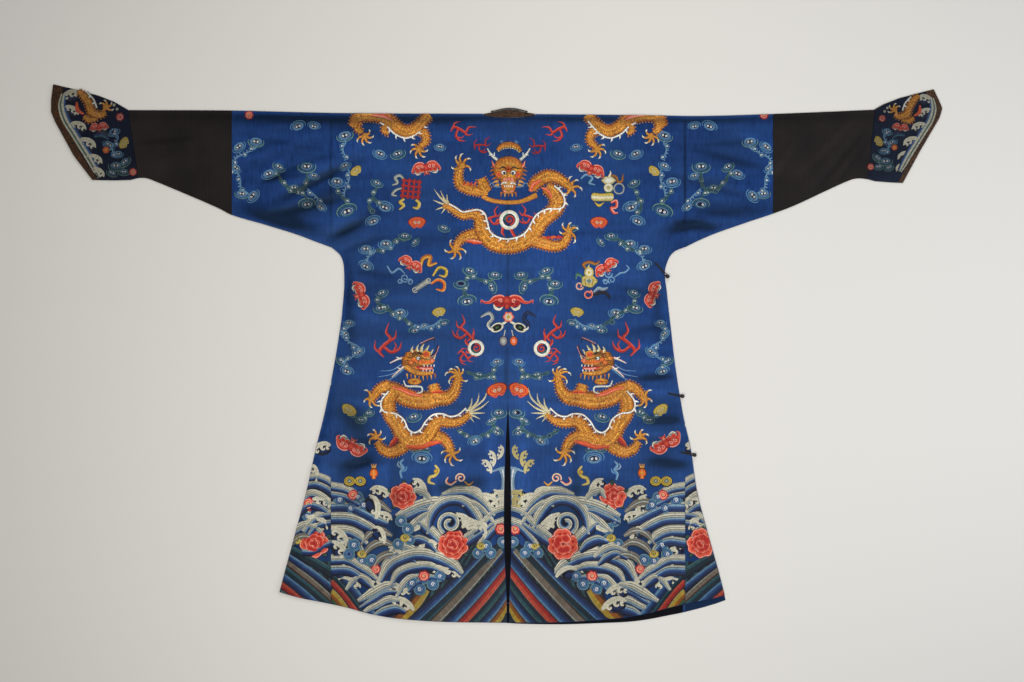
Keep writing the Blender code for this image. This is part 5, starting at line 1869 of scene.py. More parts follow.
StripeRow = namedtuple("StripeRow", "region bands out_1 down_1 out_2 down_2 width_1 width_2")
STRIPE_BANDS = {
    "blue": [("pale", 0.5), ("sky", 0.9), ("mid", 1.3), ("deep", 1.5), ("navy", 1.3)],
    "teal": [("sage", 0.4), ("teal", 1.4), ("dark_teal", 2.2), ("navy", 0.9)],
    "beige": [("bone", 0.5), ("beige", 2.2), ("brown", 0.5), ("navy", 0.6)],
    "red": [("pink", 0.5), ("coral", 1.8), ("red", 1.5), ("wine", 0.5), ("navy", 0.5)],
    "grey": [("sage", 0.6), ("teal", 1.6), ("dark_teal", 1.8), ("navy", 0.7)],
    "gold": [("straw", 0.5), ("yellow", 1.6), ("ochre", 1.4), ("brown", 0.7)],
    "green": [("olive", 0.5), ("green", 1.2), ("dark_teal", 1.8), ("navy", 0.8)],
}
STRIPES = [
    StripeRow("skirt", "gold", 82, 477, 108, 507, 8, 14),
    StripeRow("skirt", "blue", 24, 440, 100, 512, 5, 12),
    StripeRow("skirt", "teal", 5, 431, 91, 515, 8, 9),
    StripeRow("skirt", "beige", 8, 437, 79, 514, 8, 9),
    StripeRow("skirt", "blue", -1, 444, 66, 517, 9, 10.5),
    StripeRow("skirt", "red", -1, 455, 52, 517, 7.6, 8.6),
    StripeRow("skirt", "grey", -1, 466.5, 41, 516, 7.4, 7.6),
    StripeRow("skirt", "blue", -1, 477.5, 30.5, 516, 7.4, 8),
    StripeRow("skirt", "gold", -1, 489, 18.5, 516, 7.4, 8),
    StripeRow("skirt", "green", -1, 501, 6, 516, 8, 8),
    StripeRow("skirt", "blue", 176, 455, 138, 502, 8, 9),
    StripeRow("skirt", "teal", 176, 463, 146, 502, 6, 6),
    StripeRow("skirt", "red", 177, 469, 152, 500, 7, 8),
    StripeRow("skirt", "gold", 178, 480, 164, 498, 8, 8),
    StripeRow("skirt", "green", 178, 490, 172, 499, 7, 7),
    StripeRow("gore", "teal", 222, 436, 170, 466, 8, 9),
    StripeRow("gore", "blue", 222, 444, 170, 482, 7, 7),
    StripeRow("gore", "beige", 222, 450, 172, 492, 6, 6),
    StripeRow("gore", "teal", 224, 457, 178, 496, 7, 8),
    StripeRow("gore", "blue", 226, 465, 190, 496, 9, 10),
    StripeRow("gore", "red", 229, 471, 203, 494, 7, 8),
    StripeRow("gore", "grey", 230, 481, 214, 494, 8, 8),
]


STRIPE_WIDER = 1.1


def embroider_stripes(work, half):
    work.light = STRIPE_LIGHT
    base = [("dark_teal", 1), ("teal", 1), ("navy", 1)] * 12
    work.region = "skirt"
    work.stroke(
        half, [(30, 432), (46, 470), (52, 516)], [30, 84, 112], base, crown=0, step=2.5, vary=0.15
    )
    work.stroke(half, [(168, 470), (162, 506)], [24, 44], base[:15], crown=0, step=2.5, vary=0.15)
    work.region = "gore"
    work.stroke(half, [(202, 450), (200, 502)], [56, 60], base[:18], crown=0, step=2.5, vary=0.15)
    for row in STRIPES:
        work.region = row.region
        start, end = np.array((row.out_1, row.down_1)), np.array((row.out_2, row.down_2))
        ahead = (end - start) / np.hypot(*(end - start))
        middle = (start + end) / 2 + np.array((-ahead[1], ahead[0])) * 1.4
        widths = [row.width_1 * STRIPE_WIDER, row.width_2 * STRIPE_WIDER]
        points = [tuple(start), tuple(middle), tuple(end + ahead * 8)]
        work.stroke(
            half, points, [widths[0], sum(widths) / 2, widths[1]], STRIPE_BANDS[row.bands], crown=0.4,
            step=2.5, vary=0.1,
        )


def laid_on(half, out, down, size=1.0, turn=0.0, flip=1):
    """A motif's spot, given by its place on one half of the robe."""
    across = half.across + out * half.flip * half.size
    return Spot(
        across, half.below + down * half.size, size * half.size, turn * half.flip, flip * half.flip
    )


def embroider_waves(work, half):
    work.light = WAVE_LIGHT
    for row in WAVES:
        work.region = row.region
        widths = [row.width] * len(row.points)
        for end in (0, -1):
            if 4 < row.points[end][0] < 172:
                widths[end] *= 0.4
        work.stroke(half, row.points, widths, BANDS[row.bands], lift=0.05, crown=0.6, step=1.6)


def embroider_foam(work, half):
    for row in FOAM:
        work.region = row.region
        foam(work, laid_on(half, row.out, row.down, row.size, row.turn, row.flip))


def embroider_vortex(work, half):
    """The wave that winds into itself, with its foam."""
    work.region = "skirt"
    bands = [
        ("line", 0.5), ("cream", 1.3), ("line", 0.5), ("bone", 1.2), ("pale", 1.0), ("mid", 1.0),
        ("navy", 1.2),
    ]
    work.patch(half, (58, 411), 12.0, [("navy", 1), ("deep", 1), ("navy", 1)], lift=0.35, crown=0.1)
    work.spiral(half, (58, 411), 11.0, 1.6, -1.45, 6.0, bands, start=60, lift=0.5, crown=0.4)
    foam(work, laid_on(half, 46, 408, 1.2, -70, -1))
    foam(work, laid_on(half, 34, 414, 1.2, -40, -1))


def embroider_in_waves(work, half):
    for row in IN_WAVES:
        work.region = row.region
        KINDS[row.kind](work, laid_on(half, row.out, row.down, row.size, row.turn))


def embroider_pillar(work, half):
    """The pale rock and breaking foam above the centre of the waves."""
    work.region = "skirt"
    left = half.flip < 0
    crest = "cream" if left else "straw"
    edge = [("line", 0.5), ("pale", 1.4), ("white", 1.4)]
    work.stroke(half, [(0.5, 356), (9, 357), (17, 360)], [4.5, 2.6, 1.0], "pale", lift=0.2)
    work.stroke(
        half, [(8, 358), (5.6, 364), (5.4, 374), (8, 382), (14, 388)], [2.4, 2.2, 2.2, 2.4, 1.4], "pale",
        lift=0.25,
    )
    work.stroke(
        half, [(4.5, 357), (3.4, 366), (3.2, 376), (4, 386)], [3.5, 2.6, 2.6, 4.5], edge, lift=0.2
    )
    for out, down, turn, size in ((8, 340, -62, 0.72), (16, 346, -38, 0.8), (21, 354, -15, 0.8)):
        foam(work, laid_on(half, out, down, size, turn, 1), crest, hollow=False)
    foam(work, laid_on(half, 10, 388, 1.15, -35, 1), crest)
    foam(work, laid_on(half, 4, 384, 0.9, -80, -1), crest, hollow=False)


# Dragons, in gold thread: body lines with their widths, limbs, and claws by their tips
GOLD = [
    ("brown", 0.5), ("ochre", 0.9), ("gold", 1.0), ("gold", 1.0), ("amber", 1.0), ("gold", 1.0),
    ("gold", 1.0), ("amber", 1.0), ("gold", 1.0), ("ochre", 0.9), ("brown", 0.5),
]
FLESH = [("ochre", 0.5), ("orange", 1.0), ("coral", 0.9), ("pink", 0.5), ("orange", 1.0), ("ochre", 0.5)]


def fringe(work, spot, points, every, length, tint, side=1, width=1.3, lift=0.2):
    """Short spikes that stand along one side of a line."""
    line, _ = smooth_line(points, 0.5)
    ahead = np.gradient(line, axis=0)
    ahead /= np.hypot(ahead[:, 0], ahead[:, 1])[:, None]
    run = np.concatenate(([0], np.cumsum(np.hypot(*np.diff(line, axis=0).T))))
    for at in np.arange(every * 0.6, run[-1], every):
        i = int(np.searchsorted(run, at))
        out = np.array((ahead[i, 1], -ahead[i, 0])) * side
        tip = line[i] + out * length + ahead[i] * length * 0.5
        middle = line[i] + out * length * 0.55 + ahead[i] * length * 0.1
        work.stroke(
            spot, [line[i], middle, tip], [width, width * 0.7, 0.25], tint, lift=lift, crown=0.15,
            step=0.8,
        )


def edge_of(points, widths, side):
    """The line along one edge of a stroke."""
    line, marks = smooth_line(points, 2.0)
    ahead = np.gradient(line, axis=0)
    ahead /= np.hypot(ahead[:, 0], ahead[:, 1])[:, None]
    wide = np.interp(marks, np.arange(len(widths)), widths)[:, None]
    return line + np.column_stack((ahead[:, 1], -ahead[:, 0])) * wide * 0.46 * side


def trunk(work, spot, points, widths, bands=GOLD, lift=0.3, fringed=(1, -1)):
    """A length of body or limb, with short golden hairs along its edges."""
    for side in fringed:
        edge = edge_of(points, widths, side)
        fringe(work, spot, edge, 3.0, 1.8, "gold", side, 1.5, lift - 0.15)
    work.stroke(spot, points, widths, bands, lift=lift, crown=0.5, step=0.9, vary=0.3)


def claw(work, spot, palm, tips, lift=0.45):
    """A foot with spread toes, each with a pale talon."""
    palm = np.array(palm, float)
    work.patch(
        spot, palm, 3.6, [("brown", 0.5), ("gold", 1.6), ("amber", 1.4)], lift=lift, crown=0.5,
        segments=14,
    )
    for tip in tips:
        tip = np.array(tip, float)
        way = tip - palm
        aside = np.array((way[1], -way[0])) * 0.16
        knuckle = palm + way * 0.55 + aside
        before = palm + way * 0.82 + aside * 0.5
        work.stroke(
            spot, [palm, knuckle, before], [3.0, 2.7, 1.7],
            [("brown", 0.4), ("gold", 1), ("amber", 1), ("brown", 0.4)], lift=lift, step=0.8, vary=0.15,
        )
        work.stroke(
            spot, [before, palm + way * 0.97 - aside * 0.2, tip - aside * 1.4], [1.7, 1.3, 0.3], "cream",
            lift=lift + 0.1, crown=0.2, step=0.6,
        )


def spine(work, spot, points, side):
    work.stroke(
        spot, points, 2.4, [("brown", 0.7), ("white", 1), ("white", 1), ("brown", 0.5)], lift=0.95,
        crown=0.3, step=1.2,
    )
    fringe(work, spot, points, 8.0, 4.0, "white", side, 2.2, 1.0)


TRUNK_UPPER = [
    (122, 274.5), (112, 279), (104, 284.5), (94, 287.7), (82, 288.3), (70, 286), (60, 285.5), (53.5, 279),
    (50.8, 270), (50, 264),
]
UPPER_WIDTHS = [12, 15.5, 17.5, 17, 17.5, 15.5, 13, 10.5, 8, 6]
TRUNK_LOWER = [
    (113, 279), (118, 286), (119.5, 295), (117, 304), (110.5, 313), (106, 322), (97, 329.5), (86, 328.5),
    (78.5, 321), (73.5, 313), (67, 309), (58, 310.5), (48, 309), (38, 302),
]
LOWER_WIDTHS = [12, 13.5, 14, 14, 14.5, 15, 16, 15, 14, 12.5, 11.5, 9.5, 8, 4.5]
SIDE_SPINE = [
    (119, 279), (125.7, 287.5), (126.6, 295), (122.5, 300), (112, 301.8), (104, 307.7), (100, 316.5),
    (94, 320.5), (87.5, 317.5), (82, 309), (74.5, 302.6), (65, 301.8), (58, 304.4), (50, 302.8),
    (42, 296),
]


def side_dragon(work, spot):
    """A dragon in profile, its head turned to the centre; out and down as in the waves."""
    for tip, bend in (
        ((20, 276), (25, 288)), ((29, 281), (31, 290)), ((36, 286), (37, 293)), ((19, 289), (28, 296)),
        ((23, 301), (30, 301)), ((28, 307), (34, 304)), ((34, 310), (38, 305)),
    ):
        work.stroke(
            spot, [(42, 301.5), bend, tip], [2.0, 1.7, 0.3], [("straw", 1), ("cream", 1)], lift=0.5,
            step=0.9,
        )
    trunk(work, spot, [(82, 325), (71, 324), (63, 328), (58.5, 335), (56, 341)], [13, 11.5, 10, 8.5, 6])
    trunk(work, spot, [(99, 329), (107, 336), (116, 340), (125, 337.5), (131, 329.5)], [14, 12, 11, 9, 6])
    trunk(work, spot, [(118, 273.5), (127, 276.5), (133, 282.5), (136.4, 288)], [12.5, 10.5, 8.5, 6])
    trunk(work, spot, [(75, 272), (73, 279), (71, 284)], [9.5, 12, 9])
    trunk(work, spot, TRUNK_UPPER, UPPER_WIDTHS)
    work.stroke(
        spot, [(116, 275), (106, 277.5), (97, 281.5), (86, 284)], [2, 5.5, 6, 2], FLESH, lift=1.2,
        crown=0.4, vary=0.15,
    )
    trunk(work, spot, TRUNK_LOWER, LOWER_WIDTHS, lift=0.5)
    work.stroke(
        spot, [(66, 329.5), (76, 331.5), (88, 335), (102, 334)], [2, 4.5, 4.5, 2],
        [("red", 1), ("orange", 1.4), ("coral", 1)], lift=1.3, crown=0.4,
    )
    work.stroke(
        spot, [(111, 326), (115, 331), (118, 334)], [5.5, 5.5, 2],
        [("wine", 0.6), ("red", 1.2), ("orange", 0.8)], lift=0.9,
    )
    work.stroke(
        spot, [(64, 280.5), (70, 279.5), (77, 280.5)], [1.5, 3.6, 1.5], [("red", 1), ("orange", 1)],
        lift=1.1,
    )
    claw(
        work, spot, (49.6, 263),
        [(41.5, 269.5), (44.5, 257.5), (51, 254.5), (57.5, 256.5), (62.5, 261), (59.5, 270)],
    )
    claw(work, spot, (137, 287), [(131, 279), (142, 277.5), (144, 289), (137, 295.5), (128, 294)])
    claw(work, spot, (55.6, 341), [(66.5, 340), (63.5, 349), (56.5, 353.5), (47, 349), (47.5, 337)])
    claw(
        work, spot, (132.6, 324.5),
        [(139, 331), (140, 322.5), (134, 317.5), (126.5, 319.5), (122.5, 326.5)],
    )
    spine(work, spot, SIDE_SPINE, 1)
    work.patch(
        spot, (93.5, 269.5), 7.6, [("brown", 0.5), ("gold", 1.2), ("amber", 1.2), ("orange", 1)],
        lift=0.4, squash=0.46, vary=0.2,
    )
    work.stroke(
        spot, [(104.5, 268.5), (101.5, 274), (92, 274.4), (86.5, 275.4), (86.4, 279.6), (92, 281.6)],
        [1.0, 1.6, 1.8, 1.8, 1.6, 0.8], [("white", 1), ("bone", 1)], lift=1.6,
    )
    side_head(work, spot)


def side_head(work, spot):
    hair = [
        [(106, 252), (116, 258), (128, 259)], [(105, 255), (116, 262), (130, 265)],
        [(104, 257), (114, 265), (126, 271)],
    ]
    for points in hair:
        work.stroke(spot, points, [1.2, 0.9, 0.4], "sky", lift=0.2, step=1.2)
    for points in ([(100, 246), (108, 246.5), (118, 251)], [(99, 251), (107, 257), (116, 265)]):
        work.stroke(spot, points, [3.0, 2.2, 1.0], [("bone", 1), ("white", 1), ("pink", 0.8)], lift=0.6)
        work.stroke(
            spot, [points[1], points[1] + np.array((4, -1.6))], [1.4, 0.5], "white", lift=0.7, step=0.8
        )
    work.stroke(spot, [(80, 246), (73, 241), (70, 233)], [0.9, 1.1, 1.0], "soot", lift=0.5)
    work.stroke(spot, [(79, 246.5), (72.3, 242), (69, 234)], 0.5, "pink", lift=0.6)
    work.stroke(
        spot, [(87, 233), (80, 229), (74, 226.5), (73.5, 231)], [0.9, 1.1, 1.0, 0.6], "soot", lift=0.5
    )
    work.stroke(spot, [(88, 231.6), (80, 227.8), (74, 225.4)], 0.5, "pink", lift=0.6)
    work.patch(
        spot, (93.5, 248.5), 13.2,
        [("brown", 0.35), ("ochre", 0.7), ("gold", 1.1), ("ochre", 0.4), ("amber", 0.9), ("gold", 1)],
        lift=0.6, crown=1.0, squash=0.84, turn=18, lobes=11, depth=0.05, vary=0.24, segments=44,
    )
    for x, y, lean in (
        (74, 246, -4), (76.5, 240.5, -4), (80, 236.5, -2.5), (84.5, 235, -1), (89, 236, 1), (94, 237.5, 2)
    ):
        work.stroke(
            spot, [(86, 246), (x + 2, y + 2), (x + lean * 0.5, y - 3.4)], [3.6, 2.8, 0.4],
            [("straw", 1), ("cream", 1)], lift=0.8, step=0.9,
        )
    work.patch(
        spot, (82, 242.5), 5.2, [("brown", 0.4), ("amber", 0.8), ("orange", 1.3), ("coral", 1)], lift=1.2,
        crown=0.5, squash=0.85, lobes=5, depth=0.1,
    )
    work.stroke(
        spot, [(97, 247), (87, 250), (78, 250), (73.5, 248)], [7, 8, 5.6, 3],
        [("brown", 0.4), ("gold", 1), ("orange", 1.2), ("gold", 1.2), ("brown", 0.4)], lift=1.3,
        crown=0.6, vary=0.2,
    )
    work.stroke(
        spot, [(103, 254), (94, 259.5), (84, 261.5), (74.5, 260.5)], [6, 6, 5, 3],
        [("brown", 0.4), ("gold", 1.2), ("amber", 1), ("gold", 1), ("brown", 0.4)], lift=1.2, crown=0.6,
        vary=0.2,
    )
    work.stroke(
        spot, [(92, 254.8), (84, 256.2), (75, 255.6)], [2.0, 4.4, 3.0],
        [("wine", 1), ("red", 1.6), ("coral", 1)], lift=1.7, crown=0.2,
    )
    work.stroke(spot, [(88, 255.8), (81, 256.8), (75.5, 256)], [1.2, 1.8, 0.6], "pink", lift=1.9)
    for x, y in ((97, 243), (101.5, 250), (94.5, 251.5)):
        work.spiral(spot, (x, y), 2.9, 0.4, 1.3, 0.9, "brown", start=40, lift=1.8, crown=0.1)
    for x in (74, 77, 80.5, 84):
        work.stroke(spot, [(x, 252.6), (x - 0.3, 255)], [1.3, 0.4], "white", lift=1.7, step=0.6)
        work.stroke(spot, [(x + 1, 259.4), (x + 0.8, 257)], [1.3, 0.4], "white", lift=1.7, step=0.6)
    work.patch(spot, (76, 248.4), 2.2, [("orange", 1), ("pink", 1)], lift=1.6, segments=12)
    work.patch(
        spot, (89.5, 246.4), 2.4, [("soot", 0.8), ("white", 1.2), ("white", 1)], lift=1.8, segments=14
    )
    work.patch(spot, (88.8, 246.6), 1.1, "soot", lift=2.1, crown=0.1, segments=10)
    for i in range(3):
        work.stroke(
            spot, [(84.5 + i, 242.8 - i), (90 + i, 242 - i), (94 + i, 244.5 - i)], 0.7, "soot", lift=1.9,
            step=1.0,
        )
    work.patch(
        spot, (97, 250.5), 3.4, [("brown", 0.6), ("orange", 1.2), ("amber", 1)], lift=1.5, squash=0.8
    )
    for i in range(8):
        x = 73 + i * 4.0
        y = 262.5 + 1.8 * math.sin(i / 7 * math.pi)
        work.stroke(
            spot, [(x, y - 1), (x - 0.6, y + 4.2)], [2.0, 0.4], "amber" if i % 2 else "ochre", lift=0.6,
            step=0.9,
        )


FRONT_TRUNK = [
    (38, 75), (45.5, 81), (49.5, 89.5), (47, 97.5), (40, 103.5), (33, 110), (28, 118), (21.5, 126),
    (11.5, 132), (-0.7, 134.3), (-13, 132), (-21, 126), (-26, 118), (-27.5, 110), (-30, 104.5),
    (-36, 102), (-44.5, 103.5), (-52.5, 99.8), (-58.8, 95.6), (-65, 93.5),
]
FRONT_WIDTHS = [13, 15, 16, 16, 15, 15, 15.5, 15.5, 15, 14.5, 15, 15, 14.5, 12.5, 10, 8.5, 7.5, 6.5, 5, 3]
FRONT_SPINE = [
    (46.3, 74), (53.2, 80), (56.5, 88), (55, 95), (48, 97), (40, 97), (29.5, 102), (24, 109.8),
    (19.8, 117.6), (13.4, 123.6), (1.4, 127), (-9.8, 125.4), (-17.8, 119.6), (-20.6, 110), (-23.4, 101.5),
    (-30.2, 97.8), (-38.4, 99), (-45.6, 99.8), (-51.7, 95.8), (-58.8, 92),
]


def front_dragon(work, spot):
    """The dragon that faces the viewer between the shoulders, coiled round a pearl."""
    for tip in (
        (-75, 88), (-74, 77), (-67.5, 78.6), (-61, 82.5), (-72.5, 98), (-66.5, 101.5), (-59.5, 101)
    ):
        bend = (tip[0] * 0.5 - 30, tip[1] * 0.45 + 51.5)
        work.stroke(
            spot, [(-58, 94.5), bend, tip], [2.2, 1.8, 0.3], [("straw", 1), ("cream", 1)], lift=0.4,
            step=0.9,
        )
    work.stroke(
        spot, [(-26, 84), (-17, 88.2), (-1.7, 90.4), (13.6, 89.2), (29, 83)], [5, 4.6, 4.6, 4.6, 6], GOLD,
        lift=0.2, crown=0.7, vary=0.2,
    )
    trunk(
        work, spot, [(-20, 81.4), (-30, 79.6), (-40, 77), (-48, 72), (-49.5, 62), (-46.5, 53.5)],
        [5, 9, 10, 10, 8, 6],
    )
    trunk(work, spot, [(-20, 80), (-24, 74), (-27, 66.5)], [9, 12, 9])
    trunk(
        work, spot, [(23, 77), (29, 70), (39, 64.5), (49, 66), (57, 71), (62, 75.5)],
        [10, 13, 13, 11, 8.5, 6],
    )
    trunk(
        work, spot, [(-18, 126), (-30, 122.5), (-41, 124), (-48.6, 129), (-52.5, 136)], [12, 12, 10, 8, 6]
    )
    trunk(
        work, spot, [(20, 127), (34, 131), (45, 134.2), (54, 132.5), (59, 126), (60.8, 120)],
        [13, 12, 10.5, 9.5, 8, 6],
    )
    trunk(work, spot, FRONT_TRUNK, FRONT_WIDTHS, lift=0.5)
    work.stroke(
        spot, [(22, 79.5), (26, 72.5), (33, 68.5)], [4, 6, 3], FLESH, lift=1.5, crown=0.5, vary=0.15
    )
    work.stroke(spot, [(34, 76), (40, 79), (44, 86)], [2, 4, 2], FLESH, lift=1.7, crown=0.3, vary=0.15)
    work.stroke(
        spot, [(-42, 128.5), (-34, 130), (-26, 131)], [2, 4.6, 2],
        [("red", 1), ("orange", 1.3), ("pink", 1)], lift=1.3,
    )
    for i in range(4):
        x = 33 + i * 5
        work.stroke(
            spot, [(x, 127 - 0.4 * i), (x + 3, 125.6 - i * 0.3), (x + 8, 126.6)], [2.6, 2.6, 0.6],
            "red" if i % 2 else "orange", lift=0.3, step=0.9,
        )
        work.stroke(
            spot, [(-44.5 + i * 3.6, 73.5), (-43 + i * 3.6, 69.4)], [2.4, 0.6],
            "orange" if i % 2 else "red", lift=0.4, step=0.9,
        )
    claw(work, spot, (-45.5, 53.5), [(-56, 56.5), (-52.7, 45), (-47, 42), (-38.6, 46), (-37, 57.5)])
    claw(work, spot, (62.5, 76), [(62, 64.5), (69, 67.5), (74, 76.5), (67.5, 84.5), (56, 82.5)])
    claw(work, spot, (-53, 138), [(-57.8, 128.5), (-63, 139), (-56, 147), (-47, 146.4), (-42, 139.4)])
    claw(work, spot, (61, 119), [(52, 121), (54, 112.4), (62, 110.8), (69.6, 116), (67.4, 130)])
    spine(work, spot, FRONT_SPINE, 1)
    front_head(work, spot)


def front_head(work, spot):
    work.stroke(
        spot, [(-10.5, 38.5), (-6, 34.5), (1.2, 33), (8.6, 35), (12.8, 39.6)], [4, 6.4, 7, 6.4, 4],
        [("bone", 0.6), ("brown", 0.3), ("amber", 1), ("gold", 1.2), ("ochre", 1.2), ("brown", 0.4)],
        lift=0.6, crown=0.9, vary=0.2,
    )
    for i in range(9):
        x = -8 + i * 2.3
        y = 37.6 - 4.0 * math.sin((i + 0.6) / 9.4 * math.pi)
        work.stroke(
            spot, [(x, y + 2.6), (x * 1.06, y - 1.6)], [0.8, 0.4], "brown", lift=1.4, crown=0.1, step=0.9
        )
    for x in (-6, 8.4):
        work.spiral(spot, (x, 29.6), 1.8, 0.3, 1.1, 0.7, "sky", lift=0.3, crown=0.1)
    for sign in (-1, 1):
        base = np.array((0.7 + sign * 11.4, 48))
        tip = np.array((0.7 + sign * 21.3, 36.5))
        work.stroke(
            spot, [base, (base + tip) / 2 + (sign * 0.8, 0.8), tip], [3.0, 2.4, 1.2],
            [("bone", 1), ("white", 1), ("bone", 0.7)], lift=0.8,
        )
        work.stroke(
            spot, [(base + tip) / 2, (base + tip) / 2 + (sign * 3.6, 1.2)], [1.6, 0.5], "white", lift=0.9,
            step=0.8,
        )
        work.stroke(
            spot, [(base * 2 + tip) / 3, (base * 2 + tip) / 3 + (-sign * 0.6, -3.8)], [1.4, 0.5], "white",
            lift=0.9, step=0.8,
        )
        for y, long in ((54, 4.2), (58, 4.6), (62, 5.0), (66, 4.8), (69.5, 4.6), (73, 4.4)):
            inner = np.array((0.5 + sign * (15.4 - abs(y - 58) * 0.24), y))
            work.stroke(
                spot, [inner - (sign * 2.5, 0), inner, inner + (sign * long * 0.75, 1.8)],
                [2.8, 2.2, 0.4], "amber" if int(y) % 2 else "ochre", lift=0.5, step=0.9,
            )
        ear = np.array((0.5 + sign * 15, 53))
        work.stroke(
            spot, [ear + (-sign * 2, 2), ear, ear + (sign * 1.6, -4.4)], [4.2, 3.0, 0.6],
            [("brown", 0.5), ("pink", 1), ("coral", 1), ("brown", 0.5)], lift=0.9,
        )
        work.stroke(
            spot,
            [(0.5 + sign * 4, 74), (0.5 + sign * 12, 75), (0.5 + sign * 17, 71), (0.5 + sign * 19.4, 74)],
            [1.0, 0.9, 0.8, 0.4], "sky", lift=0.9,
        )
    work.patch(
        spot, (0.5, 57.5), 15.6,
        [("brown", 0.25), ("ochre", 0.8), ("gold", 1.3), ("amber", 1.0), ("gold", 1.0), ("orange", 0.8)],
        lift=0.8, crown=2.0, squash=0.86, lobes=18, depth=0.02, vary=0.18, segments=36,
    )
    work.stroke(
        spot, [(0.5, 66), (0.5, 76), (0.5, 81.5)], [17, 15, 10],
        [
            ("brown", 0.3), ("ochre", 1), ("gold", 1.6), ("amber", 1.6), ("gold", 1.6), ("ochre", 1),
            ("brown", 0.3),
        ],
        lift=1.2, crown=1.0, vary=0.18,
    )
    for i in range(5):
        x = 0.5 + (i - 2) * 3.4
        work.stroke(
            spot, [(x, 45.8 + 0.4 * abs(i - 2)), (x * 1.02, 49), (x, 52)], [0.8, 1.2, 0.5], "ochre",
            lift=2.5, crown=0.2, step=1.0,
        )
        work.stroke(
            spot, [(x, 80), (x * 1.15, 84.8)], [2.6, 0.5], "amber" if i % 2 else "ochre", lift=1.0,
            step=0.9,
        )
    for sign in (-1, 1):
        work.patch(
            spot, (0.5 + sign * 9.6, 62.6), 3.6, [("ochre", 0.8), ("orange", 1.4), ("coral", 1)],
            lift=2.2, crown=0.5, vary=0.15,
        )
        work.stroke(
            spot, [(0.5 + sign * 1.8, 57.4), (0.5 + sign * 5.4, 55.2), (0.5 + sign * 9.6, 57)],
            [0.8, 1.6, 0.6], "soot", lift=2.9, crown=0.2, step=0.9,
        )
        work.patch(
            spot, (0.5 + sign * 4.8, 60.8), 3.0, [("soot", 0.7), ("white", 1.4), ("white", 1)], lift=2.8,
            crown=0.4, squash=0.8, segments=16,
        )
        work.patch(spot, (0.5 + sign * 4.3, 61.2), 1.35, "soot", lift=3.2, crown=0.1, segments=10)
        work.spiral(
            spot, (0.5 + sign * 2.7, 68.4), 2.1, 0.5, 1.1 * sign, 1.0, "pink", start=-90, lift=2.6,
            crown=0.3,
        )
        work.stroke(
            spot, [(0.5 + sign * 1.5, 71.4), (0.5 + sign * 5.2, 71), (0.5 + sign * 7.6, 73)],
            [1.8, 1.8, 0.8], [("white", 1), ("bone", 1)], lift=2.6, step=0.8,
        )
    work.patch(spot, (0.5, 67.4), 2.8, [("coral", 1), ("pink", 1.2)], lift=2.5, crown=0.5, squash=0.75)
    work.patch(
        spot, (0.5, 76), 5.6, [("coral", 0.8), ("red", 1.4), ("wine", 1.2)], lift=2.2, crown=0.1,
        squash=0.55,
    )
    work.stroke(spot, [(-4.6, 78.8), (0.5, 80.2), (5.6, 78.8)], [1.0, 2.0, 1.0], "pink", lift=2.4)
    for i in range(5):
        work.stroke(
            spot, [(-3.5 + i * 2, 73.4), (-3.5 + i * 2, 75.4)], [1.3, 0.6], "white", lift=2.6, crown=0.1,
            step=0.6,
        )


def shoulder_dragon(work, spot):
    """The middle of a dragon whose head and tail lie on the other side of the shoulder."""
    trunk(
        work, spot,
        [
            (155, 15), (152, 7), (143, 3.6), (130, 4.5), (119, 8), (110, 16), (100, 19.5), (91, 15),
            (84, 8), (78, 3),
        ],
        [9, 11, 12, 12.5, 13, 13, 12.5, 12, 11, 9],
    )
    trunk(work, spot, [(148, 6), (151, 15), (146, 21)], [8, 7.5, 5.5])
    trunk(work, spot, [(92, 17), (84, 21), (82, 29), (88, 35)], [10, 9, 7.5, 5.5])
    trunk(work, spot, [(120, 10), (124, 18), (119, 22)], [8, 6, 4])
    work.stroke(
        spot, [(136, 2.8), (124, 4), (116, 8)], [1.5, 4, 1.5], [("coral", 1), ("pink", 1)], lift=1.5
    )
    claw(work, spot, (143, 24), [(151, 29), (145, 33), (138, 31.5), (134.5, 25), (138, 18.5)])
    claw(work, spot, (89, 37), [(80.5, 39), (84, 45.5), (92, 46), (98, 40), (96, 32.5)])
    spine(work, spot, [(128, 10.5), (121, 14.5), (113, 22), (102, 26), (92, 22), (85, 15), (80, 9)], 1)


# Flames, pearls, clouds, bats and emblems, in silk
FLAME = [("wine", 0.5), ("red", 1.4), ("coral", 0.9)]
DARK_FLAME = [("wine", 1.2), ("red", 0.8), ("wine", 0.6)]


def flame(work, spot, bands=FLAME):
    """A flickering flame, 25 squares tall."""
    tongues = (
        ([(-5, 12), (-7.5, 7), (-3, 3), (3.4, -1), (1, -7), (4.5, -14)], [1.2, 3.4, 3.8, 3.4, 2.6, 0.4]),
        ([(-3.4, 4.5), (1.5, 9.5), (8, 8.4), (11.5, 3)], [2.6, 3.2, 2.6, 0.4]),
        ([(-7, 8), (-10.4, 3.6), (-9, -2.6)], [2.6, 2.3, 0.4]),
        ([(2, 0.5), (7, -1.4), (9, -7)], [2.6, 2.2, 0.4]),
        ([(3.6, 9), (6.4, 5.4), (5.4, 1.4)], [2.0, 1.7, 0.4]),
    )
    for points, widths in tongues:
        work.stroke(
            spot, points, [width * 0.78 for width in widths], bands, lift=0.22, step=0.9, vary=0.14
        )


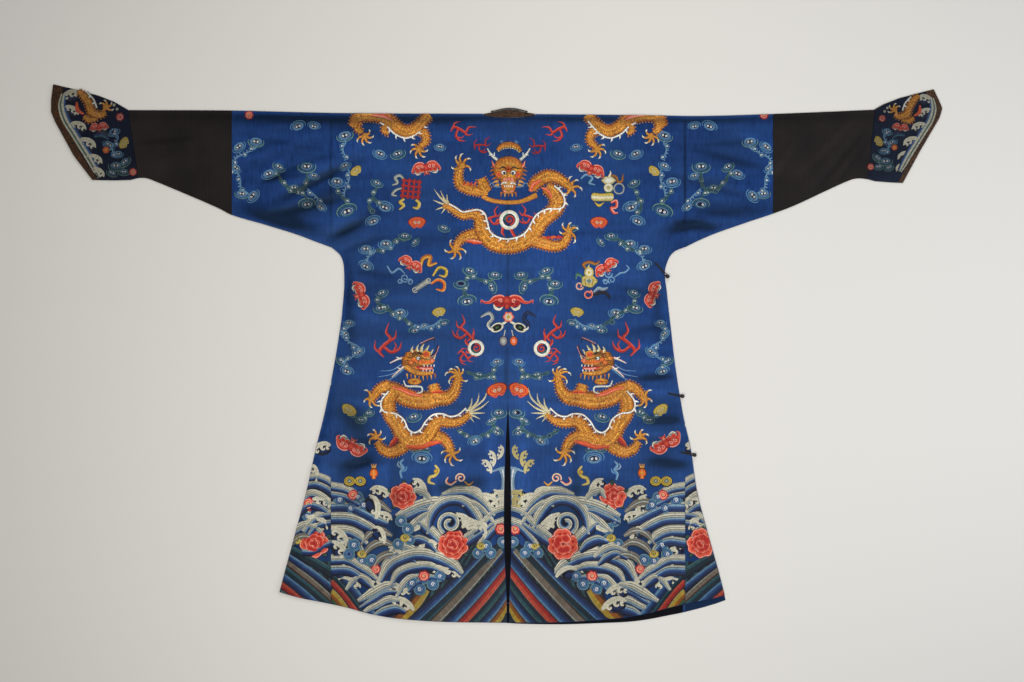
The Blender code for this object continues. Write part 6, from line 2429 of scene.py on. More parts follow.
def pearl(work, spot):
    """A flaming pearl, 8 squares in radius."""
    for turn in (150, 200, 250):
        away = math.radians(turn)
        root = np.array((math.cos(away), math.sin(away))) * 8.6
        bend = root * 1.45 + (1.5, -2.0)
        work.stroke(
            spot, [root * 0.9, bend, root * 1.6 + (3.0, -5.0)], [2.6, 2.2, 0.5], FLAME, lift=0.3, step=0.8
        )
    work.patch(
        spot, (0, 0), 8.2,
        [("cream", 1.0), ("white", 0.9), ("dark_teal", 1.0), ("deep", 1.2), ("mid", 1)], lift=0.4,
        crown=0.7, segments=32,
    )
    work.spiral(
        spot, (0.3, 0), 4.2, 0.8, 1.25, 1.5, [("wine", 0.6), ("red", 1.4), ("coral", 0.8)], start=-110,
        lift=1.2, crown=0.2,
    )
    work.stroke(
        spot, [(-3.4, 1.5), (-1.6, 4.0), (1.6, 4.2)], [1.2, 1.8, 0.8], [("green", 1), ("teal", 1)],
        lift=1.2, crown=0.2,
    )


CLOUD_TONES = {
    "sky": ("cloud", "cloud", "pale"),
    "teal": ("sage", "teal", "pale"),
    "mixed": ("sage", "cloud", "pale"),
}


HEAD_RING = [(-5.8, 0), (-4.0, -3.0), (0, -3.9), (4.0, -3.0), (5.8, 0), (4.0, 2.8), (0, 3.4), (-4.0, 2.8)]
HEAD_UNDER = [(-7.4, -2.4), (-8.2, 0.8), (-5.6, 4.0), (0, 5.4), (5.6, 4.0), (8.2, 0.8), (7.4, -2.4)]


def cloud_head(work, spot, tone="sky"):
    """A cloud's curled head: two pale eyes on dark silk, a ring, and an open line below."""
    outer, middle, inner = CLOUD_TONES[tone]
    work.stroke(
        spot, HEAD_UNDER, [0.4, 0.9, 1.0, 1.0, 1.0, 0.9, 0.4], outer, lift=0.1, crown=0.1, step=1.1,
        vary=0.16,
    )
    work.stroke(spot, HEAD_RING, 1.0, middle, lift=0.1, crown=0.1, step=1.1, closed=True, vary=0.16)
    rings = [(inner, 0.25), ("deep", 0.5), ("navy", 0.8)]
    work.patch(spot, (0, -0.4), 4.9, rings, lift=0.1, crown=0.1, squash=0.58, segments=16)
    for side in (-1, 1):
        work.spiral(
            spot, (side * 1.9, -0.5), 1.0, 0.3, 1.1 * side, 0.6, "white", start=100, lift=0.4, crown=0.1
        )


def full_head(work, spot, rim, main, light):
    """A cloud's head filled with colour."""
    rings = [
        (rim, 0.6), (main, 0.9), (light, 0.5), (rim, 0.3), (main, 0.8), (light, 0.5), (rim, 0.3),
        (main, 1.0),
    ]
    work.patch(spot, (0, -0.5), 8.4, rings, lift=0.2, crown=0.5, squash=0.58, segments=28)
    for x in (-2.0, 2.0):
        work.spiral(
            spot, (x, 0), 1.4, 0.3, 1.2 if x > 0 else -1.2, 0.6, "bone", start=90, lift=0.8, crown=0.1
        )
    work.stroke(
        spot, [(-6, 2.4), (-2.6, 4.8), (0, 3.6), (2.6, 4.8), (6, 2.4)], [0.5, 1.1, 0.8, 1.1, 0.5], light,
        lift=0.5, step=1.0,
    )


def cloud_tail(work, spot, points, tone="teal"):
    """The band that joins cloud heads, with curls beside it."""
    outer, middle, inner = CLOUD_TONES[tone]
    line, _ = smooth_line(points, 1.0)
    beat = np.arange(len(line)) * 0.85
    if tone == "teal":
        bands = [(outer, 0.5), ("dark_teal", 1.2), (middle, 1.4), ("dark_teal", 1.2), (outer, 0.5)]
        widths = [1.4] + [2.6 + 0.9 * math.sin(i * 1.3) for i in range(len(line[::2]) - 2)] + [1.2]
        work.stroke(spot, line[::2], widths, bands, lift=0.08, crown=0.2, step=1.6, vary=0.16)
    else:
        for side in (1, -1):
            wave = line + np.column_stack((np.sin(beat), np.cos(beat))) * 1.5 * side
            work.stroke(
                spot, wave, [0.8, 1.2, 0.8], [(outer, 1), (inner, 0.7)], lift=0.12 + 0.05 * side,
                crown=0.2, step=1.6,
            )
    for i in range(5, len(line) - 3, 11):
        aside = np.array((math.cos(i), math.sin(i) * 0.6 + 0.6)) * 2.4
        at = line[i] + aside
        work.patch(
            spot, at, 2.6, [(outer, 0.6), ("deep", 0.9), (middle, 0.7)], lift=0.2, crown=0.1, segments=12
        )
        work.spiral(spot, at, 1.2, 0.3, 0.9, 0.5, "white", start=i * 30, lift=0.4, crown=0.1)


CloudRow = namedtuple("CloudRow", "kind out down size turn")
CLOUDS = [
    CloudRow("mixed", 252, 30, 1.0, -15),
    CloudRow("sky", 269, 35, 0.8, 20),
    CloudRow("sky", 272, 56, 0.75, -40),
    CloudRow("mixed", 266, 82, 0.85, -20),
    CloudRow("sky", 255, 84, 0.85, 25),
    CloudRow("sky", 239, 62, 0.95, 30),
    CloudRow("teal", 229, 55, 0.95, -20),
    CloudRow("teal", 214, 76, 0.8, 0),
    CloudRow("teal", 201, 55, 1.0, 10),
    CloudRow("sky", 194, 64, 0.8, -30),
    CloudRow("teal", 201, 92, 1.0, 180),
    CloudRow("sky", 187, 95, 0.9, 150),
    CloudRow("sky", 210, 14, 0.9, 180),
    CloudRow("sky", 194, 14, 0.9, 180),
    CloudRow("mixed", 163, 24, 1.1, 0),
    CloudRow("sky", 171, 70, 0.95, -20),
    CloudRow("sky", 163, 54, 0.9, 10),
    CloudRow("yellow", 152, 59, 0.8, 25),
    CloudRow("teal", 161, 99, 1.1, 180),
    CloudRow("teal", 131, 71, 0.9, 0),
    CloudRow("sky", 123, 95, 0.95, 150),
    CloudRow("sky", 135, 109, 1.05, 180),
    CloudRow("sky", 128, 42, 0.8, 0),
    CloudRow("teal", 110, 42, 0.9, 0),
    CloudRow("sky", 68, 35, 0.75, 0),
    CloudRow("teal", 64, 116, 0.85, 0),
    CloudRow("red", 91, 110.5, 0.95, 0),
    CloudRow("sky", 142, 137, 0.8, 0),
    CloudRow("sky", 122, 132, 0.95, 20),
    CloudRow("teal", 103, 124, 0.85, -20),
    CloudRow("teal", 93, 130, 0.7, 60),
    CloudRow("sky", 142, 154, 1.0, 180),
    CloudRow("teal", 126, 181, 0.85, 0),
    CloudRow("teal", 127, 196, 1.0, 20),
    CloudRow("sky", 108, 201, 0.85, 0),
    CloudRow("teal", 93, 218, 0.85, 180),
    CloudRow("sky", 84, 214, 0.7, 0),
    CloudRow("yellow", 69, 200, 0.85, 0),
    CloudRow("teal", 64, 211, 0.7, 180),
    CloudRow("teal", 38, 159, 0.95, 0),
    CloudRow("teal", 13, 163, 0.8, 0),
    CloudRow("teal", 16, 175, 0.75, 90),
    CloudRow("teal", 47, 172, 0.85, 20),
    CloudRow("teal", 41, 189, 1.0, 180),
    CloudRow("sky", 159, 211, 0.8, 0),
    CloudRow("sky", 163, 222, 0.7, -30),
    CloudRow("sky", 149, 240, 0.8, 20),
    CloudRow("teal", 166, 249, 0.8, -20),
    CloudRow("sky", 161, 259, 1.0, 180),
    CloudRow("sky", 11, 250, 0.9, 0),
    CloudRow("teal", 29, 263, 0.85, -20),
    CloudRow("red", 11, 278, 1.15, 0),
    CloudRow("yellow", 159, 298, 0.95, -15),
    CloudRow("teal", 147, 308, 0.8, 20),
    CloudRow("teal", 139, 301, 0.7, 0),
    CloudRow("teal", 94, 305, 0.95, 0),
    CloudRow("sky", 86, 346, 1.1, 180),
    CloudRow("teal", 82, 336, 0.7, 0),
    CloudRow("teal", 92, 336, 0.7, 0),
    CloudRow("teal", 9, 301, 0.85, 0),
    CloudRow("teal", 17, 309, 0.75, 30),
    CloudRow("teal", 11, 320, 0.85, 180),
    CloudRow("sky", 33, 329, 0.8, 180),
]
TailRow = namedtuple("TailRow", "tone points")
TAILS = [
    TailRow("sky", [(252, 35), (262, 40), (273, 46), (274, 56), (269, 66), (268, 76), (261, 82)]),
    TailRow("teal", [(236, 64), (230, 62), (226, 70), (218, 76), (207, 78), (201, 70), (201, 60)]),
    TailRow("teal", [(209, 78), (203, 83), (201, 88)]),
    TailRow("sky", [(201, 78), (194, 84), (188, 90)]),
    TailRow("teal", [(171, 75), (168, 82), (163, 88), (161, 94)]),
    TailRow("sky", [(160, 59), (160, 68), (164, 78), (165, 84)]),
    TailRow("sky", [(163, 30), (166, 38), (162, 48)]),
    TailRow("teal", [(131, 76), (135, 84), (130, 91), (124, 93)]),
    TailRow("teal", [(135, 85), (139, 92), (136, 103)]),
    TailRow("teal", [(142, 140), (133, 139), (122, 136), (112, 128), (102, 128)]),
    TailRow("sky", [(133, 139), (140, 144), (142, 150)]),
    TailRow("teal", [(126, 185), (131, 190), (121, 197), (108, 203), (100, 210), (94, 214)]),
    TailRow("sky", [(94, 214), (84, 216), (74, 214), (66, 208)]),
    TailRow("teal", [(38, 162), (30, 167), (21, 169), (13, 166)]),
    TailRow("teal", [(36, 164), (42, 168), (45, 178), (41, 185)]),
    TailRow("sky", [(159, 214), (166, 220), (160, 230), (150, 236), (156, 244), (165, 250), (161, 256)]),
    TailRow("teal", [(11, 254), (16, 261), (24, 264), (36, 262), (43, 259)]),
    TailRow("teal", [(16, 261), (13, 267), (11, 273)]),
    TailRow("teal", [(158, 300), (150, 306), (142, 303), (137, 294)]),
    TailRow("teal", [(9, 304), (16, 310), (13, 317), (22, 321), (32, 326), (44, 322), (52, 317)]),
    TailRow("teal", [(92, 334), (86, 338), (82, 334)]),
]


def nearer(half, out):
    """The right half's side and sleeve end a little nearer the centre seam."""
    return out * 0.96 if half.flip > 0 and out > 130 else out


def embroider_clouds(work, half):
    for row in TAILS:
        points = [(nearer(half, out), down) for out, down in row.points]
        cloud_tail(work, half, points, row.tone)
    for row in CLOUDS:
        size = row.size * (1 + 0.14 * math.sin(row.out * 1.7 + row.down))
        turn = row.turn + 22 * math.sin(row.out * 0.9 + row.down * 2.3)
        spot = laid_on(half, nearer(half, row.out), row.down, size, turn)
        if row.kind == "red":
            full_head(work, spot, "wine", "orange", "coral")
        elif row.kind == "yellow":
            full_head(work, spot, "olive", "yellow", "straw")
        else:
            cloud_head(work, spot, row.kind)


def wide_bat(work, spot):
    """The bat over the centre emblem, its wings drawn out to thin curled tips, 52 squares across."""
    for sign in (-1, 1):
        wing = [("wine", 0.4), ("coral", 1.0), ("red", 1.1), ("coral", 0.6), ("pink", 0.5)]
        for x, y, size in ((5.4, 2.2, 3.5), (10.4, 2.2, 3.1)):
            work.patch(
                spot, (sign * x, y), size, [("wine", 0.5), ("red", 1.2), ("wine", 1.0)], lift=0.2,
                crown=0.3, segments=16,
            )
        arm = [
            (sign * 0.5, -0.6), (sign * 6, -4.0), (sign * 12, -3.2), (sign * 17, 0.2), (sign * 22, 0.6),
            (sign * 25.6, -1.6), (sign * 25.6, 1.8),
        ]
        work.stroke(
            spot, arm, [5.0, 6.4, 5.8, 3.2, 2.0, 1.6, 0.5], wing if sign > 0 else wing[::-1], lift=0.35,
            step=0.9,
        )
        work.spiral(
            spot, (sign * 7, -1.6), 2.2, 0.4, 1.2 * sign, 0.8, "pink", start=70, lift=0.9, crown=0.1
        )
        crescent = [(sign * 4.0, 5.0), (sign * 7.6, 7.4), (sign * 11.6, 6.0), (sign * 13.4, 2.6)]
        work.stroke(spot, crescent, [0.5, 2.6, 2.8, 0.6], "cream", lift=0.5, step=0.8)
    work.patch(spot, (0, -1.4), 4.8, [("wine", 0.5), ("red", 1.3), ("coral", 1.2)], lift=0.5, crown=0.6)
    work.patch(
        spot, (0, 4.2), 2.6, [("wine", 0.5), ("red", 1.2), ("coral", 1)], lift=0.8, crown=0.4, squash=1.3
    )


def bat(work, spot, light="pink"):
    """A bat with spread wings, 32 squares across."""
    for sign in (-1, 1):
        wing = [("wine", 0.4), ("red", 1.0), ("coral", 1.2), ("red", 0.8), (light, 0.6)]
        for x, y, size in ((4.6, 1.6, 3.3), (9.2, 2.0, 3.1)):
            work.patch(
                spot, (sign * x, y), size, [("bone", 0.6), ("wine", 0.4), ("coral", 1.0), ("red", 1.2)],
                lift=0.2, crown=0.3, segments=16,
            )
        arm = [
            (sign * 0.5, 0.5), (sign * 4.5, -3.4), (sign * 9.0, -3.4), (sign * 12.6, -0.6),
            (sign * 14.6, 2.6), (sign * 12.6, 4.6),
        ]
        work.stroke(
            spot, arm, [4.4, 6.4, 6.2, 3.6, 2.2, 0.6], wing if sign > 0 else wing[::-1], lift=0.35,
            step=0.9,
        )
        for x in (4.4, 8.6):
            work.spiral(
                spot, (sign * x, -1.8), 1.9, 0.3, 1.2 * sign, 0.7, light, start=70, lift=0.9, crown=0.1
            )
        work.stroke(spot, [(sign * 1.2, 5.0), (sign * 3.0, 7.8)], [1.2, 0.4], "coral", lift=0.5, step=0.8)
        work.stroke(
            spot, [(sign * 6, 5.4), (sign * 10, 6.0), (sign * 12.4, 3.4)], [0.5, 1.2, 0.5], "cream",
            lift=0.45, step=0.9,
        )
    work.patch(
        spot, (0, -0.6), 3.8, [("wine", 0.5), ("red", 1.3), ("coral", 1.2)], lift=0.5, crown=0.6,
        squash=1.1,
    )
    work.patch(spot, (0, 4.6), 2.6, [("wine", 0.5), ("coral", 1.2), (light, 1)], lift=0.8, crown=0.4)
    for x in (-1.0, 1.0):
        work.patch(spot, (x, 5.0), 0.6, "soot", lift=1.2, crown=0.05, segments=8)


def ribbon(work, spot, points, tints, width=2.2, lift=0.3):
    width *= 1.3
    work.stroke(
        spot, points, [width * 0.6] + [width] * (len(points) - 2) + [width * 0.4], tints, lift=lift,
        step=1.0,
    )


def endless_knot(work, spot):
    """A dark red knot with grey ribbons and yellow tassels."""
    dark = [("wine", 1), ("red", 1.2), ("wine", 0.8)]
    for i in (-1.5, -0.5, 0.5, 1.5):
        work.stroke(spot, [(-10.5, 5.4 * i), (10.5, 5.4 * i)], 2.7, dark, lift=0.4, vary=0.15)
    for i in (-1.5, -0.5, 0.5, 1.5):
        work.stroke(spot, [(5.4 * i, -10.5), (5.4 * i, 10.5)], 2.7, dark, lift=0.5, vary=0.15)
    grey = [("line", 0.5), ("grey", 1), ("bone", 1), ("line", 0.4)]
    ribbon(work, spot, [(-8, -9), (-13, -13), (-18, -10), (-15, -5), (-20, -2)], grey, 2.8)
    ribbon(work, spot, [(-10, 0), (-16, 3), (-19, 8), (-14, 9)], grey, 2.6)
    gold = [("olive", 0.5), ("yellow", 1.2), ("straw", 0.8)]
    ribbon(work, spot, [(-6, 11), (-10, 15), (-6, 18), (-10, 23)], gold, 2.8)
    ribbon(work, spot, [(6, 11), (10, 14), (9, 19), (4, 19)], gold, 2.8)


def parasol(work, spot):
    """A cream canopy on a round base, over a long pale bar, with ribbons."""
    cream = [("line", 0.4), ("straw", 0.8), ("cream", 1.4), ("white", 0.8)]
    work.patch(
        spot, (6.6, -12.6), 7.6, cream, lift=0.4, crown=0.6, squash=0.56, lobes=6, depth=0.08, segments=32
    )
    work.stroke(spot, [(7, -16), (8.6, -20), (8.0, -22)], [2.4, 1.4, 0.4], "cream", lift=0.5, step=0.8)
    work.patch(
        spot, (6.4, -5.2), 5.0, [("olive", 0.4), ("cream", 1.4), ("straw", 1.0)], lift=0.5, crown=0.6
    )
    work.stroke(spot, [(3.4, -0.6), (9.4, -0.6)], 1.6, "green", lift=0.6)
    bar = [
        ("olive", 0.5), ("straw", 1.2), ("cream", 1.2), ("straw", 1.0), ("yellow", 0.7), ("olive", 0.4)
    ]
    work.stroke(
        spot, [(-10.6, 4), (-8, 4), (0, 4.4), (9, 4), (11.6, 4)], [4.5, 9, 8, 9, 4.5], bar, lift=0.5,
        crown=0.6,
    )
    work.stroke(
        spot, [(-7.4, 9.4), (-3, 12.8), (2.0, 9.6)], [0.6, 3.0, 0.6], [("olive", 0.4), ("yellow", 1.2)],
        lift=0.4,
    )
    work.spiral(
        spot, (17, -4.4), 5.0, 4.6, 1.0, 1.7, [("line", 0.4), ("grey", 1), ("bone", 0.8)], start=30,
        lift=0.4,
    )
    ribbon(
        work, spot, [(9, 10), (14, 8), (14, 14), (9, 15), (12, 20), (16, 20)],
        [("wine", 0.4), ("coral", 1), ("pink", 0.9)], 2.2,
    )
    ribbon(
        work, spot, [(9, -18), (14, -16), (16, -11), (20, -12), (21, -19)],
        [("brown", 0.5), ("ochre", 1.2), ("olive", 0.6)], 2.0,
    )
    ribbon(
        work, spot, [(-21, -14), (-16, -18), (-10, -15), (-13, -10), (-7, -8)],
        [("teal", 0.6), ("sky", 1), ("pale", 0.8)], 2.0,
    )


def mixed_emblem(work, spot):
    """A scroll and flame among loose ribbons."""
    pale = [("mid", 0.6), ("sky", 1), ("pale", 0.8)]
    ribbon(work, spot, [(-33, -13), (-28, -6), (-21, -10), (-15, -5)], pale, 1.8)
    for x, y, reach, start in ((-15, -1, 4.0, 60), (-10, 3, 3.0, 200), (-20, 2, 2.6, 300)):
        work.spiral(spot, (x, y), reach, 0.8, 1.3, 1.4, pale, start=start, lift=0.25)
    work.stroke(
        spot, [(-4, 10), (8, 2)], [6, 6.5],
        [("line", 0.6), ("grey", 1), ("bone", 1.2), ("grey", 1), ("line", 0.6)], lift=0.5,
    )
    for x, y in ((-5, 10.6), (9, 1.4)):
        work.spiral(spot, (x, y), 3.0, 0.5, 1.3, 1.0, "bone", start=40, lift=0.8)
    ribbon(
        work, spot, [(0, -9), (3, -20), (10, -22), (9, -14), (17, -16)],
        [("brown", 0.5), ("amber", 1.2), ("ochre", 1)], 3.6,
    )
    ribbon(
        work, spot, [(13, -3), (19, -11), (26, -9), (25, -3), (19, -4)],
        [("olive", 0.5), ("yellow", 1.2)], 2.4,
    )
    ribbon(
        work, spot, [(11, 5), (18, 1), (24, 4), (23, 11), (16, 10)],
        [("brown", 0.4), ("orange", 1.2), ("amber", 0.8)], 2.6,
    )


def yellow_emblem(work, spot):
    """A yellow flask with a bud, loops and ribbons round it."""
    pale = [("mid", 0.6), ("sky", 1), ("pale", 0.8)]
    for x, y, reach, start in ((20, -8, 4.4, 0), (24, -1, 4.0, 120), (17, 1, 2.6, 200)):
        work.spiral(spot, (x, y), reach, 0.8, 1.3, 1.5, pale, start=start, lift=0.25)
    ribbon(work, spot, [(27, -4), (33, -8), (38, -9), (42, -13), (39, -17)], pale, 1.5)
    ribbon(
        work, spot, [(5, 12), (10, 8), (15, 9), (20, 7)], [("line", 0.5), ("grey", 1), ("pale", 0.8)], 3.0
    )
    ribbon(
        work, spot, [(4, 15), (10, 13), (16, 12), (20, 15), (22, 19)],
        [("navy", 1), ("soot", 0.8), ("navy", 0.6)], 2.8,
    )
    work.spiral(
        spot, (-10, 5), 4.2, 1.6, 1.1, 1.8, [("wine", 0.4), ("pink", 1), ("bone", 0.8)], start=20,
        lift=0.3,
    )
    work.spiral(
        spot, (-1, 14), 4.6, 2.2, 1.1, 2.0, [("wine", 0.4), ("coral", 1), ("pink", 1)], start=-60,
        lift=0.3,
    )
    ribbon(
        work, spot, [(-2, -12), (-6, -17), (0, -20), (7, -18), (11, -21)],
        [("olive", 0.5), ("ochre", 1.2), ("brown", 0.6)], 2.6,
    )
    ribbon(work, spot, [(-6, -4), (-12, -7), (-14, -2)], [("green", 1), ("sage", 0.8)], 2.4)
    work.patch(
        spot, (0, 0), 8.6,
        [("olive", 0.5), ("straw", 1.1), ("yellow", 0.9), ("bone", 0.8), ("sage", 0.9)], lift=0.4,
        crown=0.6, squash=0.8, lobes=5, depth=0.08, segments=30,
    )
    work.patch(
        spot, (0, -9), 5.2, [("olive", 0.4), ("straw", 1.2), ("cream", 1.2), ("yellow", 0.8)], lift=0.6,
        crown=0.6, squash=1.15,
    )
    work.stroke(spot, [(0, -12), (-0.6, -15), (0.6, -17.4)], [2.6, 1.6, 0.4], "straw", lift=0.8, step=0.8)
    for x in (-3.4, 0, 3.4):
        work.stroke(spot, [(x * 1.3, -2.6), (x, 4.6)], 0.7, "olive", lift=1.0, crown=0.1)


def musical_stone(work, spot):
    """The centre emblem: a flower over two dark drops with tassels and ribbons."""
    work.patch(
        spot, (0, 0), 5.2, [("coral", 0.6), ("pink", 0.8), ("cream", 2.0)], lift=0.5, lobes=6, depth=0.1,
        segments=30,
    )
    work.patch(spot, (0, 0), 1.8, "yellow", lift=0.9, segments=10)
    drop = [("line", 0.3), ("cream", 1.3), ("soot", 2.4), ("green", 1.0)]
    for sign in (-1, 1):
        work.stroke(spot, [(sign * 2, 4.6), (sign * 6, 7)], [1.8, 2.6], "cream", lift=0.3)
        work.patch(spot, (sign * 11.5, 10.5), 7.2, drop, lift=0.4, crown=0.2, squash=0.64, turn=sign * 24)
        work.stroke(
            spot, [(sign * 15, 13), (sign * 19, 11.5), (sign * 20, 8)], [2.0, 2.0, 0.6], "cream", lift=0.5
        )
        work.stroke(spot, [(sign * 3.2, 13), (sign * 4.6, 19)], 1.0, "bone", lift=0.4)
        tints = ("orange", "pink") if sign > 0 else ("grey", "bone")
        rings = [("brown", 0.4), (tints[0], 1.1), (tints[1], 1)]
        work.patch(spot, (sign * 5.2, 24), 4.0, rings, lift=0.5, squash=1.25, segments=18)
        scroll = [
            (sign * 15.6, 13), (sign * 20, 8), (sign * 15.6, 1.4), (sign * 19.4, -4.2), (sign * 28, 0)
        ]
        edge = [("navy", 0.6), ("deep", 1), ("navy", 0.8)] if sign > 0 else [
            ("line", 0.5), ("grey", 1), ("bone", 0.9)
        ]
        ribbon(work, spot, scroll, edge, 3.0)


def sprig(work, spot):
    ribbon(
        work, spot, [(0, 10), (-1, 4), (2, 0), (-1, -5), (2, -9)],
        [("mid", 0.6), ("sky", 1), ("pale", 0.8)], 2.4,
    )
    ribbon(work, spot, [(0, 4), (4, 2), (5, -2)], [("mid", 0.6), ("sky", 1)], 1.8)
    ribbon(work, spot, [(0, 0), (-4, -3), (-3, -7)], [("mid", 0.6), ("pale", 1)], 1.8)


def coral_curl(work, spot):
    work.spiral(
        spot, (2, 0), 5.5, 1.0, 1.4, 2.0, [("ochre", 0.6), ("pink", 1), ("cream", 1)], start=160, lift=0.4
    )
    ribbon(
        work, spot, [(-3, 3), (-9, 7), (-14, 4), (-12, -1)], [("wine", 0.5), ("pink", 1), ("bone", 0.8)],
        2.4,
    )
    ribbon(work, spot, [(6, 4), (11, 8), (16, 4)], [("brown", 0.5), ("amber", 1)], 2.2)


def drop(work, spot):
    ribbon(
        work, spot, [(0, -8), (3, -3), (0, 2), (-5, 4), (-6, 9), (0, 11)],
        [("olive", 0.5), ("straw", 1), ("yellow", 0.8)], 2.6,
    )
    work.patch(spot, (1, -2), 2.4, [("olive", 0.6), ("amber", 1)], lift=0.5, segments=12)


EmblemRow = namedtuple("EmblemRow", "motif across below size turn flip")
EMBLEMS = [
    EmblemRow(bat, -82, 56, 0.95, -8, 1),
    EmblemRow(bat, 83, 57, 0.95, 22, 1),
    EmblemRow(wide_bat, -1, 190, 1.0, 0, 1),
    EmblemRow(bat, -97, 152, 0.85, 30, 1),
    EmblemRow(bat, 98, 155, 0.85, -35, 1),
    EmblemRow(bat, -147, 183, 0.95, 70, 1),
    EmblemRow(bat, 144.5, 182, 0.9, -70, 1),
    EmblemRow(bat, -157, 334, 1.1, 205, 1),
    EmblemRow(bat, 158, 331, 1.1, 150, 1),
    EmblemRow(endless_knot, -97, 77, 0.95, 6, 1),
    EmblemRow(parasol, 94, 81, 1.0, 0, 1),
    EmblemRow(mixed_emblem, -88, 167, 1.0, 0, 1),
    EmblemRow(yellow_emblem, 81, 169, 0.95, 0, 1),
    EmblemRow(musical_stone, 0.5, 205, 1.0, 0, 1),
    EmblemRow(flame, -121, 229, 1.25, -12, 1),
    EmblemRow(flame, 119, 228, 1.25, 12, -1),
    EmblemRow(flame, -44, 217, 1.0, 10, -1),
    EmblemRow(flame, 46, 217, 1.0, -10, 1),
    EmblemRow(flame, -41, 244, 0.75, 80, 1),
    EmblemRow(flame, 43, 244, 0.75, -80, -1),
    EmblemRow(flame, -45, 18, 0.95, 60, 1),
    EmblemRow(flame, 47, 18, 0.95, -60, -1),
    EmblemRow(pearl, -32, 236, 1.0, 0, 1),
    EmblemRow(pearl, 34, 236.5, 1.0, 0, -1),
    EmblemRow(pearl, 1.2, 108, 1.2, 150, -1),
    EmblemRow(flame, -15, 104, 0.8, 10, 1),
    EmblemRow(flame, 19, 103, 0.8, -10, -1),
    EmblemRow(sprig, -106, 356, 1.0, 0, 1),
    EmblemRow(sprig, 108, 358, 1.0, 0, -1),
    EmblemRow(drop, -73, 361, 1.0, 0, 1),
    EmblemRow(drop, 74, 362, 1.0, 0, -1),
    EmblemRow(coral_curl, -49, 366, 0.9, 0, 1),
    EmblemRow(coral_curl, 50, 366, 0.9, 0, -1),
    EmblemRow(rosette, -259, 3, 0.9, 0, 1),
    EmblemRow(rosette, 256, 3, 0.9, 0, 1),
]
DARK_FLAMES = [
    EmblemRow(flame, -25.5, 32, 0.75, 30, 1),
    EmblemRow(flame, 29, 33, 0.75, -30, -1),
]


def embroider_emblems(work):
    for row in EMBLEMS:
        row.motif(work, Spot(row.across, row.below, row.size, row.turn, row.flip))
    for row in DARK_FLAMES:
        row.motif(work, Spot(row.across, row.below, row.size, row.turn, row.flip), DARK_FLAME)


CUFFS = (Spot(flip=-1), Spot(across=32.6, below=2, size=0.88, flip=1))


def embroider_cuff(work, half):
    """Waves along the mouth, and a small dragon, a bat and clouds beside them."""
    work.region = "cuff"
    work.light = CUFF_LIGHT
    band = [
        ("navy", 0.6), ("mid", 1.2), ("pale", 0.6), ("cream", 1.5), ("line", 0.4), ("sage", 0.8),
        ("cream", 1.2),
    ]
    mouth = [(444, -18), (445.5, -6), (442, 7), (434, 20), (426, 33), (418.5, 45), (412, 57), (408, 65)]
    work.stroke(half, mouth, [6, 9, 9, 9, 9, 9, 8, 5], band, lift=0.1, crown=0.5, step=1.2)
    for out, down, turn, size, flip in (
        (438, -17, -20, 0.95, -1), (436, -2, -70, 0.8, -1), (430, 14, -55, 0.9, -1),
        (421, 31, -60, 1.0, -1), (413, 47, -65, 0.85, -1), (409, 60, -80, 0.7, -1),
    ):
        foam(work, laid_on(half, out, down, size, turn, flip))
    trunk(
        work, half, [(430, -21), (424, -16), (419, -8), (416, 0), (408, 3), (402, 0)],
        [5, 8, 8.5, 9, 7, 4], lift=0.4,
    )
    trunk(work, half, [(424, 4), (419, 8), (411, 7)], [4, 6, 3], lift=0.3)
    work.stroke(
        half, [(431, -10), (430, -2), (424, 2)], [2, 5, 2], [("wine", 0.5), ("orange", 1), ("coral", 1)],
        lift=0.6,
    )
    claw(work, half, (402, -5), [(408, -9), (403, -12), (396, -9), (395, -2), (404, 1)])
    spine(work, half, [(421, -20), (414, -12), (411, -4)], 1)
    for out, down in ((391, -3), (394, -7)):
        work.patch(half, (out, down), 1.5, "bone", lift=0.3, segments=9)
    bat(work, laid_on(half, 409, 15, 0.62, 8))
    rosette(work, laid_on(half, 388, 5, 0.85), "wine", "red", "wine")
    work.stroke(
        half, [(414, 24), (405, 22), (399, 27)], [3, 7, 3], [("navy", 1), ("deep", 1.2), ("teal", 1)],
        lift=0.1,
    )
    cloud_tail(work, half, [(396, 18), (391, 26), (397, 36), (392, 44)], "sky")
    for out, down, size, turn in ((394, 20, 0.75, 20), (399, 33, 0.8, -30), (390, 42, 0.7, 0)):
        cloud_head(work, laid_on(half, out, down, size, turn), "sky")
    full_head(work, laid_on(half, 384, 31, 0.8, 60), "olive", "yellow", "straw")
    work.patch(half, (402, 38), 3.8, [("brown", 0.6), ("orange", 1.1), ("amber", 0.8)], lift=0.3)
    for out, down, size, turn in (
        (392, 54, 0.95, 0), (383, 50, 0.8, 40), (396, 61, 0.7, -20), (384, 60, 0.7, 0)
    ):
        cloud_head(work, laid_on(half, out, down, size, turn), "teal")
    rosette(work, laid_on(half, 375, 60, 0.8))


def embroider():
    """Every family of motifs, each in one mesh."""
    silk = silk_thread("silk_thread", 0.0011, 0.5, 0.42)
    gold = gold_thread("gold_thread", 0.0040)
    stripes = Needlework("stripes")
    waves = Needlework("waves")
    in_waves = Needlework("wave_motifs")
    clouds = Needlework("clouds")
    emblems = Needlework("emblems")
    dragons = Needlework("dragons")
    cuffs = Needlework("cuff_motifs")
    for half in HALVES:
        embroider_stripes(stripes, half)
        embroider_waves(waves, half)
        embroider_vortex(waves, half)
        embroider_foam(waves, half)
        embroider_pillar(waves, half)
        embroider_in_waves(in_waves, half)
        embroider_clouds(clouds, half)
        side_dragon(dragons, half)
        shoulder_dragon(dragons, half)
    front_dragon(dragons, Spot())
    for half in CUFFS:
        embroider_cuff(cuffs, half)
    embroider_emblems(emblems)
    for work in (stripes, waves, in_waves, clouds, emblems, cuffs):
        work.make(silk)
    dragons.make(gold)


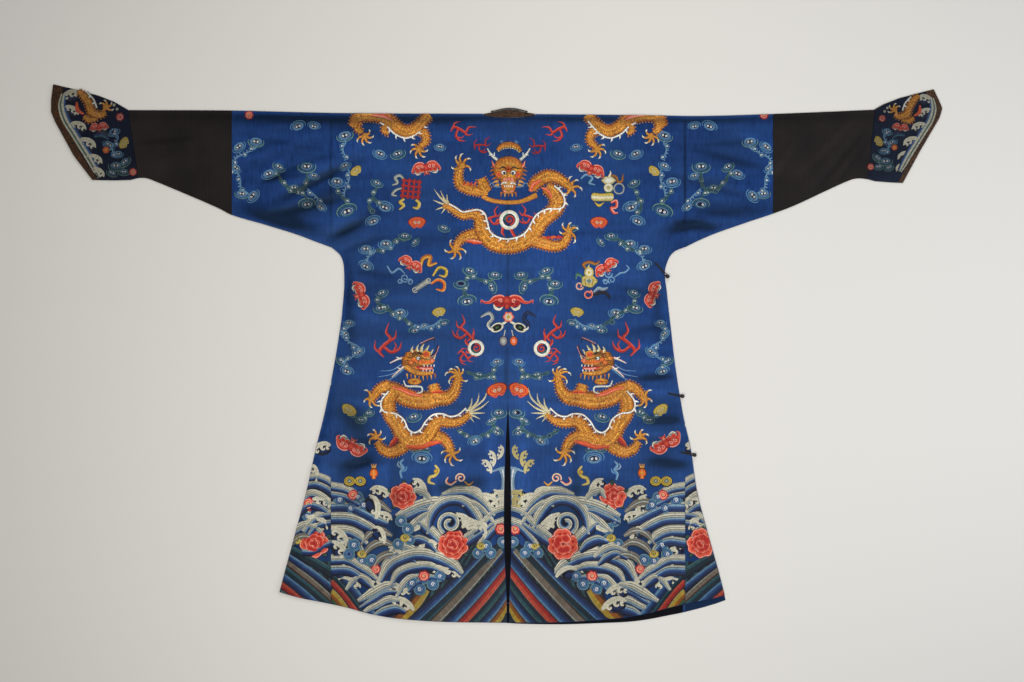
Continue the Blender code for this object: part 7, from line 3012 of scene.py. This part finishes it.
# The picture: a camera straight above, three soft lights, and a pale floor
LENS = 50
SENSOR = 36
PICTURE_WIDTH = 1024 * GRID
LOOKS_AT = Vector((0.0366, 0.0316, 0.006))


def make_floor():
    bpy.ops.object.select_all(action="DESELECT")
    bpy.ops.mesh.primitive_plane_add(size=14)
    floor = bpy.context.object
    floor.name = "floor"
    material, n, shader = new_material("pale_floor")
    vector = object_vector(n)
    colour = n.mix(n.noise(vector, 0.7, 1.0), linear(206, 203, 197), linear(212, 209, 204))
    n.feed(shader.inputs["Base Color"], colour)
    shader.inputs["Roughness"].default_value = 0.9
    shader.inputs["Specular IOR Level"].default_value = 0.1
    floor.data.materials.append(material)
    return floor


def make_camera():
    data = bpy.data.cameras.new("camera")
    data.lens, data.sensor_width = LENS, SENSOR
    camera = bpy.data.objects.new("camera", data)
    camera.location = LOOKS_AT + Vector((0, 0, PICTURE_WIDTH * LENS / SENSOR))
    bpy.context.scene.collection.objects.link(camera)
    bpy.context.scene.camera = camera


LightRow = namedtuple("LightRow", "name x y z size power red green blue")
LIGHTS = [
    LightRow("key", 0.3, 1.6, 1.7, 1.0, 13.5, 1.0, 0.985, 0.96),
    LightRow("fill", -0.1, -0.45, 2.2, 1.5, 39, 1.0, 0.98, 0.94),
    LightRow("window", 2.3, 0.0, 1.5, 1.2, 27, 0.86, 0.92, 1.0),
]


def make_lights():
    for row in LIGHTS:
        data = bpy.data.lights.new(row.name, "AREA")
        data.size, data.energy = row.size, row.power
        data.color = (row.red, row.green, row.blue)
        light = bpy.data.objects.new(row.name, data)
        light.location = (row.x, row.y, row.z)
        light.rotation_euler = (-light.location).to_track_quat("-Z", "Y").to_euler()
        bpy.context.scene.collection.objects.link(light)
    world = bpy.data.worlds.new("studio")
    world.use_nodes = True
    back = world.node_tree.nodes["Background"]
    back.inputs["Color"].default_value = (0.86, 0.88, 0.90, 1)
    back.inputs["Strength"].default_value = 0.24
    bpy.context.scene.world = world
    bpy.context.scene.view_settings.view_transform = "Standard"


def main():
    share_groups()
    made = make_cloth()
    make_cords()
    embroider()
    make_floor()
    make_camera()
    make_lights()


main()
